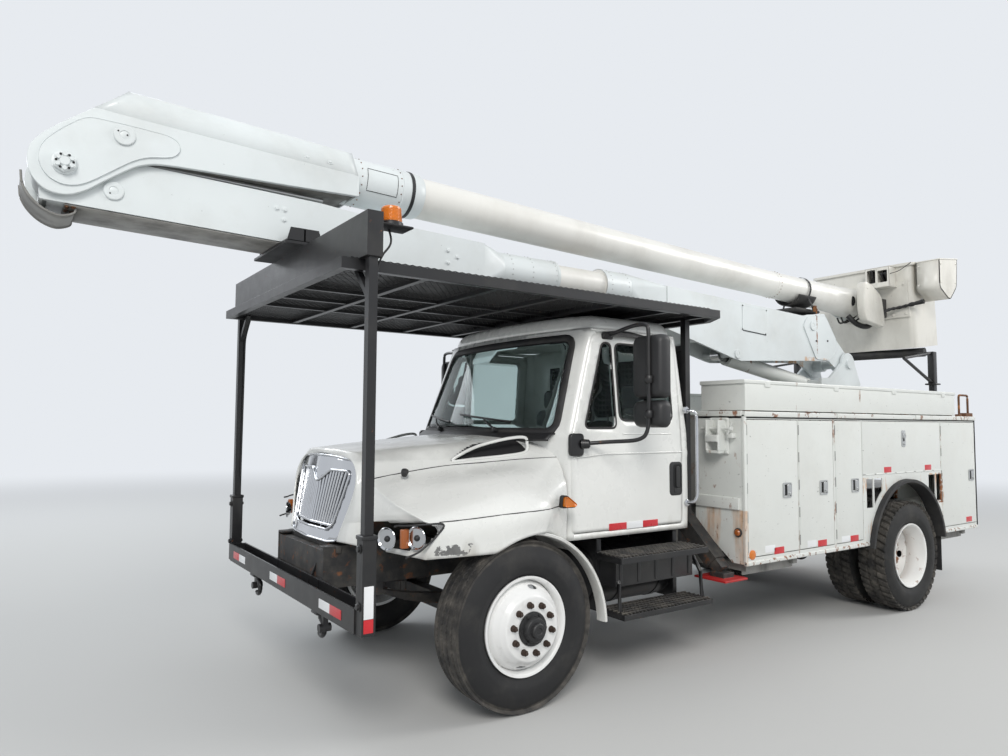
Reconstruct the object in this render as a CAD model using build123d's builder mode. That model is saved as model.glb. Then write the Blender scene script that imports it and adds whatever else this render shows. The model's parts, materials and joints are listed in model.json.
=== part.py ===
from build123d import *
import os
from math import atan2, cos, degrees, hypot, radians, sin, tan

os.makedirs("parts", exist_ok=True)

# A bucket truck: conventional cab, utility body and a two-arm insulated boom.
# Millimetres, x forward, y to the left, z up, ground at z = 0.
# Lengths along the truck are counted from the front axle, forwards positive.
elbow_reach = 2640
bucket_reach = 6590
front_x = (bucket_reach - elbow_reach) / 2
wheelbase = 4480
rear_x = front_x - wheelbase

# Wheels: 22.5 inch rims
tyre_radius = 512
tyre_width = 272
bead_radius = 286
rim_radius = 298
hub_radius = 110
wheel_z = tyre_radius
front_wheel_y = 1030
outer_dual_y = 1100
dual_spacing = 332
stud_circle = 285.75
stud_count = 10

# Chassis frame
rail_outer_y = 432
rail_top = 974
rail_height = 254
rail_flange = 80
rail_web = 10
rail_front = front_x + 1010
rail_rear = front_x - 5930

# Kingpins, spindles and the play of a pin in its bore
kingpin_y = 840
kingpin_radius = 22
spindle_start = {"front": kingpin_y + 105, "rear": 625}
spindle_length = 140
spindle_radius = 40
pin_clearance = 0.08

# Cab
cab_back = front_x - 1650
cab_bottom = 960
cab_half = 1020
belt_z = 1660
eaves_z = 2360
crown_z = 2510
cab_wall = 42
door_front = front_x - 452
door_back = front_x - 1540
door_gap = 6

# Boom rest in front of the grille, and the deck over the cab
bumper_x = front_x + 1137
bumper_half = 1200
post_y = 1237
post_size = 50
sleeve_size = 76
beam_x = front_x + 1090
beam_bottom = 2600
beam_top = 2840
saddle_top = 2858
deck_front = front_x + 1230
deck_rear = front_x - 1950
deck_half = 1170
deck_bottom = 2540
deck_depth = 60

# Utility body
body_front = front_x - 2000
body_rear = front_x - 5890
body_inner_y = 745
body_outer_y = 1220
body_bottom = 680
body_top = 1810
body_wall = 30
arch_x = front_x - 4415
arch_z = 550
arch_radius = 685
box_bottom = 1846
box_top = 2085
box_inner_y = 787
floor_z = 1100

# Turntable and booms
turntable_x = front_x - 4950
turntable_z = 2000
lift_pivot = (front_x - 5190, 2427)
elbow_pin = (front_x + 2430, 3114)
tip_shaft = (front_x - 5620, 3192)
lower_half = 193
cheek_inner = 205
cheek_outer = 235
ear_inner = 207
ear_outer = 237
cylinder_base = (front_x - 4700, 2195)
cylinder_eye = (front_x - 3215, 2430)
barrel_radius = 78
rod_radius = 45

# Bucket
bucket_tilt = 7
bucket_length = 580
bucket_width = 1170
bucket_height = 990
bucket_draft = 15
bucket_wall = 10
bucket_rear = front_x - bucket_reach
bucket_floor = 2709


def block(x_low, x_high, y_low, y_high, z_low, z_high, mode=Mode.ADD):
    """A box between six limits, in the part that is being built."""
    middle = ((x_low + x_high) / 2, (y_low + y_high) / 2, (z_low + z_high) / 2)
    with Locations(middle):
        Box(x_high - x_low, y_high - y_low, z_high - z_low, mode=mode)


def bar(start, end, radius, mode=Mode.ADD):
    """A round bar between two points."""
    line = Vector(*end) - Vector(*start)
    with Locations(Plane(origin=start, z_dir=line)):
        Cylinder(radius, line.length, align=(Align.CENTER, Align.CENTER, Align.MIN), mode=mode)


def square_bar(start, end, size, mode=Mode.ADD):
    """A square bar between two points, one pair of faces kept along x."""
    line = Vector(*end) - Vector(*start)
    with Locations(Plane(origin=start, x_dir=(1, 0, 0), z_dir=line)):
        Box(size, size, line.length, align=(Align.CENTER, Align.CENTER, Align.MIN), mode=mode)


def side_slab(points, y_low, y_high, mode=Mode.ADD):
    """A side-view polygon, extruded from y_low to y_high."""
    with BuildSketch(Plane.XZ.offset(-y_high)) as outline:
        with BuildLine():
            Polyline(*points, close=True)
        make_face()
    extrude(outline.sketch, amount=y_high - y_low, mode=mode)


def mirrored(part):
    """The same piece on the truck's other side."""
    return part.mirror(Plane.XZ)


def both_sides(left, name):
    """Writes a left piece and its right twin as two files."""
    for side, shape in (("left", left), ("right", mirrored(left))):
        shape.label = f"{name}_{side}"
        export_step(shape, f"parts/{name}_{side}.step")


# Chassis frame: two channel rails, cross members and the outrigger tubes
outrigger_x = front_x - 1850
leg_top = (240, 1480)
leg_foot = (1120, 640)
leg_size = 90
tube_size = 120
jack_x = front_x - 5330
jack_y = 655
jack_size = 84

shaft_start = (front_x - 1300, 0, 805)
shaft_end = (rear_x + 340, 0, wheel_z + 20)
shaft_radius = 55

with BuildPart() as frame:
    for side in (-1, 1):
        web_y = side * (rail_outer_y - rail_web / 2)
        block(rail_rear, rail_front, web_y - rail_web / 2, web_y + rail_web / 2,
              rail_top - rail_height, rail_top)
        flange_y = side * (rail_outer_y - rail_flange / 2)
        for flange_z in (rail_top - rail_web, rail_top - rail_height):
            block(rail_rear, rail_front, flange_y - rail_flange / 2, flange_y + rail_flange / 2,
                  flange_z, flange_z + rail_web)
    for x in (980, -1500, -2600, -3700, -5200, -5900):
        block(front_x + x - 35, front_x + x + 25, -rail_outer_y, rail_outer_y,
              rail_top - rail_height + 25, rail_top - 25)
    block(outrigger_x - 75, outrigger_x + 75, -rail_outer_y, rail_outer_y, rail_top, rail_top + 60)
    for side in (-1, 1):
        block(outrigger_x - 60, outrigger_x + 60, side * 250 - 70, side * 250 + 70,
              rail_top, leg_top[1] - 20)
        top = (outrigger_x, side * leg_top[0], leg_top[1])
        foot = (outrigger_x, side * (leg_foot[0] - 60), leg_foot[1] + 57)
        square_bar(top, foot, tube_size)
        block(jack_x - 70, jack_x + 70, side * 525 - 95, side * 525 + 95, 760, 940)
        square_bar((jack_x, side * jack_y, 1080), (jack_x, side * jack_y, 655), 110)
    bar(shaft_start, shaft_end, shaft_radius + 30, mode=Mode.SUBTRACT)
    for side in (-1, 1):
        top = (outrigger_x, side * leg_top[0], leg_top[1])
        foot = (outrigger_x, side * leg_foot[0], leg_foot[1])
        square_bar(top, foot, leg_size + 4, mode=Mode.SUBTRACT)
        square_bar((jack_x, side * jack_y, 1150), (jack_x, side * jack_y, 600),
                   jack_size + 4, mode=Mode.SUBTRACT)
frame.part.label = "frame"
export_step(frame.part, "parts/frame.step")

# Outrigger legs slide in those tubes and carry a shoe and a floor plate
leg_line = Vector(0, leg_foot[0] - leg_top[0], leg_foot[1] - leg_top[1]).normalized()
with BuildPart() as front_leg:
    start = Vector(outrigger_x, leg_top[0], leg_top[1]) + leg_line * 60
    end = Vector(outrigger_x, leg_foot[0], leg_foot[1])
    square_bar(tuple(start), tuple(end), leg_size)
    block(outrigger_x - 60, outrigger_x + 60, leg_foot[0] - 70, leg_foot[0] + 60,
          leg_foot[1] - 48, leg_foot[1] - 8)
    block(outrigger_x - 130, outrigger_x + 130, leg_foot[0] - 160, leg_foot[0] + 130,
          leg_foot[1] - 60, leg_foot[1] - 44)
both_sides(front_leg.part, "outrigger_front")

with BuildPart() as rear_leg:
    square_bar((jack_x, jack_y, 1070), (jack_x, jack_y, 606), jack_size)
    block(jack_x - 150, jack_x + 150, jack_y - 90, jack_y + 260, 575, 606)
both_sides(rear_leg.part, "outrigger_rear")

# Axles with their leaf springs
spring_y = 395
rear_spring_y = 490
spring_reach = 640
axle_z = 470


def leaf_spring(x, y, seat_z, eye_z, depth):
    """An arched pack of leaves, as one curved band with an eye at each end."""
    with BuildSketch(Plane.XZ.offset(-(y + 38))) as band:
        with BuildLine():
            ThreePointArc((x - spring_reach, eye_z), (x, seat_z), (x + spring_reach, eye_z))
            Line((x + spring_reach, eye_z), (x + spring_reach, eye_z + 22))
            ThreePointArc((x + spring_reach, eye_z + 22), (x, seat_z + depth),
                          (x - spring_reach, eye_z + 22))
            Line((x - spring_reach, eye_z + 22), (x - spring_reach, eye_z))
        make_face()
    extrude(band.sketch, amount=76)
    for end in (-1, 1):
        block(x + end * spring_reach - 30, x + end * spring_reach + 30, y - 38, y + 38,
              eye_z - 15, rail_top - rail_height)


with BuildPart() as front_axle:
    with BuildSketch(Plane.XZ):
        with Locations((front_x, axle_z)):
            Rectangle(90, 110)
            Rectangle(30, 70, mode=Mode.SUBTRACT)
        with Locations((front_x, axle_z)):
            Rectangle(30, 80)
    extrude(amount=720, both=True)
    for side in (-1, 1):
        leaf_spring(front_x, side * spring_y, axle_z + 52, 660, 70)
        block(front_x - 55, front_x + 55, side * spring_y - 45, side * spring_y + 45,
              axle_z + 40, axle_z + 60)
        with Locations((front_x, side * (kingpin_y - 70), axle_z + 15)):
            Box(100, 140, 130)
        with Locations((front_x, side * kingpin_y, axle_z + 15)):
            Cylinder(52, 130)
            Cylinder(kingpin_radius + 0.06, 200, mode=Mode.SUBTRACT)
front_axle.part.label = "front_axle"
export_step(front_axle.part, "parts/front_axle.step")

with BuildPart() as rear_axle:
    with Locations(Plane(origin=(rear_x, 0, wheel_z), z_dir=(0, 1, 0))):
        Cylinder(68, 1060)
        Cylinder(215, 150)
        for turn in (0, 180):
            with Locations(Location((0, 0, 0), (turn, 0, 0))):
                with Locations((0, 0, 70)):
                    Cone(212, 90, 140, align=(Align.CENTER, Align.CENTER, Align.MIN))
    bar((rear_x, 0, wheel_z + 10), (rear_x + 330, 0, wheel_z + 10), 80)
    for side in (-1, 1):
        leaf_spring(rear_x, side * rear_spring_y, wheel_z + 66, 715, 90)
        block(rear_x - 60, rear_x + 60, side * rear_spring_y - 45, side * rear_spring_y + 45,
              wheel_z + 40, wheel_z + 80)
        with Locations(Plane(origin=(rear_x, side * 600, wheel_z), z_dir=(0, 1, 0))):
            Cylinder(190, 24)
        bar((rear_x, side * 600, wheel_z), (rear_x, side * (spindle_start["rear"] + spindle_length),
            wheel_z), spindle_radius)
rear_axle.part.label = "rear_axle"
export_step(rear_axle.part, "parts/rear_axle.step")

# Engine, gearbox and shaft as one plain mass, with the radiator ahead of it
with BuildPart() as powertrain:
    block(front_x - 300, front_x + 520, -290, 290, 700, 1240)
    block(front_x + 520, front_x + 640, -345, 345, 800, 1330)
    bar((front_x - 300, 0, 825), (front_x - 1300, 0, 805), 140)
    bar(shaft_start, shaft_end, shaft_radius)
powertrain.part.label = "powertrain"
export_step(powertrain.part, "parts/powertrain.step")

# Steps and tanks under both doors
step_rear = front_x - 1600
step_front = front_x - 735
with BuildPart() as side_steps:
    for side in (-1, 1):
        y_in, y_out = sorted((side * 930, side * 1200))
        block(step_rear, step_front, y_in, y_out, 810, 850)
        block(step_rear - 40, step_front - 25, y_in, y_out, 440, 476)
        y_in, y_out = sorted((side * 470, side * 930))
        for x in (step_rear + 60, step_front - 45):
            block(x - 20, x + 20, y_in, y_out, 450, 940)
        bar((step_rear + 20, side * 700, 660), (step_front, side * 700, 660), 215)
        y_in, y_out = sorted((side * 900, side * 1100))
        block(step_rear + 60, step_front - 45, y_in, y_out, 640, 812)
        y_in, y_out = sorted((side * rail_outer_y, side * 480))
        block(step_rear + 100, step_front - 85, y_in, y_out, 740, 900)
side_steps.part.label = "side_steps"
export_step(side_steps.part, "parts/side_steps.step")

# Cab shell: plan outlines at the rocker, belt, eaves and crown
# columns: height, front at the middle, front at the side, half width, back
cab_plan = [
    (cab_bottom, front_x - 420, front_x - 425, cab_half, cab_back),
    (belt_z, front_x - 190, front_x - 470, cab_half, cab_back),
    (eaves_z, front_x - 560, front_x - 690, cab_half - 75, cab_back + 45),
    (crown_z, front_x - 800, front_x - 900, cab_half - 260, cab_back + 190),
]


def cab_outline(row, inset):
    """One plan outline of the cab, moved inwards by inset."""
    height, nose, corner, half, back = row
    nose, corner, half, back = nose - inset, corner - inset, half - inset, back + inset
    with BuildSketch(Plane.XY.offset(height)) as outline:
        with BuildLine():
            ThreePointArc((corner, -half), (nose, 0), (corner, half))
            Line((corner, half), (back + 90, half))
            ThreePointArc((back + 90, half), (back + 26, half - 26), (back, half - 90))
            Line((back, half - 90), (back, 90 - half))
            ThreePointArc((back, 90 - half), (back + 26, 26 - half), (back + 90, -half))
            Line((back + 90, -half), (corner, -half))
        make_face()
    return outline.sketch


def cab_volume(inset):
    """The cab as a solid body, moved inwards by inset on every side."""
    rocker, belt, eaves, crown = cab_plan
    low = (rocker[0] + inset,) + rocker[1:]
    top = (crown[0] - inset,) + crown[1:]
    with BuildPart() as volume:
        for lower, upper in ((low, belt), (belt, eaves), (eaves, top)):
            add(cab_outline(lower, inset))
            add(cab_outline(upper, inset))
            loft()
    return volume.part


def side_polygon(points, y_low, y_high):
    """A side-view polygon as a solid, for cutting doors and windows."""
    with BuildPart() as prism:
        side_slab(points, y_low, y_high)
    return prism.part


def front_polygon(points, x_low, x_high):
    """A front-view polygon as a solid, for cutting the screens."""
    with BuildPart() as prism:
        with BuildSketch(Plane.YZ.offset(x_low)):
            with BuildLine():
                Polyline(*points, close=True)
            make_face()
        extrude(amount=x_high - x_low)
    return prism.part


def door_outline(gap):
    """The door's outline, moved inwards by gap."""
    return [
        (door_front - gap, 1000 + gap),
        (door_front - gap, belt_z),
        (front_x - 690 - gap, 2320 - gap),
        (door_back + gap, 2320 - gap),
        (door_back + gap, 1000 + gap),
    ]


vent_outline = [(-575, 1730), (-750, 2240), (-840, 2240), (-840, 1730)]
window_outline = [(-880, 1790), (-880, 2240), (-1440, 2240), (-1440, 1790)]
vent_outline = [(front_x + x, z) for x, z in vent_outline]
window_outline = [(front_x + x, z) for x, z in window_outline]
screen_outline = [(-880, 1720), (-800, 2300), (800, 2300), (880, 1720)]
rear_outline = [(-620, 1800), (-600, 2240), (600, 2240), (620, 1800)]

cab_outer = cab_volume(0)
cab_inner = cab_volume(cab_wall)
screen_cut = front_polygon(screen_outline, front_x - 780, front_x)
rear_cut = front_polygon(rear_outline, cab_back - 50, cab_back + 200)

with BuildPart() as cab:
    add(cab_outer)
    add(cab_inner, mode=Mode.SUBTRACT)
    for side in (-1, 1):
        y_low, y_high = sorted((side * 780, side * 1100))
        add(side_polygon(door_outline(0), y_low, y_high), mode=Mode.SUBTRACT)
    add(screen_cut, mode=Mode.SUBTRACT)
    add(rear_cut, mode=Mode.SUBTRACT)
    # The floor's channel over the frame rails
    block(cab_back - 10, front_x, -450, 450, 900, 986, mode=Mode.SUBTRACT)
cab.part.label = "cab"
export_step(cab.part, "parts/cab.step")

with BuildPart() as cab_glass:
    add(cab_volume(14))
    add(cab_volume(22), mode=Mode.SUBTRACT)
    add([screen_cut, rear_cut], mode=Mode.INTERSECT)
cab_glass.part.label = "cab_glass"
export_step(cab_glass.part, "parts/cab_glass.step")

door_space = side_polygon(door_outline(door_gap), 800, 1100)
with BuildPart() as door:
    add(cab_outer)
    add(cab_inner, mode=Mode.SUBTRACT)
    add(door_space, mode=Mode.INTERSECT)
    add(side_polygon(vent_outline, 780, 1100), mode=Mode.SUBTRACT)
    add(side_polygon(window_outline, 780, 1100), mode=Mode.SUBTRACT)
    # Mirror: bowed arm in front of the window and a tall head on it
    arm_x = front_x - 850
    bar((arm_x + 230, 980, 1600), (arm_x + 20, 1300, 1650), 14)
    bar((arm_x, 930, 2290), (arm_x, 1300, 2390), 14)
    bar((arm_x, 1300, 1640), (arm_x, 1300, 2400), 15)
    block(arm_x - 60, arm_x + 60, 1270, 1440, 1720, 2330)
    # Handle at the door's rear edge
    block(front_x - 1510, front_x - 1420, cab_half - 4, cab_half + 14, 1230, 1450)
both_sides(door.part, "door")

with BuildPart() as door_glass:
    add(cab_volume(18))
    add(cab_volume(24), mode=Mode.SUBTRACT)
    add([side_polygon(vent_outline, 800, 1100), side_polygon(window_outline, 800, 1100)],
        mode=Mode.INTERSECT)
both_sides(door_glass.part, "door_glass")

# Inside the cab: two seats on the floor, dashboard and steering wheel
with BuildPart() as cab_interior:
    for side in (-1, 1):
        y = side * 480
        block(front_x - 1500, front_x - 1000, y - 240, y + 240, 1003, 1180)
        block(front_x - 1500, front_x - 1000, y - 250, y + 250, 1180, 1330)
        block(front_x - 1570, front_x - 1470, y - 240, y + 240, 1250, 1990)
    block(front_x - 660, front_x - 545, -860, 860, 1300, 1640)
    bar((front_x - 650, 480, 1480), (front_x - 780, 480, 1560), 30)
    with Locations(Plane(origin=(front_x - 790, 480, 1566), z_dir=(-0.8, 0, 0.5))):
        Cylinder(230, 26)
        Cylinder(200, 26, mode=Mode.SUBTRACT)
        Box(420, 30, 14)
        Cylinder(50, 30)
cab_interior.part.label = "cab_interior"
export_step(cab_interior.part, "parts/cab_interior.step")

# Hood with both fenders, tilting forward
# columns: station, crown z, top half width, top z, crease half width, crease z,
#          shoulder half width, shoulder z, outer half width, outer z, bottom z
hood_table = [
    (-425, 1665, 700, 1630, 880, 1560, 985, 1380, 1015, 1270, 990),
    (0, 1640, 640, 1600, 790, 1480, 960, 1400, 1150, 1230, 990),
    (480, 1605, 560, 1570, 700, 1430, 930, 1350, 1150, 1190, 985),
    (960, 1560, 470, 1530, 590, 1390, 820, 1280, 1100, 1150, 960),
]
hood_skin = 22


def hood_section(row, inset):
    """A cross-section of hood and fenders, moved inwards by inset."""
    station, crown, top_y, top_z, crease_y, crease_z = row[:6]
    shoulder_y, shoulder_z, outer_y, outer_z, bottom_z = row[6:]
    half = [
        (top_y - inset / 2, top_z - inset),
        (crease_y - inset, crease_z - inset / 2),
        (shoulder_y - inset / 2, shoulder_z - inset),
        (outer_y - inset, outer_z - inset / 2),
        (outer_y - inset, bottom_z),
    ]
    other = [(-y, z) for y, z in reversed(half)]
    with BuildSketch(Plane.YZ.offset(front_x + station)) as section:
        with BuildLine():
            ThreePointArc(other[-1], (0, crown - inset), half[0])
            Polyline(*half)
            Line(half[-1], other[0])
            Polyline(*other)
        make_face()
    return section.sketch


def nose_outline(height, shift, inset):
    """A plan outline of the hood's nose."""
    nose = front_x + 962 + shift - inset
    with BuildSketch(Plane.XY.offset(height)) as outline:
        with BuildLine():
            ThreePointArc((nose - 90, -640), (nose, 0), (nose - 90, 640))
            Line((nose - 90, 640), (nose - 170, 900))
            ThreePointArc((nose - 170, 900), (nose - 250, 1060), (nose - 420, 1140))
            Line((nose - 420, 1140), (nose - 420, 1400))
            Line((nose - 420, 1400), (front_x - 900, 1400))
            Line((front_x - 900, 1400), (front_x - 900, -1400))
            Line((front_x - 900, -1400), (nose - 420, -1400))
            Line((nose - 420, -1400), (nose - 420, -1140))
            ThreePointArc((nose - 420, -1140), (nose - 250, -1060), (nose - 170, -900))
            Line((nose - 170, -900), (nose - 90, -640))
        make_face()
    return outline.sketch


def hood_volume(inset):
    """Hood and fenders as a solid, moved inwards by inset."""
    with BuildPart() as volume:
        for row in hood_table:
            add(hood_section(row, inset))
        loft(ruled=True)
    with BuildPart() as nose:
        add(nose_outline(900, 0, inset))
        add(nose_outline(1700, -150, inset))
        loft()
    return volume.part & nose.part


flare_centre = (front_x - 20, 415)
flare_radius = 640
flare_band = 20
fender_edge_radius = 642
flare_start = 115
flare_sweep = 63
grille_outline = [(-420, 1020), (-520, 1450), (0, 1510), (520, 1450), (420, 1020)]
lamp_outline = [(front_x + 925, 985), (front_x + 860, 1130), (front_x + 566, 1160),
                (front_x + 700, 1020)]
lamp_spaces = [side_polygon(lamp_outline, 640, 1300), side_polygon(lamp_outline, -1300, -640)]
with BuildPart() as hood:
    add(hood_volume(0))
    add(hood_volume(hood_skin), mode=Mode.SUBTRACT)
    # Wheel arches
    with BuildSketch(Plane.XZ.offset(-1300)):
        with BuildLine():
            rear_edge = CenterArc(flare_centre, fender_edge_radius, 90, 90)
            ThreePointArc(rear_edge @ 0, (front_x + 250, 1040), (front_x + 490, 965))
            Line((front_x + 490, 965), (front_x + 490, 415))
            Line((front_x + 490, 415), rear_edge @ 1)
        make_face()
    extrude(amount=2600, mode=Mode.SUBTRACT)
    add(front_polygon(grille_outline, front_x + 700, front_x + 1000), mode=Mode.SUBTRACT)
    add(lamp_spaces, mode=Mode.SUBTRACT)
    # Clear of the cab's cowl and of the frame rails
    add(cab_volume(-12), mode=Mode.SUBTRACT)
    block(front_x - 500, front_x + 1100, -446, 446, 900, 990, mode=Mode.SUBTRACT)
hood.part.label = "hood"
export_step(hood.part, "parts/hood.step")

# Splash flares behind the front wheels, hung under the fenders
flare_top = 990
with BuildPart() as fender_flares:
    for side in (-1, 1):
        y_low, y_high = sorted((side * 1040, side * 1130))
        with BuildSketch(Plane.XZ.offset(-y_high)) as band:
            with BuildLine():
                inner = CenterArc(flare_centre, flare_radius, flare_start, flare_sweep)
                outer = CenterArc(flare_centre, flare_radius + flare_band, flare_start, flare_sweep)
                Line(inner @ 0, outer @ 0)
                Line(inner @ 1, outer @ 1)
            make_face()
        extrude(band.sketch, amount=y_high - y_low)
    block(front_x - 700, front_x, -1200, 1200, flare_top, flare_top + 100, mode=Mode.SUBTRACT)
fender_flares.part.label = "fender_flares"
export_step(fender_flares.part, "parts/fender_flares.step")

# Chromed grille: a surround with upright bars, and the headlights beside it
bar_count = 21
bar_pitch = 42
grille_plane = Plane(origin=(front_x + 930, 0, 1020), x_dir=(0, 1, 0), z_dir=(0.981, 0, 0.196))
grille_edge = [(-405, 8), (-500, 430), (0, 486), (500, 430), (405, 8)]
grille_hole = [(-375, 40), (-460, 392), (0, 440), (460, 392), (375, 40)]
with BuildPart() as grille:
    with BuildSketch(grille_plane):
        with BuildLine():
            Polyline(*grille_edge, close=True)
        make_face()
        with BuildLine():
            Polyline(*grille_hole, close=True)
        make_face(mode=Mode.SUBTRACT)
    extrude(amount=24)
    with BuildSketch(grille_plane.offset(-14)) as bars:
        for number in range(bar_count):
            with Locations(((number - (bar_count - 1) / 2) * bar_pitch, 230)):
                Rectangle(16, 520)
        with BuildLine():
            Polyline(*grille_edge, close=True)
        make_face(mode=Mode.INTERSECT)
    extrude(amount=26)
grille.part.label = "grille"
export_step(grille.part, "parts/grille.step")

with BuildPart() as headlights:
    add(hood_volume(-2))
    add(hood_volume(hood_skin), mode=Mode.SUBTRACT)
    add(lamp_spaces, mode=Mode.INTERSECT)
headlights.part.label = "headlights"
export_step(headlights.part, "parts/headlights.step")

# Bumper, posts and the cross beam that carries the booms when they are down
with BuildPart() as boom_rest:
    block(bumper_x - 115, bumper_x, -bumper_half, bumper_half, 655, 784)
    block(bumper_x - 103, bumper_x - 12, -bumper_half + 30, bumper_half - 30, 667, 800,
          mode=Mode.SUBTRACT)
    for side in (-1, 1):
        block(rail_front, bumper_x - 100, side * 388 - 40, side * 388 + 40, 690, 784)
        block(bumper_x - 70, bumper_x - 40, side * 660 - 20, side * 660 + 20, 560, 660)
        bar((bumper_x - 90, side * 660, 560), (bumper_x - 20, side * 660, 560), 24)
        block(beam_x - sleeve_size / 2, beam_x + sleeve_size / 2,
              side * post_y - sleeve_size / 2, side * post_y + sleeve_size / 2, 655, 1150)
        block(beam_x - post_size / 2, beam_x + post_size / 2,
              side * post_y - post_size / 2, side * post_y + post_size / 2, 1140, beam_bottom + 20)
        square_bar((beam_x, side * (post_y - 10), 2380), (beam_x, side * (post_y - 190), 2570), 30)
    block(beam_x - 45, beam_x + 45, -post_y - 40, post_y + 40, beam_bottom, beam_top)
    block(beam_x - 60, beam_x + 170, -330, 330, beam_top, saddle_top)
boom_rest.part.label = "boom_rest"
export_step(boom_rest.part, "parts/boom_rest.step")

# Deck over the cab: a frame with bearers and a mesh sheet, on a rack behind the cab
rack_x = cab_back - 62
deck_outline = [
    (deck_front, -deck_half), (deck_rear + 150, -deck_half), (deck_rear, -deck_half + 220),
    (deck_rear, deck_half - 220), (deck_rear + 150, deck_half), (deck_front, deck_half),
]
with BuildPart() as deck:
    with BuildSketch(Plane.XY.offset(deck_bottom)):
        with BuildLine():
            Polyline(*deck_outline, close=True)
        make_face()
        offset(amount=-50, kind=Kind.INTERSECTION, mode=Mode.SUBTRACT)
    extrude(amount=deck_depth)
    for x in (700, 200, -300, -800, -1300, -1712):
        block(front_x + x - 20, front_x + x + 20, -deck_half + 30, deck_half - 30,
              deck_bottom + 5, deck_bottom + 50)
    for y in (-390, 0, 390):
        block(deck_rear + 40, deck_front - 40, y - 15, y + 15, deck_bottom + 10, deck_bottom + 50)
    with BuildSketch(Plane.XY.offset(deck_bottom + 50)):
        with BuildLine():
            Polyline(*deck_outline, close=True)
        make_face()
        offset(amount=-20, kind=Kind.INTERSECTION, mode=Mode.REPLACE)
    extrude(amount=8)
    # Lugs on the cross beam
    for y in (-700, 700):
        block(beam_x - 120, beam_x + 60, y - 30, y + 30, deck_bottom + 50, beam_bottom)
    for side in (-1, 1):
        block(rack_x - 25, rack_x + 25, side * 900 - 25, side * 900 + 25, 1034, deck_bottom + 10)
    block(rack_x - 25, rack_x + 25, -925, 925, 1034, 1084)
    block(rack_x - 20, rack_x + 20, -900, 900, 1830, 1870)
    block(rack_x - 20, rack_x + 20, -900, 900, 2310, 2350)
    block(rack_x - 4, rack_x + 4, -900, 900, 1850, 2330)
deck.part.label = "deck"
export_step(deck.part, "parts/deck.step")

with BuildPart() as beacons:
    for side in (-1, 1):
        with Locations((beam_x - 125, side * 1200, 2790)):
            Cylinder(70, 20, align=(Align.CENTER, Align.CENTER, Align.MIN))
        with Locations((beam_x - 125, side * 1200, 2810)):
            Cylinder(58, 92, align=(Align.CENTER, Align.CENTER, Align.MIN))
        block(beam_x - 195, beam_x - 45, side * 1200 - 60, side * 1200 + 60, 2782, 2790)
beacons.part.label = "beacons"
export_step(beacons.part, "parts/beacons.step")

# Utility body: one hollow pack of compartments along each side
# columns: name, front edge, rear edge, bottom, top, hinge side
compartments = [
    ("front", -2030, -2684, 730, 1775),
    ("second", -2700, -3194, 730, 1775),
    ("third", -3227, -3649, 730, 1775),
    ("long", -3662, -5105, 1296, 1775),
    ("rear", -5122, -5860, 730, 1775),
]
pack_section = [
    (body_inner_y, 965), (1100, body_bottom), (body_outer_y, body_bottom),
    (body_outer_y, body_top), (body_inner_y, body_top),
]
door_thick = 26
with BuildPart() as body_pack:
    with BuildSketch(Plane.YZ.offset(body_rear)):
        with BuildLine():
            Polyline(*pack_section, close=True)
        make_face()
    extrude(amount=body_front - body_rear)
    for name, front, rear, bottom, top in compartments:
        low, high = front_x + rear, front_x + front
        inner = max(bottom + 20, 1330) if name == "long" else bottom + 20
        with BuildSketch(Plane.YZ.offset(low + 22)):
            with BuildLine():
                if name == "long":
                    Polyline((body_inner_y + body_wall, inner), (1300, inner), (1300, top - 20),
                             (body_inner_y + body_wall, top - 20), close=True)
                else:
                    Polyline((body_inner_y + body_wall, 1010), (1120, inner), (1300, inner),
                             (1300, top - 20), (body_inner_y + body_wall, top - 20), close=True)
            make_face()
        extrude(amount=high - low - 44, mode=Mode.SUBTRACT)
        block(low - 4, high + 4, body_outer_y - door_thick - 5, body_outer_y + 40,
              bottom - 4, top + 4, mode=Mode.SUBTRACT)
    with Locations(Plane(origin=(arch_x, 1000, arch_z), z_dir=(0, 1, 0))):
        Cylinder(arch_radius, 700, mode=Mode.SUBTRACT)
    # Slots in the panel before and behind the arch
    for low, high in ((-3800, -3720), (-5110, -5030)):
        block(front_x + low, front_x + high, 1150, 1300, 1000, 1250, mode=Mode.SUBTRACT)
    # Rail along the top and the stand of the box above
    block(body_rear, body_front, 1190, body_outer_y, body_top, body_top + 20)
both_sides(body_pack.part, "body")

for name, front, rear, bottom, top in compartments:
    with BuildPart() as lid:
        low, high = front_x + rear + 2, front_x + front - 2
        block(low, high, body_outer_y - door_thick, body_outer_y, bottom + 2, top - 2)
        if name == "long":
            latch = ((low + high) / 2, 1640)
        elif name == "rear":
            latch = (low + 90, 1230)
        else:
            latch = (low + 100, 1230)
        block(latch[0] - 45, latch[0] + 45, body_outer_y, body_outer_y + 8,
              latch[1] - 55, latch[1] + 55)
    both_sides(lid.part, f"compartment_{name}")

# Boxes on top of the packs, with an overhanging lid
box_front = front_x - 2030
box_rear = front_x - 5470
with BuildPart() as top_boxes:
    for side in (-1, 1):
        y_low, y_high = sorted((side * box_inner_y, side * 1210))
        block(box_rear, box_front, y_low, y_high, box_bottom, box_top - 30)
        block(box_rear + 30, box_front - 30, y_low + 30, y_high - 30, box_bottom + 30, box_top - 60,
              mode=Mode.SUBTRACT)
        block(box_rear - 12, box_front + 12, y_low - 6, y_high + 6, box_top - 30, box_top)
        for x in (box_front - 60, (box_front + box_rear) / 2, box_rear + 60):
            y_low, y_high = sorted((side * (box_inner_y + 40), side * 1150))
            block(x - 30, x + 30, y_low, y_high, body_top, box_bottom)
top_boxes.part.label = "top_boxes"
export_step(top_boxes.part, "parts/top_boxes.step")

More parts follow.
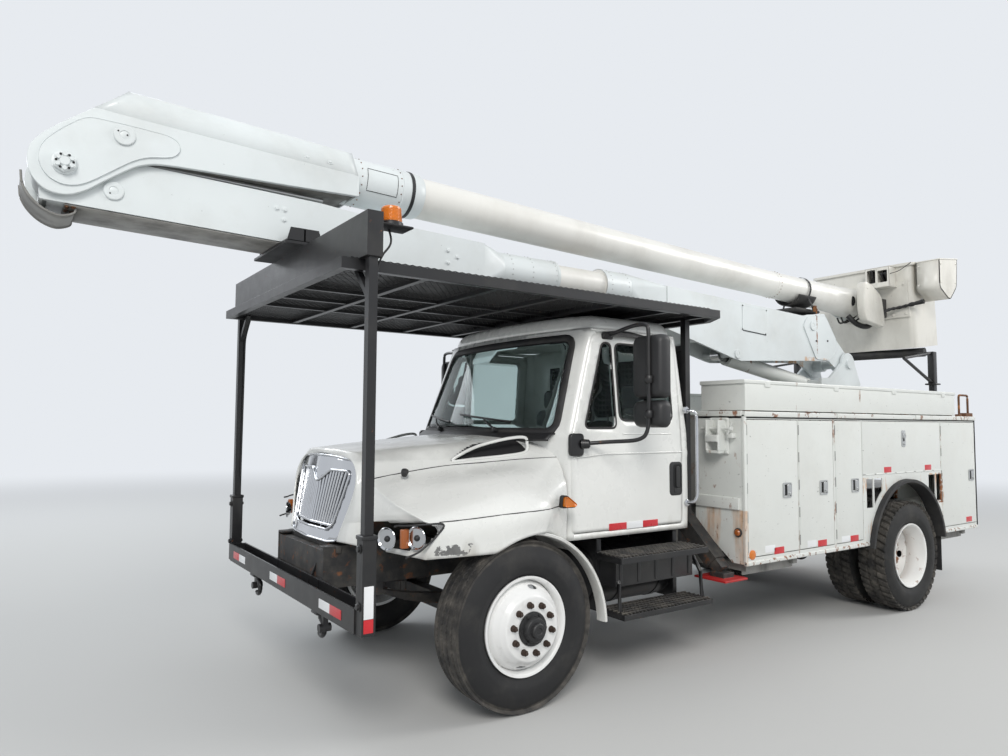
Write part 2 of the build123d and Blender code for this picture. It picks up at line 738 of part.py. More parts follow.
# Load floor between the packs, its bearers and the tail
with BuildPart() as bed:
    block(body_rear, body_front, -body_inner_y + 1, body_inner_y - 1, floor_z - 8, floor_z)
    block(body_front - 20, body_front, -body_inner_y + 1, body_inner_y - 1, floor_z, body_top)
    for x in (-2100, -2900, -3700, -4500, -5200, -5840):
        half = 600 if x == -4500 else body_inner_y - 1
        block(front_x + x - 30, front_x + x + 30, -half, half, rail_top + 1, floor_z - 8)
    block(turntable_x - 330, turntable_x + 330, -330, 330, rail_top + 1, floor_z + 5)
    for side in (-1, 1):
        y_low, y_high = sorted((side * 445, side * (body_inner_y - 1)))
        block(body_rear, body_rear + 60, y_low, y_high, 860, floor_z - 8)
bed.part.label = "bed"
export_step(bed.part, "parts/bed.step")

# Rubber: arch flares and mud flaps
with BuildPart() as rubber:
    for side in (-1, 1):
        y_low, y_high = sorted((side * 1130, side * (body_outer_y + 45)))
        with BuildSketch(Plane.XZ.offset(-y_high)):
            with BuildLine():
                arch = CenterArc((arch_x, arch_z), arch_radius - 2, 8, 164)
                lip = CenterArc((arch_x, arch_z), arch_radius - 34, 8, 164)
                Line(arch @ 0, lip @ 0)
                Line(arch @ 1, lip @ 1)
            make_face()
        extrude(amount=y_high - y_low)
        y_low, y_high = sorted((side * 640, side * 1200))
        block(front_x - 5122, front_x - 5112, y_low, y_high, 300, 660)
rubber.part.label = "arch_flares"
export_step(rubber.part, "parts/arch_flares.step")

# Pedestal under the turntable
with BuildPart() as pedestal:
    with BuildSketch(Plane.XY.offset(floor_z + 5)):
        with Locations((turntable_x, 0)):
            Rectangle(640, 600)
    with BuildSketch(Plane.XY.offset(turntable_z - 60)):
        with Locations((turntable_x, 0)):
            Rectangle(480, 480)
    loft()
    with Locations((turntable_x, 0, turntable_z - 60)):
        Cylinder(300, 50, align=(Align.CENTER, Align.CENTER, Align.MIN))
pedestal.part.label = "pedestal"
export_step(pedestal.part, "parts/pedestal.step")

# Bucket rest: two posts on the packs
rest_x = front_x - 5850
with BuildPart() as bucket_rest:
    for side in (-1, 1):
        block(rest_x - 30, rest_x + 30, side * 830 - 30, side * 830 + 30, body_top, 2215)
        block(rest_x - 45, rest_x + 60, side * 830 - 45, side * 830 + 45, body_top, body_top + 12)
bucket_rest.part.label = "bucket_rest"
export_step(bucket_rest.part, "parts/bucket_rest.step")

# Front hubs: knuckle, pin and brake drum
with BuildPart() as knuckle:
    for z in (axle_z + 15 + 80, axle_z + 15 - 80):
        with Locations((front_x, kingpin_y, z)):
            Cylinder(50, 28)
    with Locations((front_x, kingpin_y, axle_z + 15)):
        Cylinder(kingpin_radius, 200)
    block(front_x - 40, front_x + 40, kingpin_y + 58, kingpin_y + 90, axle_z - 80, axle_z + 110)
    for z in (axle_z + 15 + 80, axle_z + 15 - 80):
        block(front_x - 40, front_x + 40, kingpin_y, kingpin_y + 90, z - 14, z + 14)
    bar((front_x, kingpin_y + 60, wheel_z),
        (front_x, spindle_start["front"] + spindle_length, wheel_z), spindle_radius)
    with Locations(Plane(origin=(front_x, spindle_start["front"] - 10, wheel_z), z_dir=(0, 1, 0))):
        Cylinder(185, 30)
both_sides(knuckle.part, "knuckle")

# Tyres and rims
barrel_inside = 274


def tyre_section(y):
    """Half-section of one tyre about the wheel's axis, y across and z out."""
    half = tyre_width / 2
    with BuildSketch(Plane.YZ) as section:
        with BuildLine():
            Polyline((y - 105, bead_radius + 14), (y - half, 400), (y - half, 450),
                     (y - half + 14, 490), (y - half + 30, tyre_radius - 4), (y, tyre_radius),
                     (y + half - 30, tyre_radius - 4), (y + half - 14, 490), (y + half, 450),
                     (y + half, 400), (y + 105, bead_radius + 14), (y + 90, bead_radius + 40),
                     (y + 108, 400), (y + 100, 470), (y - 100, 470), (y - 108, 400),
                     (y - 90, bead_radius + 40), close=True)
        make_face()
    return section.sketch


def rim_profile(y, dish):
    """Rim section about the wheel's axis: barrel, flanges and a disc at y + dish."""
    with BuildSketch(Plane.YZ) as section:
        with BuildLine():
            Polyline((y - 118, rim_radius), (y - 104, bead_radius), (y + 104, bead_radius),
                     (y + 118, rim_radius), (y + 118, barrel_inside), (y - 118, barrel_inside),
                     close=True)
        make_face()
        with BuildLine():
            Polyline((y + dish - 6, hub_radius), (y + dish + 6, hub_radius), (y + dish + 6, 196),
                     (y + dish * 0.4 + 6, barrel_inside + 4), (y + dish * 0.4 - 6, barrel_inside + 4),
                     (y + dish - 6, 196),
                     close=True)
        make_face()
    return section.sketch


def wheel_axis(x):
    """The wheel's axis, for revolving a section drawn over x = 0."""
    return Axis((x, 0, wheel_z), (0, 1, 0))


# columns: name, axle position, tyre centres, disc offset
wheels = [
    ("front", front_x, [front_wheel_y], dual_spacing / 2 - 6),
    ("rear", rear_x, [outer_dual_y - dual_spacing, outer_dual_y], 6 - dual_spacing / 2),
]
for name, x, centres, dish in wheels:
    with BuildPart() as tyre:
        for y in centres:
            section = tyre_section(y).moved(Location((x, 0, wheel_z)))
            revolve(section, axis=wheel_axis(x))
    both_sides(tyre.part, f"tyre_{name}")
    with BuildPart() as rim:
        for y in centres:
            turn = dish if y == centres[-1] else -dish
            revolve(rim_profile(y, turn).moved(Location((x, 0, wheel_z))), axis=wheel_axis(x))
        with Locations(Plane(origin=(x, centres[-1] + dish, wheel_z), z_dir=(0, 1, 0))):
            with PolarLocations(230, 2):
                Cylinder(30, 60, mode=Mode.SUBTRACT)
            with PolarLocations(stud_circle / 2, stud_count):
                Cylinder(16, 42, align=(Align.CENTER, Align.CENTER, Align.MIN))
            Cylinder(hub_radius + 1, 12)
            Cylinder(82, 80, align=(Align.CENTER, Align.CENTER, Align.MIN))
        # Hub, drum and the bore for the spindle
        hub_start = spindle_start[name] + 15
        bar((x, hub_start, wheel_z), (x, centres[-1] + dish, wheel_z), 88)
        if name == "rear":
            bar((x, hub_start, wheel_z), (x, hub_start + 150, wheel_z), 205)
            bar((x, centres[0] - dish - 6, wheel_z), (x, centres[0] - dish + 7, wheel_z), hub_radius + 1)
        bar((x, hub_start - 1, wheel_z), (x, spindle_start[name] + spindle_length + 3, wheel_z),
            spindle_radius + pin_clearance, mode=Mode.SUBTRACT)
    both_sides(rim.part, f"rim_{name}")

# Turntable: a bearing plate and two ears that carry the lower boom
with BuildPart() as turntable:
    with Locations((turntable_x, 0, turntable_z)):
        Cylinder(310, 60, align=(Align.CENTER, Align.CENTER, Align.MIN))
    for side in (-1, 1):
        y_low, y_high = sorted((side * ear_inner, side * ear_outer))
        with BuildSketch(Plane.XZ.offset(-y_high)):
            with BuildLine():
                Polyline((turntable_x - 290, 2050), (lift_pivot[0] - 245, 2200),
                         (lift_pivot[0] - 125, lift_pivot[1] + 10),
                         (lift_pivot[0] + 125, lift_pivot[1] + 10), (turntable_x + 130, 2260),
                         (turntable_x + 300, 2250), (turntable_x + 300, 2050), close=True)
            make_face()
            with Locations(lift_pivot):
                Circle(125)
        extrude(amount=y_high - y_low)
        y_low, y_high = sorted((side * ear_outer, side * (ear_outer + 22)))
        bar((lift_pivot[0], y_low, lift_pivot[1]), (lift_pivot[0], y_high, lift_pivot[1]), 52)
        bar((cylinder_base[0], side * 62, cylinder_base[1]),
            (cylinder_base[0], side * (ear_inner + 5), cylinder_base[1]), 38)
    # The lower boom turns on this pin
    bar((lift_pivot[0], -ear_inner - 5, lift_pivot[1]), (lift_pivot[0], ear_inner + 5, lift_pivot[1]), 45)
turntable.part.label = "turntable"
export_step(turntable.part, "parts/turntable.step")

# Lower boom: box sections at both ends, a round insulated tube between them
guard_radius = (front_x + elbow_reach - elbow_pin[0]) / cos(radians(15))
tube_z = 2943
boom_wall = 14
tube_radius = 125
collar_radius = 148
with BuildPart() as lower_boom:
    side_slab([(front_x + 2533, 2915), (front_x + 2540, 2985), (elbow_pin[0] + 90, 3200),
               (front_x + 2010, 3196), (front_x + 988, 3166), (front_x + 410, 3116),
               (front_x - 300, 3092), (front_x - 300, 2800), (front_x + 410, 2838),
               (front_x + 1140, 2871)], -lower_half, lower_half)
    side_slab([(front_x + 2440, 2960), (front_x + 2700, 2960), (front_x + 2700, 3300),
               (front_x + 2150, 3300), (front_x + 2150, 2960)], -150, 150, mode=Mode.SUBTRACT)
    with Locations(Plane(origin=(elbow_pin[0], 0, elbow_pin[1]), z_dir=(0, 1, 0))):
        Cylinder(45 + pin_clearance, 400, mode=Mode.SUBTRACT)
    with BuildSketch(Plane.YZ.offset(front_x - 300)):
        with Locations((0, 2946)):
            RectangleRounded(2 * lower_half, 292, 20)
    with BuildSketch(Plane.YZ.offset(front_x - 520)):
        with Locations((0, tube_z)):
            RectangleRounded(2 * collar_radius + 2, 2 * collar_radius + 2, collar_radius)
    loft()
    bar((front_x - 515, 0, tube_z), (front_x - 1080, 0, tube_z), collar_radius)
    bar((front_x - 1075, 0, tube_z), (front_x - 1630, 0, tube_z), tube_radius)
    bar((front_x - 1600, 0, tube_z), (front_x - 1900, 0, tube_z), collar_radius)
    with BuildSketch(Plane.YZ.offset(front_x - 1895)):
        with Locations((0, tube_z)):
            RectangleRounded(2 * collar_radius + 2, 2 * collar_radius + 2, collar_radius)
    with BuildSketch(Plane.YZ.offset(front_x - 2270)):
        with Locations((0, 2802)):
            RectangleRounded(2 * lower_half, 390, 20)
    loft()
    side_slab([(front_x - 2268, 2997), (front_x - 2268, 2607), (front_x - 3240, 2383),
               (front_x - 3335, 2367), (front_x - 4520, 2432), (front_x - 4875, 2446),
               (lift_pivot[0] + 60, 2300), (lift_pivot[0] - 60, 2300),
               (lift_pivot[0] - 132, 2400), (lift_pivot[0] - 125, 2460), (front_x - 5024, 2693),
               (front_x - 4802, 2967), (front_x - 4480, 2930), (front_x - 4408, 2911)],
              -lower_half, lower_half)
    # Sheet walls: the front box, the bore of the tube and the rear box, open below for the cylinder
    inner = lower_half - boom_wall
    side_slab([(front_x - 285, 2816), (front_x + 410, 2853), (front_x + 1140, 2886),
               (front_x + 2130, 2917), (front_x + 2130, 3182), (front_x + 2010, 3182),
               (front_x + 988, 3151), (front_x + 410, 3101), (front_x - 285, 3077)],
              -inner, inner, mode=Mode.SUBTRACT)
    bar((front_x - 200, 0, tube_z), (front_x - 2400, 0, tube_z), tube_radius - 12, mode=Mode.SUBTRACT)
    side_slab([(front_x - 2700, 2250), (front_x - 2700, 2522), (front_x - 2285, 2620),
               (front_x - 2285, 2980), (front_x - 4408, 2896), (front_x - 4480, 2914),
               (front_x - 4791, 2950), (front_x - 5013, 2684), (front_x - 5400, 2500),
               (front_x - 5400, 2250)], -165, 165, mode=Mode.SUBTRACT)
    for side in (-1, 1):
        y_low, y_high = sorted((side * 62, side * 170))
        bar((cylinder_eye[0], y_low, cylinder_eye[1]), (cylinder_eye[0], y_high, cylinder_eye[1]), 34)
        y_low, y_high = sorted((side * 60, side * 166))
        bar((lift_pivot[0], y_low, lift_pivot[1]), (lift_pivot[0], y_high, lift_pivot[1]), 70)
    with Locations(Plane(origin=(lift_pivot[0], 0, lift_pivot[1]), z_dir=(0, 1, 0))):
        Cylinder(45 + pin_clearance, 500, mode=Mode.SUBTRACT)
    # Bent sheet guard under the elbow
    with BuildSketch(Plane.XZ.offset(-160)):
        with BuildLine():
            outer = CenterArc(elbow_pin, guard_radius, 200, 145)
            inner = CenterArc(elbow_pin, guard_radius - 6, 200, 145)
            Line(outer @ 0, inner @ 0)
            Line(outer @ 1, inner @ 1)
        make_face()
    extrude(amount=320)
lower_boom.part.label = "lower_boom"
export_step(lower_boom.part, "parts/lower_boom.step")

# Elbow disc between the lower boom's cheeks, on the elbow pin
disc_radius = 140
with BuildPart() as elbow_disc:
    with Locations(Plane(origin=(elbow_pin[0], 0, elbow_pin[1]), z_dir=(0, 1, 0))):
        Cylinder(disc_radius, 290)
        Cylinder(45, 2 * cheek_outer)
elbow_disc.part.label = "elbow_disc"
export_step(elbow_disc.part, "parts/elbow_disc.step")

# Upper boom: cheeks and box at the elbow, sleeve, insulated tube and round tip
boom_drop = degrees(atan2(3418 - tip_shaft[1], front_x + 745 - tip_shaft[0]))
sleeve_start = (front_x + 745, 3418)
tube_length = hypot(sleeve_start[0] - tip_shaft[0], sleeve_start[1] - tip_shaft[1])


def along_upper(distance):
    """A cross-section plane of the upper boom, that far behind the box's end."""
    turn = radians(boom_drop)
    return Plane(origin=(sleeve_start[0] - distance * cos(turn), 0,
                         sleeve_start[1] - distance * sin(turn)),
                 x_dir=(0, 1, 0), z_dir=(-cos(turn), 0, -sin(turn)))


# columns: start, end, radius there, radius at the end
upper_tubes = [
    (-20, 545, 166, 166),
    (540, 575, 178, 178),
    (570, 4830, 149, 138),
    (4820, 4860, 146, 146),
    (4850, 6150, 138, 160),
    (6140, tube_length, 168, 172),
    (tube_length, tube_length + 120, 172, 120),
]
# columns: start, end, bore radius there, bore radius at the end
upper_bores = [
    (-40, 560, 148, 148),
    (560, 4840, 137, 126),
    (4840, 6100, 126, 146),
]


def round_length(start, end, first, last, mode=Mode.ADD):
    """A round length of the upper boom between two distances behind the box."""
    grown_from = (Align.CENTER, Align.CENTER, Align.MIN)
    with Locations(along_upper(start)):
        if first == last:
            Cylinder(first, end - start, align=grown_from, mode=mode)
        else:
            Cone(first, last, end - start, align=grown_from, mode=mode)


def box_inside(low, crease, high):
    """Outline of the hollow in the upper boom's box, across the truck."""
    half = cheek_outer - boom_wall
    return [(-half, low), (half, low), (half, crease), (45, high), (-45, high), (-half, crease)]


with BuildPart() as upper_boom:
    side_slab([(elbow_pin[0] - 20, 2946), (elbow_pin[0] + 120, 2995), (elbow_pin[0] + 168, 3110),
               (elbow_pin[0] + 93, 3257), (front_x + 2307, 3444), (front_x + 2110, 3647),
               (front_x + 745, 3585), (front_x + 745, 3246), (front_x + 1745, 3220),
               (front_x + 2017, 3206), (front_x + 2138, 3123), (front_x + 2353, 2960)],
              -cheek_outer, cheek_outer)
    top_edges = upper_boom.edges().filter_by(Axis.Y, reverse=True).sort_by(Axis.Z)[-2:]
    chamfer(top_edges, 190, 112)
    side_slab([(front_x + 1990, 2900), (front_x + 1990, 3228), (front_x + 2300, 3400),
               (front_x + 2800, 3400), (front_x + 2800, 2900)],
              -cheek_inner, cheek_inner, mode=Mode.SUBTRACT)
    with Locations(Plane(origin=(elbow_pin[0], 0, elbow_pin[1]), z_dir=(0, 1, 0))):
        Cylinder(45 + pin_clearance, 600, mode=Mode.SUBTRACT)
    for start, end, first, last in upper_tubes:
        round_length(start, end, first, last)
    # Sheet walls of the box behind the elbow, and the bore of the sleeve and tube
    with BuildSketch(Plane.YZ.offset(front_x + 760)) as low_end:
        with BuildLine():
            Polyline(*box_inside(3260, 3465, 3572), close=True)
        make_face()
    with BuildSketch(Plane.YZ.offset(front_x + 1970)) as high_end:
        with BuildLine():
            Polyline(*box_inside(3224, 3520, 3627), close=True)
        make_face()
    loft([low_end.sketch, high_end.sketch], ruled=True, mode=Mode.SUBTRACT)
    for start, end, first, last in upper_bores:
        round_length(start, end, first, last, mode=Mode.SUBTRACT)
    with Locations(Plane(origin=(tip_shaft[0], 0, tip_shaft[1]), z_dir=(0, 1, 0))):
        Cylinder(62, 400)
upper_boom.part.label = "upper_boom"
export_step(upper_boom.part, "parts/upper_boom.step")

# Lift cylinder
stroke_line = Vector(cylinder_eye[0] - cylinder_base[0], 0, cylinder_eye[1] - cylinder_base[1])
closed_length = stroke_line.length
stroke_line = stroke_line.normalized()
base_point = Vector(cylinder_base[0], 0, cylinder_base[1])
with BuildPart() as lift_barrel:
    bar(tuple(base_point + stroke_line * 60), tuple(base_point + stroke_line * (closed_length - 130)),
        barrel_radius)
    with Locations(Plane(origin=tuple(base_point), z_dir=(0, 1, 0))):
        Cylinder(62, 110)
        Cylinder(38.1, 200, mode=Mode.SUBTRACT)
    bar(tuple(base_point + stroke_line * 90), tuple(base_point + stroke_line * (closed_length - 100)),
        rod_radius + 0.5, mode=Mode.SUBTRACT)
lift_barrel.part.label = "lift_barrel"
export_step(lift_barrel.part, "parts/lift_barrel.step")

with BuildPart() as lift_rod:
    bar(tuple(base_point + stroke_line * 120), tuple(base_point + stroke_line * (closed_length - 30)),
        rod_radius)
    with Locations(Plane(origin=tuple(base_point + stroke_line * closed_length), z_dir=(0, 1, 0))):
        Cylinder(55, 100)
lift_rod.part.label = "lift_rod"
export_step(lift_rod.part, "parts/lift_rod.step")

# Bucket, tilted as it hangs: its own plane lies at the rear edge of its floor
tilt = radians(bucket_tilt)
bucket_plane = Plane(origin=(bucket_rear, 0, bucket_floor), x_dir=(cos(tilt), 0, -sin(tilt)),
                     z_dir=(sin(tilt), 0, cos(tilt)))


def bucket_volume(inset, low, high):
    """The bucket's tapered volume between two heights over its floor."""
    with BuildPart() as volume:
        for height in (low, high):
            grow = bucket_draft * height / bucket_height - inset
            with BuildSketch(bucket_plane.offset(height)):
                with Locations((bucket_length / 2, 0)):
                    RectangleRounded(bucket_length + 2 * grow, bucket_width + 2 * grow, 70 - inset)
        loft()
    return volume.part


with BuildPart() as bucket:
    add(bucket_volume(0, 0, bucket_height))
    with BuildSketch(bucket_plane.offset(bucket_height - 30)):
        with Locations((bucket_length / 2, 0)):
            RectangleRounded(bucket_length + 80, bucket_width + 80, 90)
    extrude(amount=30)
    add(bucket_volume(bucket_wall, bucket_wall, bucket_height + 1), mode=Mode.SUBTRACT)
    # Padded cross bar under the floor
    pad = bucket_plane * Location((bucket_length - 60, 0, -52))
    with Locations(Plane(pad).rotated((90, 0, 0))):
        Cylinder(52, 1240)
bucket.part.label = "bucket"
export_step(bucket.part, "parts/bucket.step")

# Arm, valve cover, control box and tool tray of the bucket
foot_x = bucket_rear + bucket_length * cos(tilt)
foot_z = bucket_floor - bucket_length * sin(tilt)
face_lean = tan(tilt + atan2(bucket_draft, bucket_height))


def face_point(ahead, z):
    """A side-view point that far ahead of the bucket's front wall."""
    return (foot_x + (z - foot_z) * face_lean + ahead, z)


with BuildPart() as bucket_controls:
    for side in (-1, 1):
        y_low, y_high = sorted((side * 203, side * 228))
        side_slab([(tip_shaft[0] + 75, 3240), (tip_shaft[0] + 75, 3140), (tip_shaft[0] - 60, 3090),
                   face_point(20, 3020), face_point(20, 3400), (tip_shaft[0] - 60, 3290)],
                  y_low, y_high)
    side_slab([face_point(0.5, 3000), face_point(24, 3000), face_point(24, 3420),
               face_point(0.5, 3420)], -228, 560)
    side_slab([face_point(20, 2990), (front_x - 5600, 3070), (front_x - 5570, 3440),
               (front_x - 5780, 3480), face_point(20, 3380)], 240, 400)
    side_slab([face_point(20, 3290), face_point(190, 3270), face_point(200, 3460),
               face_point(20, 3500)], 400, 560)
    # Tool tray hung on the bucket's left end
    side_slab([face_point(-30, 3300), face_point(-250, 3180), face_point(-430, 3330),
               face_point(-460, 3660), face_point(-30, 3610)], 640, 900)
    side_slab([face_point(-45, 3316), face_point(-247, 3197), face_point(-417, 3340),
               face_point(-448, 3720), face_point(-45, 3720)], 652, 888, mode=Mode.SUBTRACT)
bucket_controls.part.label = "bucket_controls"
export_step(bucket_controls.part, "parts/bucket_controls.step")
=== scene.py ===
# Bucket truck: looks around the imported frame
import json
import math
import bpy
import bmesh
import numpy as np
from mathutils import Matrix, Vector
from mathutils.geometry import delaunay_2d_cdt


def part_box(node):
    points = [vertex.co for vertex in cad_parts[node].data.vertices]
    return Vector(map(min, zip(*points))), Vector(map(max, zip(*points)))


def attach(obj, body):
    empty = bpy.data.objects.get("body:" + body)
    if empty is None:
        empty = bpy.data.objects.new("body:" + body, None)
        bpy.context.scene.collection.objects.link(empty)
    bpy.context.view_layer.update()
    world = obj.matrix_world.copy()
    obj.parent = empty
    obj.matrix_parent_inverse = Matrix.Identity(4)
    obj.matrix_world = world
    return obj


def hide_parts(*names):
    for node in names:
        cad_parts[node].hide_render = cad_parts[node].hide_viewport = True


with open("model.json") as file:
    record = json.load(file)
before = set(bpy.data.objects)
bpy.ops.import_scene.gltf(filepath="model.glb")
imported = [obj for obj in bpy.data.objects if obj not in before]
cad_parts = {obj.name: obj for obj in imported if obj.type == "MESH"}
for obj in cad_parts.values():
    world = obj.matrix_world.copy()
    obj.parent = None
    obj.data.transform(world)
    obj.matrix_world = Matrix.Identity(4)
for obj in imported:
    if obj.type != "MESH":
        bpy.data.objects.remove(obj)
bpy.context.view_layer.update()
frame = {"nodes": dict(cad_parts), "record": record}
print("frame loaded", len(frame["nodes"]), "nodes")

# Where things are along the truck, in metres: the front axle carries the frame of reference
axleX = sum(p[0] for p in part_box("rim_front_left")) / 2
rearAxleX = sum(p[0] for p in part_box("rim_rear_left")) / 2
wheelZ = sum(p[2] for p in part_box("tyre_front_left")) / 2
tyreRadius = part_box("tyre_front_left")[1][2] - wheelZ
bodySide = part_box("compartment_front_left")[1][1] - 0.008
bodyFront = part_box("body_left")[1][0]
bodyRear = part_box("body_left")[0][0]
sides = (("left", 1), ("right", -1))


def at(x, y, z):
    # a place whose x counts from the front axle
    return axleX + x, y, z


def line3(x, y, z):
    # rows of (x, y, z); a single number stands for a whole column
    return np.stack(np.broadcast_arrays(x, y, z), -1)


# Shapes are pairs of a vertex array and a face list, worked out as whole arrays

def joined(shapes):
    # one shape from many: vertex rows stacked, face numbers shifted
    verts, faces, start = [], [], 0
    for v, f in shapes:
        verts.append(v)
        faces += [tuple(i + start for i in face) for face in f]
        start += len(v)
    return np.concatenate(verts), faces


def grid(points, closeU=False, closeV=False, flip=False):
    # points[u, v] become quads between neighbours, wrapping where closed
    nu, nv = points.shape[:2]
    u = np.arange(nu if closeU else nu - 1)
    v = np.arange(nv if closeV else nv - 1)
    a, b = np.meshgrid(u, v, indexing="ij")
    a2, b2 = (a + 1) % nu, (b + 1) % nv
    quads = np.stack([a * nv + b, a2 * nv + b, a2 * nv + b2, a * nv + b2], axis=-1).reshape(-1, 4)
    if flip:
        quads = quads[:, ::-1]
    return points.reshape(-1, 3), [tuple(q) for q in quads.tolist()]


def lofted(rings, caps=True, flip=False):
    # closed rings[n, m] joined in turn, with an n-gon at both ends
    rings = np.asarray(rings, float)
    v, f = grid(rings, closeV=True, flip=flip)
    n, m = rings.shape[:2]
    if caps:
        first, last = tuple(range(m)), tuple(range((n - 1) * m, n * m))
        f = f + [first if flip else first[::-1], last[::-1] if flip else last]
    return v, f


def framesAlong(path):
    # tangent and two side directions at each point; z stays the upward guide
    path = np.asarray(path, float)
    t = np.gradient(path, axis=0)
    t /= np.linalg.norm(t, axis=1)[:, None]
    guide = np.where(np.abs(t[:, 2:3]) > 0.96, [[1.0, 0, 0]], [[0, 0, 1.0]])
    side = np.cross(guide, t)
    side /= np.linalg.norm(side, axis=1)[:, None]
    return t, side, np.cross(t, side)


def tube(path, radius, around=14, closed=False):
    # a circle carried along a path: centre + r (side cos a + up sin a)
    path = np.asarray(path, float)
    _, side, up = framesAlong(np.vstack([path[-1:], path, path[:1]]) if closed else path)
    if closed:
        side, up = side[1:-1], up[1:-1]
    a = np.linspace(0, 2 * math.pi, around, endpoint=False)
    r = np.broadcast_to(np.asarray(radius, float), (len(path),))[:, None, None]
    ring = path[:, None] + r * (side[:, None] * np.cos(a)[:, None] + up[:, None] * np.sin(a)[:, None])
    if closed:
        return grid(ring, closeU=True, closeV=True)
    return lofted(ring)


def rounded(points, bend=0.3, steps=5):
    # a polyline whose corners are quadratic arcs that start bend metres before them
    p = np.asarray(points, float)
    out = [p[:1]]
    s = np.linspace(0, 1, steps)[:, None]
    for a, b, c in zip(p[:-2], p[1:-1], p[2:]):
        la, lc = np.linalg.norm(a - b), np.linalg.norm(c - b)
        ba = b + (a - b) * min(bend / la, 0.45)
        bc = b + (c - b) * min(bend / lc, 0.45)
        out.append((1 - s) ** 2 * ba + 2 * s * (1 - s) * b + s ** 2 * bc)
    out.append(p[-1:])
    return np.concatenate(out)


def turned(profile, centre, axis=(0, 1, 0), around=48):
    # a profile of (along, radius) turned about an axis through centre
    axis = np.asarray(axis, float) / np.linalg.norm(axis)
    guide = np.array([1.0, 0, 0]) if abs(axis[0]) < 0.9 else np.array([0, 0, 1.0])
    side = np.cross(axis, guide)
    side /= np.linalg.norm(side)
    up = np.cross(axis, side)
    p = np.asarray(profile, float)
    a = np.linspace(0, 2 * math.pi, around, endpoint=False)
    spoke = side * np.cos(a)[:, None] + up * np.sin(a)[:, None]
    ring = np.asarray(centre) + p[:, 0, None, None] * axis + p[:, 1, None, None] * spoke
    return lofted(ring)


def spun(profile, centre, axis=(0, 1, 0), around=64):
    # a closed loop of (along, radius) turned about an axis: a ring with no ends
    v, _ = turned(profile, centre, axis, around)
    return grid(v.reshape(len(profile), around, 3), closeU=True, closeV=True)


def ringPlaces(centre, radius, count, axis=(0, 1, 0), start=0.0):
    # count places on a circle about an axis
    v, _ = turned([(0, radius), (0, radius)], centre, axis, 360)
    step = (np.round(start + np.arange(count) * 360 / count).astype(int)) % 360
    return v[step]


def bolt(place, axis, across=0.018, height=0.010, washer=0.0):
    # a hexagonal head with a chamfered top, on a washer where one is given
    r = across / math.sqrt(3)
    head = turned([(0, r), (height * 0.82, r), (height, r * 0.84)], place, axis, 6)
    if not washer:
        return head
    disc = turned([(-0.001, washer), (0.003, washer), (0.0035, washer - 0.001)], place, axis, 20)
    return joined([head, disc])


def bolts(places, axis, across=0.018, height=0.010, washer=0.0):
    # the same bolt at every place
    return joined([bolt(p, axis, across, height, washer) for p in places])


def pierced(points, holes, closeU=False):
    # a grid whose quads inside each oval are left out, the rim moved onto the oval;
    # an oval is (u, v, half width, half height) in grid steps
    nu, nv = points.shape[:2]
    v, f = grid(points, closeU=closeU)
    uv = np.stack(np.meshgrid(np.arange(nu), np.arange(nv), indexing="ij"), -1).reshape(-1, 2).astype(float)
    quads = np.array(f)
    mid = uv[quads[:, 0]] + 0.5
    keep = np.ones(len(quads), bool)
    for cu, cv, ru, rv in holes:
        off = mid - [cu, cv]
        if closeU:
            off[:, 0] = (off[:, 0] + nu / 2) % nu - nu / 2
        gone = (off[:, 0] / ru) ** 2 + (off[:, 1] / rv) ** 2 < 1
        keep &= ~gone
        rim = np.intersect1d(quads[gone], quads[~gone])
        step = uv[rim] - [cu, cv]
        if closeU:
            step[:, 0] = (step[:, 0] + nu / 2) % nu - nu / 2
        size = np.sqrt((step[:, 0] / ru) ** 2 + (step[:, 1] / rv) ** 2)[:, None]
        goal = np.array([cu, cv]) + step / size
        a = np.floor(goal).astype(int)
        part = goal - a
        u0, u1 = a[:, 0] % nu, (a[:, 0] + 1) % nu
        v0, v1 = np.clip(a[:, 1], 0, nv - 1), np.clip(a[:, 1] + 1, 0, nv - 1)
        s, t = part[:, :1], part[:, 1:]
        v[rim] = ((1 - s) * (1 - t) * points[u0, v0] + s * (1 - t) * points[u1, v0] + (1 - s) * t * points[u0,
            v1] + s * t * points[u1, v1])
    return v, [tuple(q) for q in quads[keep].tolist()]


def roundRect(width, height, radius, steps=4):
    # outline of a rectangle with round corners, anticlockwise about its middle
    radius = min(radius, width / 2 - 1e-5, height / 2 - 1e-5)
    a = np.linspace(0, math.pi / 2, steps)
    corner = np.array([[1, 1], [-1, 1], [-1, -1], [1, -1]])
    turn = np.arange(4)[:, None] * math.pi / 2
    x = corner[:, :1] * (width / 2 - radius) + radius * np.cos(a + turn)
    y = corner[:, 1:] * (height / 2 - radius) + radius * np.sin(a + turn)
    return np.stack([x, y], axis=-1).reshape(-1, 2)


def padBox(low, high, radius=0.02, axis=2, edge=None, steps=4):
    # a box with round corners about one axis and softly rounded ends
    low, high = np.minimum(low, high).astype(float), np.maximum(low, high).astype(float)
    i, j = [k for k in range(3) if k != axis]
    size, mid = high - low, (high + low) / 2
    edge = min(radius if edge is None else edge, size[axis] / 2.01, size[i] / 2.2, size[j] / 2.2)
    a = np.linspace(0, math.pi / 2, 4)
    inset = np.concatenate([edge * (1 - np.sin(a)), edge * (1 - np.sin(a))[::-1]])
    along = np.concatenate([low[axis] + edge * (1 - np.cos(a)), high[axis] - edge * (1 - np.cos(a))[::-1]])
    rings = []
    for d, h in zip(inset, along):
        flat = roundRect(size[i] - 2 * d, size[j] - 2 * d, max(radius - d, 1e-4), steps)
        ring = np.zeros((len(flat), 3))
        ring[:, i], ring[:, j], ring[:, axis] = mid[i] + flat[:, 0], mid[j] + flat[:, 1], h
        rings.append(ring)
    return lofted(rings, flip=axis == 1)


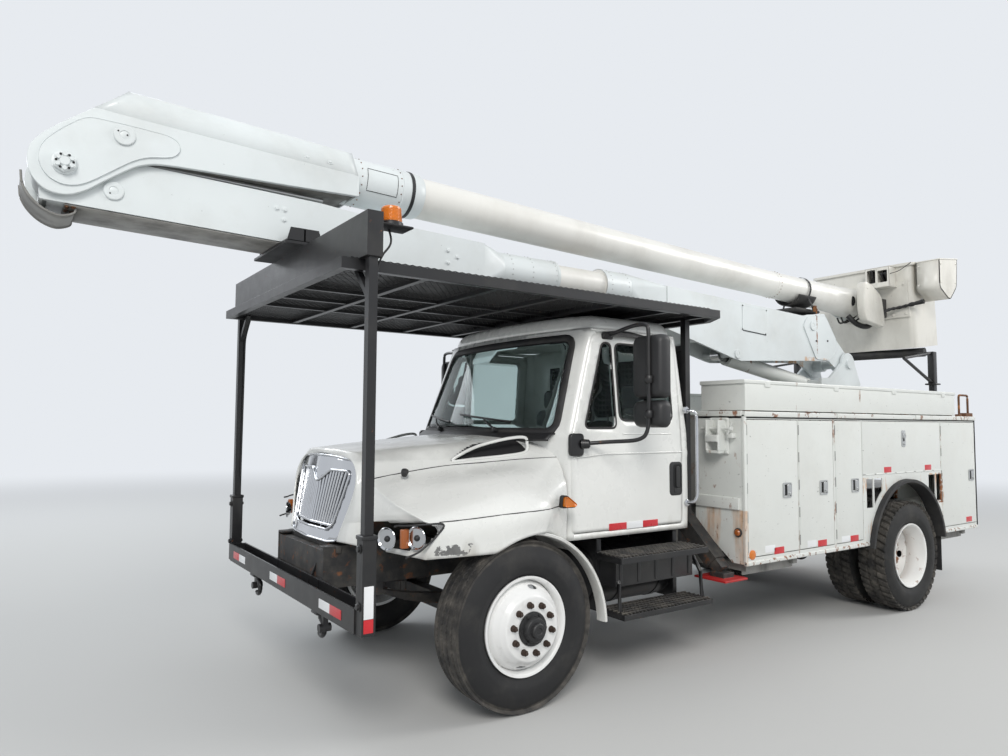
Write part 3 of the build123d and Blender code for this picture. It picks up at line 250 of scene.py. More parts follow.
def plate(outline, origin, xDir, yDir, thick, bevel=0.0):
    # a flat outline given in two directions, thick along their normal, its edge chamfered
    o, xDir, yDir = (np.asarray(k, float) for k in (origin, xDir, yDir))
    n = np.cross(xDir, yDir)
    flat = np.asarray(outline, float)
    mid = flat.mean(axis=0)
    reach = np.linalg.norm(flat - mid, axis=1).max()
    shrunk = mid + (flat - mid) * (1 - bevel / reach)
    levels = [(flat, 0.0), (flat, thick - bevel), (shrunk, thick)] if bevel else [(flat, 0), (flat, thick)]
    rings = [o + k[:, :1] * xDir + k[:, 1:] * yDir + n * h for k, h in levels]
    return lofted(rings)


def sheetOf(outer, holes, origin, xDir, yDir, thick):
    # a flat sheet with openings: filled between its loops, then thickened along its normal
    o, xDir, yDir = (np.asarray(k, float) for k in (origin, xDir, yDir))
    n = np.cross(xDir, yDir)
    work = bmesh.new()
    for loop in (outer, *holes):
        flat = np.asarray(loop, float)
        at = o + flat[:, :1] * xDir + flat[:, 1:] * yDir
        ring = [work.verts.new(p) for p in at]
        for k, vert in enumerate(ring):
            work.edges.new((vert, ring[(k + 1) % len(ring)]))
    bmesh.ops.triangle_fill(work, use_beauty=True, edges=work.edges[:])
    made = bmesh.ops.extrude_face_region(work, geom=work.faces[:])
    lifted = [g for g in made["geom"] if isinstance(g, bmesh.types.BMVert)]
    bmesh.ops.translate(work, verts=lifted, vec=(n * thick).tolist())
    bmesh.ops.recalc_face_normals(work, faces=work.faces)
    work.verts.index_update()
    verts = np.array([v.co for v in work.verts])
    faces = [tuple(v.index for v in f.verts) for f in work.faces]
    work.free()
    return verts, faces


def evenly(loop, step):
    # extra points along each edge of a closed loop, at most a step apart
    out = []
    for p, q in zip(loop, loop[1:] + loop[:1]):
        p, q = np.asarray(p, float), np.asarray(q, float)
        n = max(int(np.ceil(np.linalg.norm(q - p) / step)), 1)
        out.append(p + (q - p) * (np.arange(n) / n)[:, None])
    return np.concatenate(out)


def roundLoop(points, radius, steps=5):
    # a closed polygon whose corners are quadratic arcs
    p = np.asarray(points, float)
    prev, after = np.roll(p, 1, axis=0), np.roll(p, -1, axis=0)
    s = np.linspace(0, 1, steps)[None, :, None]
    reach = lambda q: np.minimum(radius / np.linalg.norm(q - p, axis=1), 0.48)[:, None]
    a, c = p + (prev - p) * reach(prev), p + (after - p) * reach(after)
    out = (1 - s) ** 2 * a[:, None] + 2 * s * (1 - s) * p[:, None] + s ** 2 * c[:, None]
    return [tuple(k) for k in out.reshape(-1, 2).tolist()]


def insetLoop(loop, by):
    # a closed loop moved inwards by a distance, corner by corner
    p = np.asarray(loop, float)
    a, b = p - np.roll(p, 1, axis=0), np.roll(p, -1, axis=0) - p
    keep = np.linalg.norm(a, axis=1) > 1e-7
    p = p[keep]
    a, b = p - np.roll(p, 1, axis=0), np.roll(p, -1, axis=0) - p
    na, nb = (np.stack([-v[:, 1], v[:, 0]], -1) / np.linalg.norm(v, axis=1)[:, None] for v in (a, b))
    m = na + nb
    m /= np.maximum((m * na).sum(axis=1), 0.3)[:, None]
    area = 0.5 * (p[:, 0] * np.roll(p[:, 1], -1) - np.roll(p[:, 0], -1) * p[:, 1]).sum()
    return [tuple(k) for k in (p + m * by * np.sign(area)).tolist()]


def smoothLine(points, steps=6):
    # an open curve through points: cubic between neighbours
    p = np.asarray(points, float)
    q = np.vstack([2 * p[:1] - p[1:2], p, 2 * p[-1:] - p[-2:-1]])
    s = np.linspace(0, 1, steps, endpoint=False)[:, None, None]
    p0, p1, p2, p3 = q[None, :-3], q[None, 1:-2], q[None, 2:-1], q[None, 3:]
    out = 0.5 * (2 * p1 + (p2 - p0) * s + (2 * p0 - 5 * p1 + 4 * p2 - p3) * s ** 2
        + (3 * p1 - p0 - 3 * p2 + p3) * s ** 3)
    return np.vstack([out.transpose(1, 0, 2).reshape(-1, p.shape[1]), p[-1:]])


def insideOf(outline, points):
    # even-odd test of points against an outline, as whole arrays
    a = np.asarray(outline, float)
    b = np.roll(a, -1, axis=0)
    px, pz = points[:, 0, None], points[:, 1, None]
    cross = (a[:, 1] > pz) != (b[:, 1] > pz)
    at = (b[:, 0] - a[:, 0]) * (pz - a[:, 1]) / (b[:, 1] - a[:, 1] + 1e-12) + a[:, 0]
    return (cross & (px < at)).sum(1) % 2 == 1


def sheetOn(surface, outer, holes=(), step=0.04):
    # a sheet with openings bent onto surface(a, b) -> (x, y, z): triangles between evenly
    # spaced points of the loops and of a grid inside them
    loops = [evenly(list(map(tuple, loop)), step) for loop in (outer, *holes)]
    edge = np.concatenate(loops)
    low, high = loops[0].min(axis=0), loops[0].max(axis=0)
    a, b = np.meshgrid(np.arange(low[0] + step / 2, high[0], step), np.arange(low[1] + step / 2, high[1],
        step))
    inner = np.stack([a.ravel(), b.ravel()], -1)
    keep = insideOf(loops[0], inner)
    for loop in loops[1:]:
        keep &= ~insideOf(loop, inner)
    near = np.sqrt(((inner[:, None] - edge[None]) ** 2).sum(-1)).min(axis=1)
    inner = inner[keep & (near > step * 0.45)]
    edges, start = [], 0
    for loop in loops:
        n = len(loop)
        edges += [(start + k, start + (k + 1) % n) for k in range(n)]
        start += n
    points = [Vector(p) for p in np.concatenate([edge, inner]).tolist()]
    verts, _, faces, _, _, _ = delaunay_2d_cdt(points, edges, [], 1, 1e-6)
    flat = np.array([tuple(v) for v in verts])
    tri = np.array([f for f in faces if len(f) == 3])
    mid = flat[tri].mean(axis=1)
    keep = insideOf(loops[0], mid)
    for loop in loops[1:]:
        keep &= ~insideOf(loop, mid)
    return np.asarray(surface(flat[:, 0], flat[:, 1])), [tuple(t) for t in tri[keep].tolist()]


def arcPoints(centre, radius, start, end, steps=24):
    # points of an arc in its own plane, angles in degrees
    a = np.radians(np.linspace(start, end, steps))
    return np.stack([centre[0] + radius * np.cos(a), centre[1] + radius * np.sin(a)], axis=-1)


def mirror(shape):
    # the same shape on the other side, turned the right way out again
    v, f = shape
    return v * [1, -1, 1], [face[::-1] for face in f]


def sided(shape, d):
    # a shape made for the left, d = 1, given for the side d
    return shape if d > 0 else mirror(shape)


def both(shape):
    # a left shape and its mirror image
    return joined([shape, mirror(shape)])


def xzPlate(outline, y, thick, d=1, bevel=0.0):
    # an (x, z) outline standing at y, its thickness outwards
    shape = plate(outline, (axleX, y, 0), (1, 0, 0), (0, 0, 1), -thick, bevel)
    return sided(shape, d)


def piece(name, shape, material, body="chassis", slot=None, replaces=(), smooth=35, bevel=0.0, closed=True):
    # puts a shape, or a list of shapes, into a mesh object that rides on a body; a slot is worked out, the
    # material's usual one unless another is given, but not used
    slot = slot or usualSlot[material.name.split(".")[0]]
    v, f = joined(shape) if isinstance(shape, list) else shape
    mesh = bpy.data.meshes.new(name)
    mesh.from_pydata(np.asarray(v, float).tolist(), [], f)
    mesh.validate()
    if closed:
        work = bmesh.new()
        work.from_mesh(mesh)
        bmesh.ops.recalc_face_normals(work, faces=work.faces)
        work.to_mesh(mesh)
        work.free()
    mesh.materials.append(material)
    obj = bpy.data.objects.new(name, mesh)
    bpy.context.collection.objects.link(obj)
    if bevel:
        tool = obj.modifiers.new("edges", "BEVEL")
        tool.width, tool.segments, tool.limit_method = bevel, 2, "ANGLE"
    mesh.polygons.foreach_set("use_smooth", np.ones(len(mesh.polygons), bool))
    mesh.set_sharp_from_angle(angle=math.radians(smooth))
    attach(obj, body)
    if replaces:
        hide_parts(*replaces)
    return obj


def softened(node, material, width=0.006, angle=28, drop=None, also=(), segments=2):
    # a merged copy of a node's solid with its flats joined and its edges rounded
    source = frame["nodes"][node]
    mesh = source.data.copy()
    mesh.materials.clear()
    mesh.materials.append(material)
    work = bmesh.new()
    work.from_mesh(mesh)
    bmesh.ops.remove_doubles(work, verts=work.verts, dist=2e-5)
    if drop:
        gone = [face for face in work.faces if drop(face.calc_center_median())]
        bmesh.ops.delete(work, geom=gone, context="FACES")
    bmesh.ops.dissolve_limit(work, angle_limit=math.radians(0.6), verts=work.verts, edges=work.edges)
    work.to_mesh(mesh)
    work.free()
    mesh.name = node + "_soft"
    obj = bpy.data.objects.new(node + "_soft", mesh)
    bpy.context.collection.objects.link(obj)
    mesh.polygons.foreach_set("use_smooth", np.ones(len(mesh.polygons), bool))
    if width:
        tool = obj.modifiers.new("edges", "BEVEL")
        tool.width, tool.segments, tool.limit_method = width, segments, "ANGLE"
        tool.angle_limit = math.radians(angle)
        tool.miter_outer = "MITER_ARC"
        tool.harden_normals = True
    mesh.set_sharp_from_angle(angle=math.radians(angle + 10))
    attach(obj, bodyOf[node])
    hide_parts(node, *also)
    return obj


def walled(obj, thickness, offset=-1.0):
    # gives an open surface its wall
    tool = obj.modifiers.new("wall", "SOLIDIFY")
    tool.thickness, tool.offset = thickness, offset
    return obj


def welded(obj, reach):
    # joins corners closer than a reach, so that one wall follows the whole surface
    work = bmesh.new()
    work.from_mesh(obj.data)
    bmesh.ops.remove_doubles(work, verts=work.verts, dist=reach)
    bmesh.ops.recalc_face_normals(work, faces=work.faces)
    work.to_mesh(obj.data)
    work.free()
    return obj


bodyOf = {node: body for body, nodes in frame["record"]["behaviour"]["bodies"].items() for node in nodes}
print("helpers ready")


# Shared effects, each a node group with its own values in every material

def given(tree, node, values):
    # each input named in values is linked to a socket or given a value
    for key, value in values.items():
        if isinstance(value, bpy.types.NodeSocket):
            tree.links.new(value, node.inputs[key])
        else:
            node.inputs[key].default_value = value
    return node


def nodeIn(tree, kind, values, **settings):
    # a new shader node with its settings and inputs
    node = tree.nodes.new("ShaderNode" + kind)
    for name, value in settings.items():
        setattr(node, name, value)
    return given(tree, node, values)


def mathIn(tree, operation, *values):
    # the result of one operation on values or sockets
    return nodeIn(tree, "Math", dict(enumerate(values)), operation=operation).outputs[0]


def placeGroup(tree, group, **values):
    # the one output of a group that is given named values or sockets
    return nodeIn(tree, "Group", values, node_tree=group).outputs[0]


def groupOf(name, inputs, output, kind):
    # an empty group with its sockets, and its two ends
    g = bpy.data.node_groups.new(name, "ShaderNodeTree")
    for key, (socket, value) in inputs.items():
        s = g.interface.new_socket(key, in_out="INPUT", socket_type="NodeSocket" + socket)
        if value is not None:
            s.default_value = value
    g.interface.new_socket(output, in_out="OUTPUT", socket_type="NodeSocket" + kind)
    return g, g.nodes.new("NodeGroupInput"), g.nodes.new("NodeGroupOutput")


def makePatches():
    # a stain's patches: stretched noise cut off at 1 - amount, with a soft edge, times the region
    g, ins, outs = groupOf("patches", {"Vector": ("Vector", None), "Scale": ("Float", 5.0),
        "Stretch": ("Float", 1.0), "Amount": ("Float", 0.3), "Soft": ("Float", 0.1),
        "Region": ("Float", 1.0)}, "Mask", "Float")
    ends = ins.outputs
    pull = nodeIn(g, "CombineXYZ", {0: 1, 1: 1, 2: ends["Stretch"]})
    place = nodeIn(g, "VectorMath", {0: ends["Vector"], 1: pull.outputs[0]}, operation="MULTIPLY")
    noise = nodeIn(g, "TexNoise", {"Vector": place.outputs[0], "Scale": ends["Scale"], "Detail": 6,
        "Roughness": 0.62})
    start = mathIn(g, "SUBTRACT", 1, mathIn(g, "MULTIPLY", ends["Amount"], ends["Region"]))
    end = mathIn(g, "ADD", start, ends["Soft"])
    ramp = nodeIn(g, "MapRange", {"Value": noise.outputs["Fac"], "From Min": start, "From Max": end})
    g.links.new(mathIn(g, "MULTIPLY", ramp.outputs[0], ends["Region"]), outs.inputs["Mask"])
    return g


def makeTone():
    # a colour times a noise that runs from 1 - drift to 1 + drift
    g, ins, outs = groupOf("tone", {"Vector": ("Vector", None), "Color": ("Color", (0.8, 0.8, 0.8, 1)),
        "Scale": ("Float", 1.5), "Drift": ("Float", 0.05)}, "Color", "Color")
    ends = ins.outputs
    noise = nodeIn(g, "TexNoise", {"Vector": ends["Vector"], "Scale": ends["Scale"], "Detail": 5})
    span = nodeIn(g, "MapRange", {"Value": noise.outputs["Fac"], "From Min": 0.3, "From Max": 0.7,
        "To Min": mathIn(g, "SUBTRACT", 1, ends["Drift"]), "To Max": mathIn(g, "ADD", 1, ends["Drift"])})
    tinted = nodeIn(g, "VectorMath", {0: ends["Color"], "Scale": span.outputs[0]}, operation="SCALE")
    g.links.new(tinted.outputs[0], outs.inputs["Color"])
    return g


def makeGrain():
    # a fine height for bumps: two noises added, the coarse one at 0.12 of the scale
    g, ins, outs = groupOf("grain", {"Vector": ("Vector", None), "Scale": ("Float", 60.0)}, "Height", "Float")
    ends = ins.outputs
    fine = nodeIn(g, "TexNoise", {"Vector": ends["Vector"], "Scale": ends["Scale"], "Detail": 3})
    coarse = nodeIn(g, "TexNoise", {"Vector": ends["Vector"], "Scale": mathIn(g, "MULTIPLY", ends["Scale"],
        0.12)})
    g.links.new(mathIn(g, "ADD", fine.outputs["Fac"], coarse.outputs["Fac"]), outs.inputs["Height"])
    return g


patches, tone, grain = makePatches(), makeTone(), makeGrain()


def regionField(tree, axes, region):
    # 1 inside every named span and fading to 0 within its soft edge
    names = ("Value", "From Min", "From Max", "To Min", "To Max")
    field = None
    for axis, low, high, soft in region:
        for span in ((low - soft, low, 0, 1), (high, high + soft, 1, 0)):
            ramp = nodeIn(tree, "MapRange", dict(zip(names, (axes[axis], *span)))).outputs[0]
            field = ramp if field is None else mathIn(tree, "MULTIPLY", field, ramp)
    return field


def axesOf(tree, coord, hub):
    # x, y, z, the distance w from the middle plane and r from the wheel's axis
    split = nodeIn(tree, "SeparateXYZ", {0: coord}).outputs
    axes = {"x": split[0], "y": split[1], "z": split[2], "w": mathIn(tree, "ABSOLUTE", split[1])}
    if hub:
        shift = nodeIn(tree, "VectorMath", {0: coord, 1: (hub[0], 0, hub[1])}, operation="SUBTRACT")
        flat = nodeIn(tree, "VectorMath", {0: shift.outputs[0], 1: (1, 0, 1)}, operation="MULTIPLY")
        axes["r"] = nodeIn(tree, "VectorMath", {0: flat.outputs[0]}, operation="LENGTH").outputs["Value"]
    return axes


def stain(color, scale, amount, soft, strength, stretch=1.0, rough=0.8, region=()):
    # a layer of dirt or rust: the colour, its patches, how much it covers and how rough it is
    return {"color": color, "strength": strength, "rough": rough, "region": region,
        "patches": {"Scale": scale, "Stretch": stretch, "Amount": amount, "Soft": soft}}


def finish(name, color, rough=0.4, metallic=0.0, coat=0.0, drift=0.04, driftScale=1.6, stains=(), bump=0.0,
        bumpScale=60.0, hub=None, transmission=0.0, ior=1.5, roughDrift=0.08, sheen=0.0):
    # a surface: drifting base colour, stains laid over in turn, matching roughness and a fine bump
    mat = bpy.data.materials.new(name)
    mat.use_nodes = True
    tree = mat.node_tree
    coord = tree.nodes.new("ShaderNodeTexCoord").outputs["Object"]
    axes = axesOf(tree, coord, hub)
    shade = placeGroup(tree, tone, Vector=coord, Color=(*color, 1), Scale=driftScale, Drift=drift)
    wear = nodeIn(tree, "TexNoise", {"Vector": coord, "Scale": driftScale * 6, "Detail": 5})
    dull = nodeIn(tree, "MapRange", {"Value": wear.outputs["Fac"], "To Min": max(rough - roughDrift, 0.02),
        "To Max": min(rough + roughDrift, 1)}).outputs[0]
    for layer in stains:
        values = dict(layer["patches"], Vector=coord)
        if layer["region"]:
            values["Region"] = regionField(tree, axes, layer["region"])
        power = mathIn(tree, "MULTIPLY", placeGroup(tree, patches, **values), layer["strength"])
        over = placeGroup(tree, tone, Vector=coord, Color=(*layer["color"], 1), Scale=14.0, Drift=0.35)
        shade = nodeIn(tree, "Mix", {"Factor": power, "A": shade, "B": over},
            data_type="RGBA").outputs["Result"]
        dull = nodeIn(tree, "Mix", {"Factor": power, "A": dull, "B": layer["rough"]}).outputs["Result"]
    values = {"Base Color": shade, "Roughness": dull, "Metallic": metallic, "Coat Weight": coat,
        "Coat Roughness": 0.12, "Transmission Weight": transmission, "IOR": ior, "Sheen Weight": sheen}
    if bump:
        height = placeGroup(tree, grain, Vector=coord, Scale=bumpScale)
        relief = nodeIn(tree, "Bump", {"Strength": bump, "Distance": 0.002, "Height": height})
        values["Normal"] = relief.outputs["Normal"]
    given(tree, tree.nodes["Principled BSDF"], values)
    return mat


rust = (0.22, 0.075, 0.022)
rustPale = (0.50, 0.24, 0.075)
grime = (0.30, 0.27, 0.22)
dust = (0.20, 0.18, 0.15)
soot = (0.05, 0.048, 0.045)

archX = axleX - 4.415
partitions = (-2.692, -3.210, -3.655, -5.113)

cabStains = [stain(grime, 1.3, 0.52, 0.35, 0.16), stain(soot, 60, 0.30, 0.04, 0.35),
    stain(grime, 7, 0.62, 0.3, 0.5, stretch=0.3, region=[("z", 0.3, 0.98, 0.25)]),
    stain((0.09, 0.09, 0.09), 15, 0.54, 0.02, 0.9, region=[("x", axleX + 0.40, axleX + 0.60, 0.09),
    ("z", 0.985, 1.035, 0.04), ("w", 1.02, 1.3, 0.02)]), stain(soot, 3.2, 0.62, 0.3, 0.28,
    region=[("x", axleX + 0.1, axleX + 0.9, 0.3), ("z", 1.5, 1.75, 0.06)]),]
packStains = [stain(grime, 1.6, 0.52, 0.3, 0.22), stain(soot, 26, 0.33, 0.03, 0.5, stretch=2.2),
    stain(rustPale, 7, 0.56, 0.2, 0.9, stretch=0.14, region=[("x", bodyFront - 0.035, bodyFront + 0.1, 0.01),
    ("z", 0.66, 1.08, 0.03)]), stain(rust, 11, 0.42, 0.06, 0.9, region=[("z", 1.795, 1.85, 0.02)]),
    stain(rust, 15, 0.38, 0.08, 0.85, stretch=0.5, region=[("x", bodyFront - 0.02, bodyFront + 0.1, 0.02)]),
    stain(rustPale, 12, 0.43, 0.12, 0.85, stretch=0.3, region=[("x", archX - 0.74, archX + 0.76, 0.02),
    ("z", 0.66, 1.27, 0.02)]), stain(rust, 22, 0.46, 0.06, 0.9, region=[("z", 0.67, 0.70, 0.015)]),
    stain(rust, 30, 0.6, 0.05, 1.0, region=[("x", archX - 0.72, archX - 0.60, 0.01),
    ("z", 0.98, 1.26, 0.02)]),]
packStains += [stain(rust, 16, 0.44, 0.08, 0.85, stretch=0.35,
    region=[("x", axleX + x - 0.014, axleX + x + 0.014, 0.012)]) for x in partitions]
boomStains = [stain(grime, 1.4, 0.55, 0.3, 0.25), stain(soot, 30, 0.30, 0.03, 0.45),
    stain(rustPale, 9, 0.52, 0.14, 0.85, stretch=0.4, region=[("x", axleX - 4.95, axleX - 4.42, 0.08),
    ("z", 2.36, 2.47, 0.04)]), stain(rust, 20, 0.55, 0.1, 0.9,
    region=[("x", axleX - 4.652, axleX - 4.634, 0.012), ("z", 2.52, 3.0, 0.03)]),]

cabPaint = finish("cabPaint", (0.76, 0.765, 0.74), 0.28, coat=0.5, stains=cabStains, bump=0.04, bumpScale=9)
packPaint = finish("packPaint", (0.70, 0.715, 0.685), 0.42, coat=0.15, stains=packStains, bump=0.08,
    bumpScale=14)
boomPaint = finish("boomPaint", (0.68, 0.72, 0.725), 0.38, coat=0.2, stains=boomStains, bump=0.05,
    bumpScale=20)
tubePaint = finish("tubePaint", (0.76, 0.75, 0.71), 0.35, coat=0.25, bump=0.03, bumpScale=16, stains=[
    stain(grime, 2.0, 0.56, 0.3, 0.3, stretch=0.6),
    stain(soot, 18, 0.30, 0.05, 0.4, stretch=0.4)])
bucketShell = finish("bucketShell", (0.74, 0.72, 0.66), 0.36, coat=0.2, bump=0.05, bumpScale=22, stains=[
    stain(grime, 3.0, 0.56, 0.3, 0.4, stretch=0.4),
    stain(soot, 26, 0.32, 0.04, 0.6)])
blackPaint = finish("blackPaint", (0.010, 0.010, 0.011), 0.40, coat=0.1, bump=0.12, bumpScale=40, stains=[
    stain(dust, 4, 0.5, 0.4, 0.10),
    stain(rust, 24, 0.32, 0.05, 0.7)])
nutSteel = finish("nutSteel", (0.05, 0.032, 0.024), 0.6, metallic=0.3, bump=0.1, bumpScale=60)
underGrey = finish("underGrey", (0.27, 0.265, 0.25), 0.55, bump=0.12, bumpScale=30, stains=[
    stain(soot, 5, 0.55, 0.25, 0.6, stretch=0.3),
    stain(dust, 3, 0.45, 0.3, 0.5)])
chassisBlack = finish("chassisBlack", (0.02, 0.02, 0.021), 0.6, bump=0.2, bumpScale=50, stains=[
    stain(dust, 6, 0.58, 0.3, 0.35),
    stain(rust, 18, 0.42, 0.1, 0.6)])
rubberBlack = finish("rubberBlack", (0.022, 0.022, 0.023), 0.7, bump=0.12, bumpScale=60, stains=[
    stain(dust, 5, 0.55, 0.35, 0.2)])
plasticBlack = finish("plasticBlack", (0.018, 0.018, 0.019), 0.48, bump=0.25, bumpScale=220)
hoseBlack = finish("hoseBlack", (0.015, 0.015, 0.016), 0.55, bump=0.1, bumpScale=90)
# near-black for seams, frit and dark joints, and for painted shade filling recesses, holes, openings and
# hollow insides
gapBlack = finish("gapBlack", (0.006, 0.006, 0.007), 0.8)
chrome = finish("chrome", (0.55, 0.56, 0.58), 0.10, metallic=1.0, roughDrift=0.05, driftScale=4, stains=[
    stain((0.25, 0.24, 0.22), 7, 0.38, 0.2, 0.4, rough=0.35)])
zinc = finish("zinc", (0.52, 0.53, 0.53), 0.34, metallic=0.9, bump=0.1, bumpScale=120)
rodSteel = finish("rodSteel", (0.62, 0.62, 0.62), 0.16, metallic=1.0)
rustSteel = finish("rustSteel", (0.12, 0.055, 0.028), 0.85, bump=0.5, bumpScale=70, drift=0.3, stains=[
    stain((0.32, 0.13, 0.04), 14, 0.5, 0.15, 0.9),
    stain(soot, 9, 0.42, 0.1, 0.8)])
padRed = finish("padRed", (0.42, 0.018, 0.018), 0.5, bump=0.2, bumpScale=40, stains=[
    stain(soot, 13, 0.42, 0.08, 0.8)])
ironCast = finish("ironCast", (0.045, 0.043, 0.04), 0.75, bump=0.5, bumpScale=60, stains=[
    stain(rust, 7, 0.45, 0.2, 0.6)])
amber = finish("amber", (0.80, 0.22, 0.015), 0.22, transmission=0.25, coat=0.4)
amberDark = finish("amberDark", (0.36, 0.10, 0.02), 0.3, coat=0.3)
lampRed = finish("lampRed", (0.5, 0.015, 0.012), 0.2, coat=0.4)
windowGlass = finish("windowGlass", (0.62, 0.70, 0.69), 0.03, transmission=1.0, ior=1.12, roughDrift=0.01)
# the lamp's lens lets lamp light through as well as sight: alpha 0.18, the rest is gloss
lampLens = finish("lampLens", (0.93, 0.94, 0.95), 0.04, coat=0.6, roughDrift=0.02)
lampLens.node_tree.nodes["Principled BSDF"].inputs["Alpha"].default_value = 0.18
# the lamp's reflector as a pale, mostly diffuse grey instead of mirror metal: partly a painted reflection, so
# it stays light behind the lens
lampBowl = finish("lampBowl", (0.52, 0.53, 0.53), 0.22, metallic=0.25, coat=0.4)
tapeWhite = finish("tapeWhite", (0.78, 0.79, 0.8), 0.3, coat=0.3, bump=0.2, bumpScale=400)
tapeRed = finish("tapeRed", (0.56, 0.012, 0.02), 0.3, coat=0.3, bump=0.2, bumpScale=400)
seatCloth = finish("seatCloth", (0.085, 0.085, 0.09), 0.9, sheen=0.3, bump=0.6, bumpScale=500)
dashPlastic = finish("dashPlastic", (0.10, 0.10, 0.105), 0.6, bump=0.3, bumpScale=260)
stepPlate = finish("stepPlate", (0.035, 0.034, 0.033), 0.55, bump=0.4, bumpScale=60, stains=[
    stain(dust, 8, 0.6, 0.3, 0.45)])
galvanised = finish("galvanised", (0.30, 0.30, 0.29), 0.55, metallic=0.5, bump=0.2, bumpScale=60, stains=[
    stain(rust, 9, 0.42, 0.15, 0.7)])
mirrorGlass = finish("mirrorGlass", (0.75, 0.76, 0.77), 0.03, metallic=1.0, roughDrift=0.01)
tyreStains = [
    stain((0.15, 0.135, 0.115), 7, 0.66, 0.35, 0.55, region=[("r", 0.478, 0.6, 0.02)]),
    stain((0.10, 0.092, 0.08), 5, 0.52, 0.3, 0.25)]
tyreFront = finish("tyreFront", (0.011, 0.011, 0.012), 0.72, bump=0.15, bumpScale=90, hub=(axleX, wheelZ),
    stains=tyreStains)
tyreRear = finish("tyreRear", (0.013, 0.013, 0.013), 0.75, bump=0.15, bumpScale=90, hub=(rearAxleX, wheelZ),
    stains=tyreStains)
rimFront = finish("rimFront", (0.80, 0.80, 0.79), 0.34, coat=0.3, hub=(axleX, wheelZ), stains=[
    stain(grime, 9, 0.42, 0.2, 0.3)])
rimRear = finish("rimRear", (0.78, 0.78, 0.76), 0.4, hub=(rearAxleX, wheelZ), stains=[
    stain(rustPale, 10, 0.95, 0.4, 0.95, region=[("r", 0.0, 0.195, 0.02)]),
    stain(rust, 30, 0.62, 0.12, 0.95, region=[("r", 0.0, 0.225, 0.02)]),
    stain(rust, 16, 0.40, 0.1, 0.8)])
# the frame's slot that each surface usually belongs to
usualSlot = {name: slot for slot, names in {
    "white_paint": "cabPaint packPaint",
    "boom_paint": "boomPaint underGrey zinc",
    "insulated_boom": "tubePaint",
    "bucket_plastic": "bucketShell",
    "black_paint": "blackPaint tapeWhite tapeRed stepPlate",
    "rim_paint": "nutSteel rimRear",
    "cast_iron": "chassisBlack ironCast",
    "rubber": "rubberBlack gapBlack",
    "trim_grey": "plasticBlack hoseBlack seatCloth dashPlastic",
    "chrome": "chrome mirrorGlass",
    "bright_steel": "rustSteel",
    "amber": "amber amberDark lampRed",
    "glass": "windowGlass",
    "mesh_steel": "galvanised",
    "tyre": "tyreFront tyreRear",
}.items() for name in names.split()}
print("materials ready")


# Camera at the photograph's view, fitted on the wheels and the body's edges
cameraView = {
    "place": (axleX + 2.66366, 4.72136, 1.73071),
    "heading": -124.807,
    "tilt": 3.611,
    "roll": -0.356,
    "lens": 25.91,
    "sensor": 36.0,
}


def makeCamera(v):
    # axes from heading and tilt, then turned about the view line by the roll
    h, t, r = (math.radians(v[k]) for k in ("heading", "tilt", "roll"))
    ahead = Vector((math.cos(h) * math.cos(t), math.sin(h) * math.cos(t), math.sin(t)))
    right = Vector((math.sin(h), -math.cos(h), 0))
    down = ahead.cross(right)
    rightTurned = math.cos(r) * right + math.sin(r) * down
    downTurned = math.cos(r) * down - math.sin(r) * right
    data = bpy.data.cameras.new("photoCamera")
    data.sensor_width, data.lens = v["sensor"], v["lens"]
    data.clip_start, data.clip_end = 0.05, 400
    cam = bpy.data.objects.new("photoCamera", data)
    bpy.context.collection.objects.link(cam)
    cam.matrix_world = Matrix.Translation(v["place"]) @ Matrix((rightTurned, -downTurned,
        -ahead)).transposed().to_4x4()
    bpy.context.scene.camera = cam


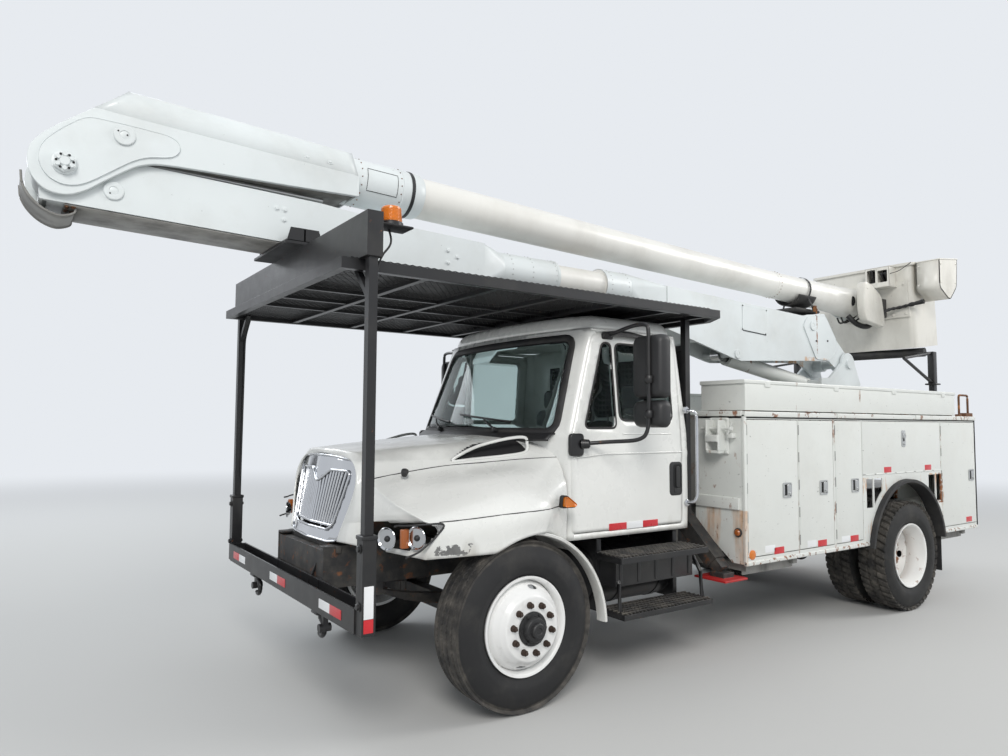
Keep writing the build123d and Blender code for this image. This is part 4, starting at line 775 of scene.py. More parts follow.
def makeStage():
    # a pale floor and a pale surround; lamps high on the near side and behind
    size, pale = 90, (0.80, 0.83, 0.87, 1)
    mesh = bpy.data.meshes.new("floor")
    mesh.from_pydata([(-size, -size, 0), (size, -size, 0), (size, size, 0), (-size, size, 0)], [],
        [(0, 1, 2, 3)])
    floorMat = bpy.data.materials.new("floorPale")
    floorMat.use_nodes = True
    tree = floorMat.node_tree
    base = given(tree, tree.nodes["Principled BSDF"], {"Base Color": (0.56, 0.56, 0.55, 1), "Roughness": 0.9})
    mesh.materials.append(floorMat)
    # the surround's share of the floor's colour is a smoothstep of the distance, from 7 m to 24 m
    place = tree.nodes.new("ShaderNodeTexCoord").outputs["Object"]
    far = nodeIn(tree, "VectorMath", {0: place}, operation="LENGTH").outputs["Value"]
    fade = nodeIn(tree, "MapRange", {"Value": far, "From Min": 7, "From Max": 24},
        interpolation_type="SMOOTHSTEP")
    distant = nodeIn(tree, "Emission", {"Color": pale})
    both = nodeIn(tree, "MixShader", {0: fade.outputs["Result"], 1: base.outputs[0], 2: distant.outputs[0]})
    tree.links.new(both.outputs[0], tree.nodes["Material Output"].inputs["Surface"])
    floor = bpy.data.objects.new("floor", mesh)
    bpy.context.collection.objects.link(floor)
    world = bpy.data.worlds.new("studio")
    bpy.context.scene.world = world
    world.use_nodes = True
    tree = world.node_tree
    # the lighting colour for diffuse rays, the pale one where the surround is seen or mirrored
    light = given(tree, tree.nodes["Background"], {"Color": (0.90, 0.95, 1.0, 1), "Strength": 0.62})
    seen = nodeIn(tree, "Background", {"Color": pale})
    ray = tree.nodes.new("ShaderNodeLightPath").outputs
    direct = mathIn(tree, "MAXIMUM", ray["Is Camera Ray"], ray["Is Glossy Ray"])
    share = mathIn(tree, "MAXIMUM", direct, ray["Is Transmission Ray"])
    mix = nodeIn(tree, "MixShader", {0: share, 1: light.outputs[0], 2: seen.outputs[0]})
    tree.links.new(mix.outputs[0], tree.nodes["World Output"].inputs[0])
    lamps = {
        "key": ((9, 12, 11), 7, 1500, (1.0, 0.975, 0.94)),
        "rim": ((-11, 7, 9), 6, 700, (1.0, 0.98, 0.95)),
        "far": ((5, -12, 9), 7, 600, (0.92, 0.96, 1.0)),
    }
    for name, (place, size, watts, color) in lamps.items():
        data = bpy.data.lights.new(name, "AREA")
        data.shape, data.size, data.energy, data.color = "DISK", size, watts, color
        lamp = bpy.data.objects.new(name, data)
        bpy.context.collection.objects.link(lamp)
        lamp.matrix_world = Matrix.Translation(place) @ (Vector((0, 0,
            1.2)) - Vector(place)).to_track_quat("-Z", "Y").to_matrix().to_4x4()


makeCamera(cameraView)
makeStage()
scene = bpy.context.scene
scene.view_settings.view_transform = "Standard"
print("camera and stage ready")


# Tyres: a section turned about the axle, with grooves or lugs pressed into its outer band
tyreForm = {
    "width": 0.272,
    "bead": 0.300,
    "tread": 0.120,      # half width of the tread
    "groove": 0.011,
    "lug": 0.017,
    "around": 264,
    "lugs": 46,          # cross bars of a rear tyre
    "aroundRear": 368,
}


def tyreSection(t):
    # half section from bead to bead: (across, radius), the side bulging as a sine
    s = np.linspace(0, 1, 16)
    side = t["width"] / 2 * (0.78 + 0.22 * np.sin(np.pi * s ** 0.9))
    sideR = t["bead"] + (0.487 - t["bead"]) * s
    rings = 0.0022 * (np.abs(s - 0.34) < 0.04) + 0.0018 * (np.abs(s - 0.86) < 0.05)
    left = np.stack([-(side - 0.004 + rings), sideR], axis=-1)
    across = np.linspace(-t["tread"], t["tread"], 33)
    crown = tyreRadius - 0.002 - 0.006 * (np.abs(across) / t["tread"]) ** 3
    top = np.stack([across, crown], axis=-1)
    return np.vstack([left, top, left[::-1] * [-1, 1]]), len(left), len(across)


def frontTread(across, angle):
    # four round grooves that wander a little from side to side
    sway = 0.0025 * np.sign(np.sin(angle * 90))
    lines = np.array([-0.078, -0.027, 0.027, 0.078])
    near = np.abs(across[None] + sway[:, None] - lines[:, None, None]).min(axis=0)
    return np.where(near < 0.0052, 1.0, 0.0)


def rearTread(across, angle):
    # staggered cross bars, broken by two round grooves
    lugs = tyreForm["lugs"]
    half = np.sign(across)[None] * math.pi / lugs
    lean = across[None] * 1.6
    bars = np.sin((angle[:, None] + half + lean * 0.5) * lugs)
    cross = np.clip((bars - 0.52) * 8, 0, 1)
    near = np.abs(np.abs(across) - 0.036)[None]
    return np.maximum(cross * (np.abs(across)[None] > 0.02), np.where(near < 0.005, 1.0, 0.0))


def tyreShape(centre, tread, depth, around):
    # radius less depth times tread over the band, faded at the shoulders
    profile, nSide, nTop = tyreSection(tyreForm)
    a = np.linspace(0, 2 * math.pi, around, endpoint=False)
    across = np.broadcast_to(profile[:, 0], (around, len(profile))).copy()
    radius = np.broadcast_to(profile[:, 1], (around, len(profile))).copy()
    band = slice(nSide, nSide + nTop)
    press = tread(profile[band, 0], a) * depth
    radius[:, band] -= press
    shoulder = (press[:, :1], press[:, -1:])
    radius[:, nSide - 2:nSide] -= shoulder[0] * [0.3, 0.8]
    radius[:, nSide + nTop:nSide + nTop + 2] -= shoulder[1] * [0.8, 0.3]
    x = centre[0] + radius * np.cos(a)[:, None]
    z = centre[2] + radius * np.sin(a)[:, None]
    outer = np.stack([x, centre[1] + across, z], axis=-1)
    return grid(outer, closeU=True, closeV=True, flip=True)


def makeWheels():
    # one front tyre and a pair of rear tyres a side, each in its node's span
    t = tyreForm
    for side, _ in sides:
        y = sum(p[1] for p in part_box("tyre_front_" + side)) / 2
        front = tyreShape((axleX, y, wheelZ), frontTread, t["groove"], t["around"])
        piece("tyreFront_" + side, front, tyreFront, "wheel_front_" + side, replaces=["tyre_front_" + side],
            smooth=40)
        low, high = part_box("tyre_rear_" + side)
        pair = [tyreShape((rearAxleX, k, wheelZ), rearTread, t["lug"], t["aroundRear"])
            for k in (low[1] + t["width"] / 2, high[1] - t["width"] / 2)]
        piece("tyreRear_" + side, pair, tyreRear, "wheel_rear_" + side, replaces=["tyre_rear_" + side],
            smooth=40)


makeWheels()
print("wheels ready")


# Hood and fenders: smooth sections from the cab to the nose
hoodForm = {
    # station, crown z, top y, top z, crease y, crease z, shoulder y, shoulder z, outer y, outer z, bottom z
    "sections": [
        (-0.425, 1.665, 0.700, 1.628, 0.880, 1.545, 0.985, 1.385, 1.015, 1.270, 0.99),
        (0.000, 1.640, 0.630, 1.598, 0.795, 1.480, 0.975, 1.400, 1.148, 1.230, 0.99),
        (0.480, 1.605, 0.550, 1.568, 0.705, 1.435, 0.930, 1.350, 1.148, 1.190, 0.985),
        (0.960, 1.560, 0.460, 1.528, 0.590, 1.390, 0.815, 1.280, 1.095, 1.150, 0.960),
    ],
    "noseY": [0.0, 0.3, 0.64, 0.9, 1.0, 1.06, 1.11, 1.14, 1.16],
    "noseX": [0.962, 0.940, 0.872, 0.792, 0.752, 0.712, 0.640, 0.545, 0.530],
    "noseLean": 0.1875,
    "archCentre": (-0.020, 0.415),
    "archRadius": 0.642,
    "rows": 112,
    "columns": 90,
    "lamp": [(0.925, 0.985), (0.905, 1.06), (0.860, 1.13), (0.76, 1.150), (0.566, 1.160), (0.60, 1.105),
        (0.700, 1.020), (0.80, 0.985)],
    "scoop": [(0.255, 1.488), (0.12, 1.498), (-0.12, 1.520), (-0.250, 1.545), (-0.262, 1.60), (-0.240, 1.640),
              (-0.12, 1.632), (0.06, 1.590), (0.18, 1.540)],
    "seam": [(0.80, 1.385), (0.55, 1.428), (0.319, 1.462), (0.0, 1.482), (-0.20, 1.500), (-0.425, 1.510)],
    "lowSeam": [(0.58, 1.168), (0.40, 1.176), (0.10, 1.196), (-0.20, 1.204), (-0.36, 1.205), (-0.425, 1.196)],
}


def eased(t, knots, rows):
    # a smooth curve through rows at knots: cubic with averaged slopes
    knots, rows = np.asarray(knots, float), np.asarray(rows, float)
    slope = np.gradient(rows, knots, axis=0)
    i = np.clip(np.searchsorted(knots, t) - 1, 0, len(knots) - 2)
    h = (knots[i + 1] - knots[i])[:, None]
    s = ((t - knots[i]) / h[:, 0])[:, None]
    a = (1 + 2 * s) * (1 - s) ** 2 * rows[i] + s * (1 - s) ** 2 * h * slope[i]
    return a + s ** 2 * (3 - 2 * s) * rows[i + 1] + s ** 2 * (s - 1) * h * slope[i + 1]


def archHeight(x, f):
    # the fender's lower edge: round over the wheel, falling gently to the nose
    cx, cz = f["archCentre"]
    back = cz + np.sqrt(np.clip(f["archRadius"] ** 2 - (x - cx) ** 2, 0, None))
    ahead = cz + f["archRadius"] - 0.092 * np.clip((x - cx) / 0.51, 0, 1) ** 2.65
    edge = np.where(x < cx, back, ahead)
    return np.maximum(edge, 0.962)


def hoodSurface(f):
    # points[row, column]: rows run from the cab to the nose, columns from the middle down the side
    table = np.asarray(f["sections"])
    s = np.linspace(0, 1, f["rows"])
    station = table[0, 0] + s * (table[-1, 0] - table[0, 0])
    rows = eased(station, table[:, 0], table[:, 1:])
    low = archHeight(station, f)
    zero = np.zeros(len(s))
    y = np.stack([zero, rows[:, 1] * 0.55, rows[:, 1], rows[:, 3], rows[:, 5], rows[:, 7],
        rows[:, 7] - 0.006], 1)
    crownZ = rows[:, 0]
    z = np.stack([crownZ, crownZ * 0.86 + rows[:, 2] * 0.14, rows[:, 2], rows[:, 4], rows[:, 6], rows[:, 8],
        low], 1)
    z[:, 5] = np.maximum(z[:, 5], low + 0.05)
    knots = np.array([0, 0.22, 0.40, 0.56, 0.72, 0.87, 1.0])
    v = np.linspace(0, 1, f["columns"])
    y = eased(v, knots, y.T).T
    z = eased(v, knots, z.T).T
    nose = np.interp(y, f["noseY"], f["noseX"]) - f["noseLean"] * (z - 0.9)
    x = table[0, 0] + s[:, None] * (nose - table[0, 0])
    return np.stack([x, y, z], -1)


def noseFace(edge):
    # rows that round the nose's edge and run inwards to the grille's opening
    n = len(edge)
    v = np.linspace(0, 1, n)[:, None]
    knots = np.array([0, 0.30, 0.42, 1.0])
    goal = eased(v[:, 0], knots, [[0.835, 0, 1.512], [0.838, 0.44, 1.485], [0.845, 0.51, 1.43],
        [0.925, 0.42, 1.0]])
    way = goal - edge
    way[:, 0] = 0
    way /= np.maximum(np.linalg.norm(way, axis=1), 1e-6)[:, None]
    r = 0.03
    rows = []
    for a in np.radians([0, 22, 45, 67, 90])[1:]:
        rows.append(edge + way * r * (1 - math.cos(a)) + [r * math.sin(a) * 0.55, 0, 0])
    last = rows[-1]
    for k in (0.15, 0.4, 0.7, 1.0):
        rows.append(last + (goal - last) * k)
    return np.stack(rows)


def sideAt(surface, xz):
    # the fender point nearest to each (x, z), seen from the side
    flat = surface[:, 45:].reshape(-1, 3)
    xz = np.asarray(xz, float)
    far = ((flat[None, :, [0, 2]] - xz[:, None]) ** 2).sum(-1)
    order = np.argsort(far, axis=1)[:, :4]
    w = 1 / (np.take_along_axis(far, order, 1) + 1e-7)
    y = (flat[order, 1] * w).sum(1) / w.sum(1)
    return np.stack([xz[:, 0], y, xz[:, 1]], -1)


def smoothLoop(points, steps=6):
    # a closed curve through points: cubic between neighbours
    p = np.asarray(points, float)
    s = np.linspace(0, 1, steps, endpoint=False)[:, None, None]
    p0, p1, p2, p3 = (np.roll(p, k, axis=0)[None] for k in (1, 0, -1, -2))
    out = 0.5 * (2 * p1 + (p2 - p0) * s + (2 * p0 - 5 * p1 + 4 * p2 - p3) * s ** 2
        + (3 * p1 - p0 - 3 * p2 + p3) * s ** 3)
    return out.transpose(1, 0, 2).reshape(-1, p.shape[1])


def patch(surface, outline, lift):
    # the fender's quads inside an outline, lifted off the surface along y
    v, f = grid(surface)
    quads = np.array(f)
    mid = v[quads].mean(axis=1)
    keep = insideOf(outline, mid[:, [0, 2]]) & (mid[:, 1] > 0.6)
    used, inverse = np.unique(quads[keep], return_inverse=True)
    return v[used] + [lift * 0.4, lift, 0], [tuple(q) for q in inverse.reshape(-1, 4).tolist()]


def makeHood(f):
    # the skin with its lamp openings, and all that is laid on it, made left and mirrored
    shift = np.array([axleX, 0, 0])
    surface = hoodSurface(f)
    lampLine = smoothLoop(f["lamp"])
    skinV, skinF = grid(np.concatenate([surface, noseFace(surface[-1])]))
    mid = skinV[np.array(skinF)].mean(axis=1)
    cut = insideOf(lampLine, mid[:, [0, 2]]) & (mid[:, 1] > 0.6)
    skinF = [q for q, c in zip(skinF, cut) if not c]
    skin = (skinV + shift, skinF)
    hood = piece("hoodSkin", both(skin), cabPaint, "hood", replaces=["hood"], smooth=50)
    walled(welded(hood, 0.0005), 0.012)
    flare = hoodFlare(f)
    v, q = patch(surface, lampLine, 0.002)
    lens = (v + shift, q)
    back = (v - [0.035, 0.05, 0] + shift, q)
    edge = np.array(smoothLine([(0.80, 1.146), (0.76, 1.150), (0.566, 1.160), (0.60, 1.105), (0.700, 1.020),
        (0.79, 0.988)], 8))
    rim = tube(sideAt(surface, edge) + shift + [0.002, 0.002, 0], 0.006, 8)
    # the intake inside its ring as a flat near-black patch: its black mesh together with painted shade of the
    # opening behind
    scoopLine = smoothLoop(f["scoop"])
    sv, sq = patch(surface, scoopLine, 0.003)
    ring = tube(sideAt(surface, scoopLine) + shift + [0, 0.001, 0], 0.011, 10, closed=True)
    seamLine = tube(sideAt(surface, rounded(f["seam"], 0.3, 6)) + shift + [0, -0.0005, 0], 0.0035, 6)
    lowLine = tube(sideAt(surface, rounded(f["lowSeam"], 0.3, 6)) + shift + [0, -0.001, 0], 0.0035, 6)
    bowl = [(0.0, 0.001), (0.001, 0.016), (0.010, 0.040), (0.030, 0.058), (0.036, 0.064), (0.034, 0.066),
        (0.026, 0.064)]
    places = ((0.775, 0.86, 1.065), (0.665, 1.015, 1.080))
    bulbs = joined([turned(bowl, at(x, y, z), (0.9, 0.42, 0), 32) for x, y, z in places])
    caps = joined([turned([(0.012, 0.001), (0.014, 0.016), (0.030, 0.018), (0.040, 0.012), (0.043, 0.001)],
        at(x, y, z), (0.9, 0.42, 0), 20) for x, y, z in places])
    insert = padBox(at(0.715, 0.955, 1.020), at(0.765, 0.990, 1.128), 0.012, axis=2, edge=0.006)
    for name, shape, material, slot, gone in (("hoodFlares", flare, cabPaint, "white_paint",
            ["fender_flares"]),
            ("headlightLens", lens, lampLens, "lamp_glass", ["headlights"]),
            ("headlightBack", back, lampBowl, "chrome", ()),
            ("headlightBowls", bulbs, chrome, "chrome", ()),
            ("headlightCaps", caps, plasticBlack, "trim_grey", ()),
            ("headlightInserts", insert, amberDark, "amber", ()),
            ("headlightRims", rim, plasticBlack, "trim_grey", ()),
            ("scoopMeshAndShade", (sv + shift, sq), gapBlack, "trim_grey", ()),
            ("scoopRings", ring, cabPaint, "white_paint", ()),
            ("hoodSeams", joined([seamLine, lowLine]), gapBlack, "rubber", ())):
        piece(name, both(shape), material, "hood", slot, gone, smooth=50)


def hoodFlare(f):
    # splash flare behind the wheel: a curved band with a rolled outer lip
    a = np.radians(np.linspace(97, 178, 40))
    cx, cz = f["archCentre"]
    section = [(1.050, -0.010), (1.112, -0.010), (1.126, -0.004), (1.130, 0.010), (1.126, 0.014),
        (1.108, 0.006), (1.050, 0.006)]
    rings = [line3(axleX + cx + (f["archRadius"] + h) * np.cos(a), y, cz + (f["archRadius"] + h) * np.sin(a))
        for y, h in section]
    return lofted(np.stack(rings, axis=1), flip=True)


makeHood(hoodForm)
print("hood ready")


# Rims: a rolled barrel, a dished disc with two hand holes, ten nuts and the hub
rimForm = {
    # outwards from the tyre's middle, radius
    "barrel": [(0.118, 0.298), (0.110, 0.299), (0.104, 0.292), (0.104, 0.2855), (0.060, 0.281),
               (0.032, 0.264), (-0.032, 0.264), (-0.060, 0.281), (-0.104, 0.2855), (-0.104, 0.297),
               (-0.110, 0.299), (-0.118, 0.296), (-0.116, 0.276), (-0.064, 0.270), (-0.036, 0.253),
               (0.036, 0.253), (0.064, 0.270), (0.110, 0.277), (0.117, 0.285)],
    "disc": [(0.060, 0.262), (0.075, 0.255), (0.105, 0.240), (0.140, 0.214), (0.158, 0.196),
             (0.167, 0.188), (0.167, 0.168), (0.167, 0.146), (0.167, 0.124), (0.167, 0.100)],
    "thick": 0.011,
    "holeAngles": (100, -80),
    "hole": (0.033, 0.022), "holeRadius": 0.232,
    "nut": 0.033,
    "nutHeight": 0.026,
    "circle": 0.142875,
    "around": 96,
}


def discShape(f, centre, d, dish, holes):
    # the disc's outer face turned about the axle, with its ovals left out
    rows = np.asarray(f["disc"])
    s = np.concatenate([[0], np.cumsum(np.linalg.norm(np.diff(rows, axis=0), axis=1))])
    t = np.linspace(0, s[-1], 44)
    out, radius = np.interp(t, s, rows[:, 0]), np.interp(t, s, rows[:, 1])
    a = np.linspace(0, 2 * math.pi, f["around"] * 2, endpoint=False)
    x = centre[0] + radius * np.cos(a)[:, None]
    z = centre[2] + radius * np.sin(a)[:, None]
    y = np.broadcast_to(centre[1] + d * dish * out, x.shape)
    points = np.stack([x, y, z], -1)
    spot = np.argmin(np.abs(radius - f["holeRadius"]))
    stepA, stepS = f["holeRadius"] * 2 * math.pi / len(a), s[-1] / (len(t) - 1)
    spots = [((h / 360 * len(a)) % len(a), spot, f["hole"][0] / stepA, f["hole"][1] / stepS) for h in holes]
    return pierced(points, spots, closeU=True)


def makeRim(name, wheel, x, ys, dishes, d, material, body):
    # barrels and discs at ys, the outer disc's nuts and studs; gives the hub's place and axis
    f = rimForm
    barrels, discs = [], []
    for y, dish in zip(ys, dishes):
        centre = (x, d * y, wheelZ)
        barrels.append(spun([(d * o, r) for o, r in f["barrel"]], centre, around=f["around"]))
        holes = f["holeAngles"] if dish > 0 else (10, 190)
        discs.append(discShape(f, centre, d, dish, holes))
    piece(name + "_barrel", joined(barrels), material, body, "rim_paint", [wheel], smooth=50)
    disc = piece(name + "_disc", joined(discs), material, body, "rim_paint", smooth=50)
    walled(disc, f["thick"], 0)
    face = d * (ys[-1] + dishes[-1] * 0.167 + 0.006)
    axis = (0, d, 0)
    places = ringPlaces((x, face, wheelZ), f["circle"], 10, axis, 9)
    nutShapes = [bolts(places, axis, f["nut"], f["nutHeight"], 0.020)]
    nutShapes += [turned([(0, 0.010), (0.036, 0.010), (0.038, 0.008)], p, axis, 14) for p in places]
    piece(name + "_nuts", nutShapes, nutSteel, body, smooth=30)
    return face, axis


def makeRims():
    # rims with their hubs: single in front, twins with the discs back to back behind
    yFront = sum(p[1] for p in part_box("tyre_front_left")) / 2
    low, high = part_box("tyre_rear_left")
    half = tyreForm["width"] / 2
    for side, d in sides:
        body = "wheel_front_" + side
        face, axis = makeRim("rimFront_" + side, "rim_front_" + side, axleX, [yFront], [1], d, rimFront, body)
        hub = joined([turned([(-0.10, 0.098), (0.008, 0.100), (0.012, 0.098), (0.013, 0.078), (0.040, 0.072),
            (0.046, 0.066), (0.048, 0.048), (0.066, 0.044), (0.071, 0.038), (0.071, 0.022), (0.066, 0.018)],
            (axleX, face, wheelZ), axis, 48), bolts(ringPlaces((axleX, face + d * 0.012, wheelZ), 0.087, 6,
            axis, 30), axis, 0.016, 0.009)])
        piece("hubFront_" + side, hub, plasticBlack, body, "rim_paint", smooth=35)
        body = "wheel_rear_" + side
        face, axis = makeRim("rimRear_" + side, "rim_rear_" + side, rearAxleX,
            [low[1] + half, high[1] - half], [1, -1], d, rimRear, body)
        hub = joined([turned([(-0.02, 0.100), (0.030, 0.098), (0.036, 0.092), (0.060, 0.088), (0.066, 0.082),
            (0.070, 0.050), (0.084, 0.044), (0.088, 0.036)], (rearAxleX, face, wheelZ), axis, 40),
            bolts(ringPlaces((rearAxleX, face + d * 0.066, wheelZ), 0.066, 8, axis, 12), axis, 0.018, 0.012)])
        piece("hubRear_" + side, hub, rimRear, body, smooth=35)


makeRims()
print("rims ready")


# Nose: chromed shield with its bars, hood latches, fender markers and the bumper's tapes and fittings
noseForm = {
    "outer": [(0, 0.985), (0.30, 0.985), (0.405, 1.0), (0.43, 1.05), (0.47, 1.22), (0.512, 1.40),
        (0.512, 1.44), (0.485, 1.478), (0.40, 1.497), (0.20, 1.512), (0, 1.518)],
    "inner": [(0, 1.055), (0.26, 1.055), (0.325, 1.085), (0.372, 1.26), (0.405, 1.385), (0.395, 1.425),
              (0.16, 1.425), (0.05, 1.365), (0, 1.345)],
    "bars": 20,
    "barTop": 0.385, "barBottom": 0.312,
    "barLow": 1.085, "barHigh": 1.42,
    "tapeZ": (0.690, 0.742),
    "tapes": [(-1.097, -0.785), (-0.192, 0.120), (0.710, 1.033)],
}


def noseSkin(y, z, lift=0.012):
    # x of the nose's plan curve less its lean, moved forward by the lift
    x = np.interp(np.abs(y), hoodForm["noseY"],
        hoodForm["noseX"]) - hoodForm["noseLean"] * (np.asarray(z) - 0.9)
    # a soft ridge down the middle of the shield
    x = x + 0.016 * np.exp(-(np.asarray(y) / 0.05) ** 2) * np.clip((np.asarray(z) - 1.30) / 0.1, 0, 1)
    return np.stack([axleX + x + lift, np.asarray(y, float), np.asarray(z, float)], -1)


def bothHalves(line):
    # an outline given for the left half, closed by its mirror image
    return [tuple(p) for p in line] + [(-y, z) for y, z in line[-2:0:-1]]


def makeGrille(f):
    # shield, edges, fins, a back of painted shade, radiator, latches and fender markers
    outer, inner = bothHalves(f["outer"]), bothHalves(f["inner"])
    outer, inner = roundLoop(outer, 0.03, 4), roundLoop(inner, 0.02, 4)
    shield = piece("grilleShield", sheetOn(noseSkin, outer, [inner], 0.022), chrome, "hood",
        replaces=["grille"], smooth=40)
    walled(shield, 0.016)
    shield.modifiers["wall"].use_even_offset = False
    rims = [tube(noseSkin(*np.array(evenly(loop, 0.02)).T, lift=0.014), r, 8, closed=True) for loop,
        r in ((inner, 0.009), (outer, 0.007))]
    piece("grilleEdges", rims, chrome, "hood", smooth=60)
    # flat fins with a low round back: y fans out with height, lift falls off to their edges
    bars, high = [], f["barHigh"]
    share = np.linspace(-1, 1, f["bars"])
    profile = [(-1, -0.004), (-0.9, 0.003), (-0.5, 0.0065), (0, 0.008), (0.5, 0.0065), (0.9, 0.003),
        (1, -0.004)]
    for s in share:
        yTop, yLow = s * f["barTop"], s * f["barBottom"]
        top = high if abs(yTop) > 0.16 else 1.35 + 0.07 * abs(yTop) / 0.16
        z = np.linspace(f["barLow"], top, 12)
        y = yLow + (yTop - yLow) * (z - f["barLow"]) / (high - f["barLow"])
        wide = 0.0082 - 0.0015 * (high - z) / 0.33
        bars.append(lofted(np.stack([noseSkin(y + k * wide, z, h) for k, h in profile], axis=1)))
    across = np.linspace(-0.325, 0.325, 40)
    bars.append(tube(noseSkin(across, np.full(40, 1.083), 0.006), 0.009, 10))
    for y in (-0.21, 0.13):
        bars.append(tube(noseSkin(np.array([y, y + 0.012]), np.array([1.03, 1.078]), -0.005), 0.007, 8))
    piece("grilleBars", bars, chrome, "hood", smooth=60)
    # a near-black sheet just behind the bars: painted shade of the grille's depth
    back = sheetOn(lambda a, b: noseSkin(a, b, -0.006 - 0.05 * (b < 1.085)), roundLoop(insetLoop(outer, 0.02),
        0.02, 3), (), 0.05)
    sheet = piece("grilleShadeBack", back, gapBlack, "hood")
    walled(sheet, 0.006)
    # radiator core and its frame seen between the bars
    fins = [padBox(at(0.655, -0.33, z), at(0.672, 0.33, z + 0.006), 0.002, axis=1)
        for z in np.arange(0.83, 1.32, 0.02)]
    piece("radiatorFins", fins, ironCast)
    channel = [padBox(at(0.900, -0.45, 0.930), at(0.935, 0.45, 0.975), 0.006, axis=1)]
    for d in (1, -1):
        channel += [tube([at(0.90, 0.20 * d, 0.95), at(0.86, 0.20 * d, 0.90), at(0.86, 0.34 * d, 0.80)],
            0.014, 10)]
    piece("noseChannel", channel, chassisBlack)
    # rubber latches of the hood
    latch = []
    for d in (1, -1):
        c = np.array([axleX + 0.605, 0.0, 1.425])
        latch.append(sided(turned([(-0.02, 0.018), (0.006, 0.024), (0.016, 0.022), (0.022, 0.014),
            (0.022, 0.001)], (c[0], 0.700, c[2] + 0.003), (0.1, 0.55, 0.83), 20), d))
    piece("hoodLatches", latch, rubberBlack, "hood", smooth=50)
    # marker lamps on the fenders
    lamp, base = [], []
    for d in (1, -1):
        tri = roundLoop([(-0.292, 1.206), (-0.300, 1.268), (-0.322, 1.272), (-0.392, 1.222), (-0.388, 1.206)],
            0.014, 4)
        lamp.append(xzPlate(tri, 1.105, 0.040, d, 0.010))
        rim = roundLoop([(-0.284, 1.198), (-0.292, 1.275), (-0.322, 1.281), (-0.402, 1.226), (-0.398, 1.198)],
            0.016, 4)
        base.append(xzPlate(rim, 1.100, 0.030, d, 0.003))
    piece("fenderMarkers", lamp, amber, "hood")
    piece("markerBases", base, plasticBlack, "hood")


def makeFront(f):
    # reflecting tapes on the bumper, stickers on the posts, collars at their feet, hooks below
    low, high = f["tapeZ"]
    face = axleX + 1.137
    red, white = [], []
    for k, (a, b) in enumerate(f["tapes"]):
        mid = a + (b - a) * 0.5
        first, second = (red, white) if k == 0 else (white, red)
        first.append(padBox((face, a, low), (face + 0.0022, mid, high), 0.002, axis=0, edge=0.0008))
        second.append(padBox((face, mid, low), (face + 0.0022, b, high), 0.002, axis=0, edge=0.0008))
    for d in (1, -1):
        y = 1.2752 * d
        y1 = 1.2774 * d
        white.append(padBox(at(1.065, y, 0.742), at(1.118, y1, 0.905), 0.002, axis=1, edge=0.0008))
        red.append(padBox(at(1.065, y, 0.672), at(1.118, y1, 0.740), 0.002, axis=1, edge=0.0008))
    piece("frontTapesRed", red, tapeRed)
    piece("frontTapesWhite", white, tapeWhite)
    extra = []
    for d in (1, -1):
        y = 1.237 * d
        # pin bolts through the sleeve, cap ring and gusset at the bumper's end
        for z in (0.80, 1.09):
            extra.append(tube([at(1.09 - 0.052, y, z), at(1.09 + 0.052, y, z)], 0.011, 12))
            extra.append(bolt(at(1.09 + 0.040, y, z), (1, 0, 0), 0.030, 0.014, 0.024))
        extra.append(padBox(at(1.046, y - 0.044, 1.135), at(1.134, y + 0.044, 1.158), 0.006, axis=2))
        # hook under the bumper
        c = np.array([axleX + 1.085, 0.62 * d, 0.60])
        a = np.radians(np.linspace(90, -130, 22))
        ring = line3(c[0], c[1] + 0.048 * np.cos(a), c[2] - 0.045 + 0.048 * np.sin(a))
        stem = np.vstack([[c[0], c[1], 0.668], ring])
        extra.append(tube(stem, np.linspace(0.020, 0.012, len(stem)), 12))
        extra.append(padBox((c[0] - 0.05, c[1] - 0.05, 0.632), (c[0] + 0.05, c[1] + 0.05, 0.655), 0.012,
            axis=2))
    # electrical lead that hangs behind the bumper
    lead = rounded([at(1.00, 0.30, 0.86), at(1.04, 0.24, 0.70), at(1.03, 0.16, 0.62), at(1.02, 0.10, 0.70)],
        0.08, 6)
    extra.append(tube(lead, 0.009, 8))
    piece("frontFittings", extra, blackPaint, smooth=40)


makeGrille(noseForm)
makeFront(noseForm)
print("nose ready")


# Cab: shell in bent sheets, doors with two panes, windscreen, mirrors, roof and what shows inside
cabForm = {
    "half": [(0.90, 1.014), (1.20, 1.020), (1.55, 1.018), (1.70, 1.010), (2.36, 0.945), (2.46, 0.925)],
    "cornerX": [(0.96, -0.425), (1.66, -0.466), (2.36, -0.690), (2.46, -0.722)],
    "noseX": [(0.96, -0.420), (1.60, -0.230), (1.66, -0.200), (2.36, -0.560), (2.46, -0.605)],
    "backX": [(0.96, -1.650), (1.66, -1.650), (2.36, -1.605), (2.46, -1.590)],
    "low": 0.965, "eaves": 2.405, "crown": 2.522,
    "corner": 0.055, "backCorner": 0.10,
    "door": [(-0.456, 1.004), (-0.456, 1.640), (-0.700, 2.352), (-0.735, 2.378), (-1.500, 2.378),
             (-1.536, 2.340), (-1.536, 1.004)],
    "vent": [(-0.590, 1.712), (-0.720, 2.080), (-0.795, 2.300), (-0.868, 2.300), (-0.868, 1.712)],
    "window": [(-0.916, 1.765), (-0.916, 2.300), (-1.440, 2.300), (-1.440, 1.765)],
    "screen": [(-0.880, 1.690), (-0.800, 2.325), (0.800, 2.325), (0.880, 1.690)],
    "rear": [(-0.62, 1.80), (-0.60, 2.24), (0.60, 2.24), (0.62, 1.80)],
    "wall": 0.030,
}


def cabAt(key, z):
    # a row of cabForm read at the height z, straight between its points
    rows = np.array(cabForm[key])
    return np.interp(z, rows[:, 0], rows[:, 1])


def sideSkin(x, z, lift=0.0):
    # the flat side with a slight roll under the belt and a lean above it
    z = np.asarray(z, float)
    roll = 0.006 * np.exp(-((z - 1.515) / 0.02) ** 2)
    return np.stack([axleX + x, cabAt("half", z) + roll + lift, z], -1)


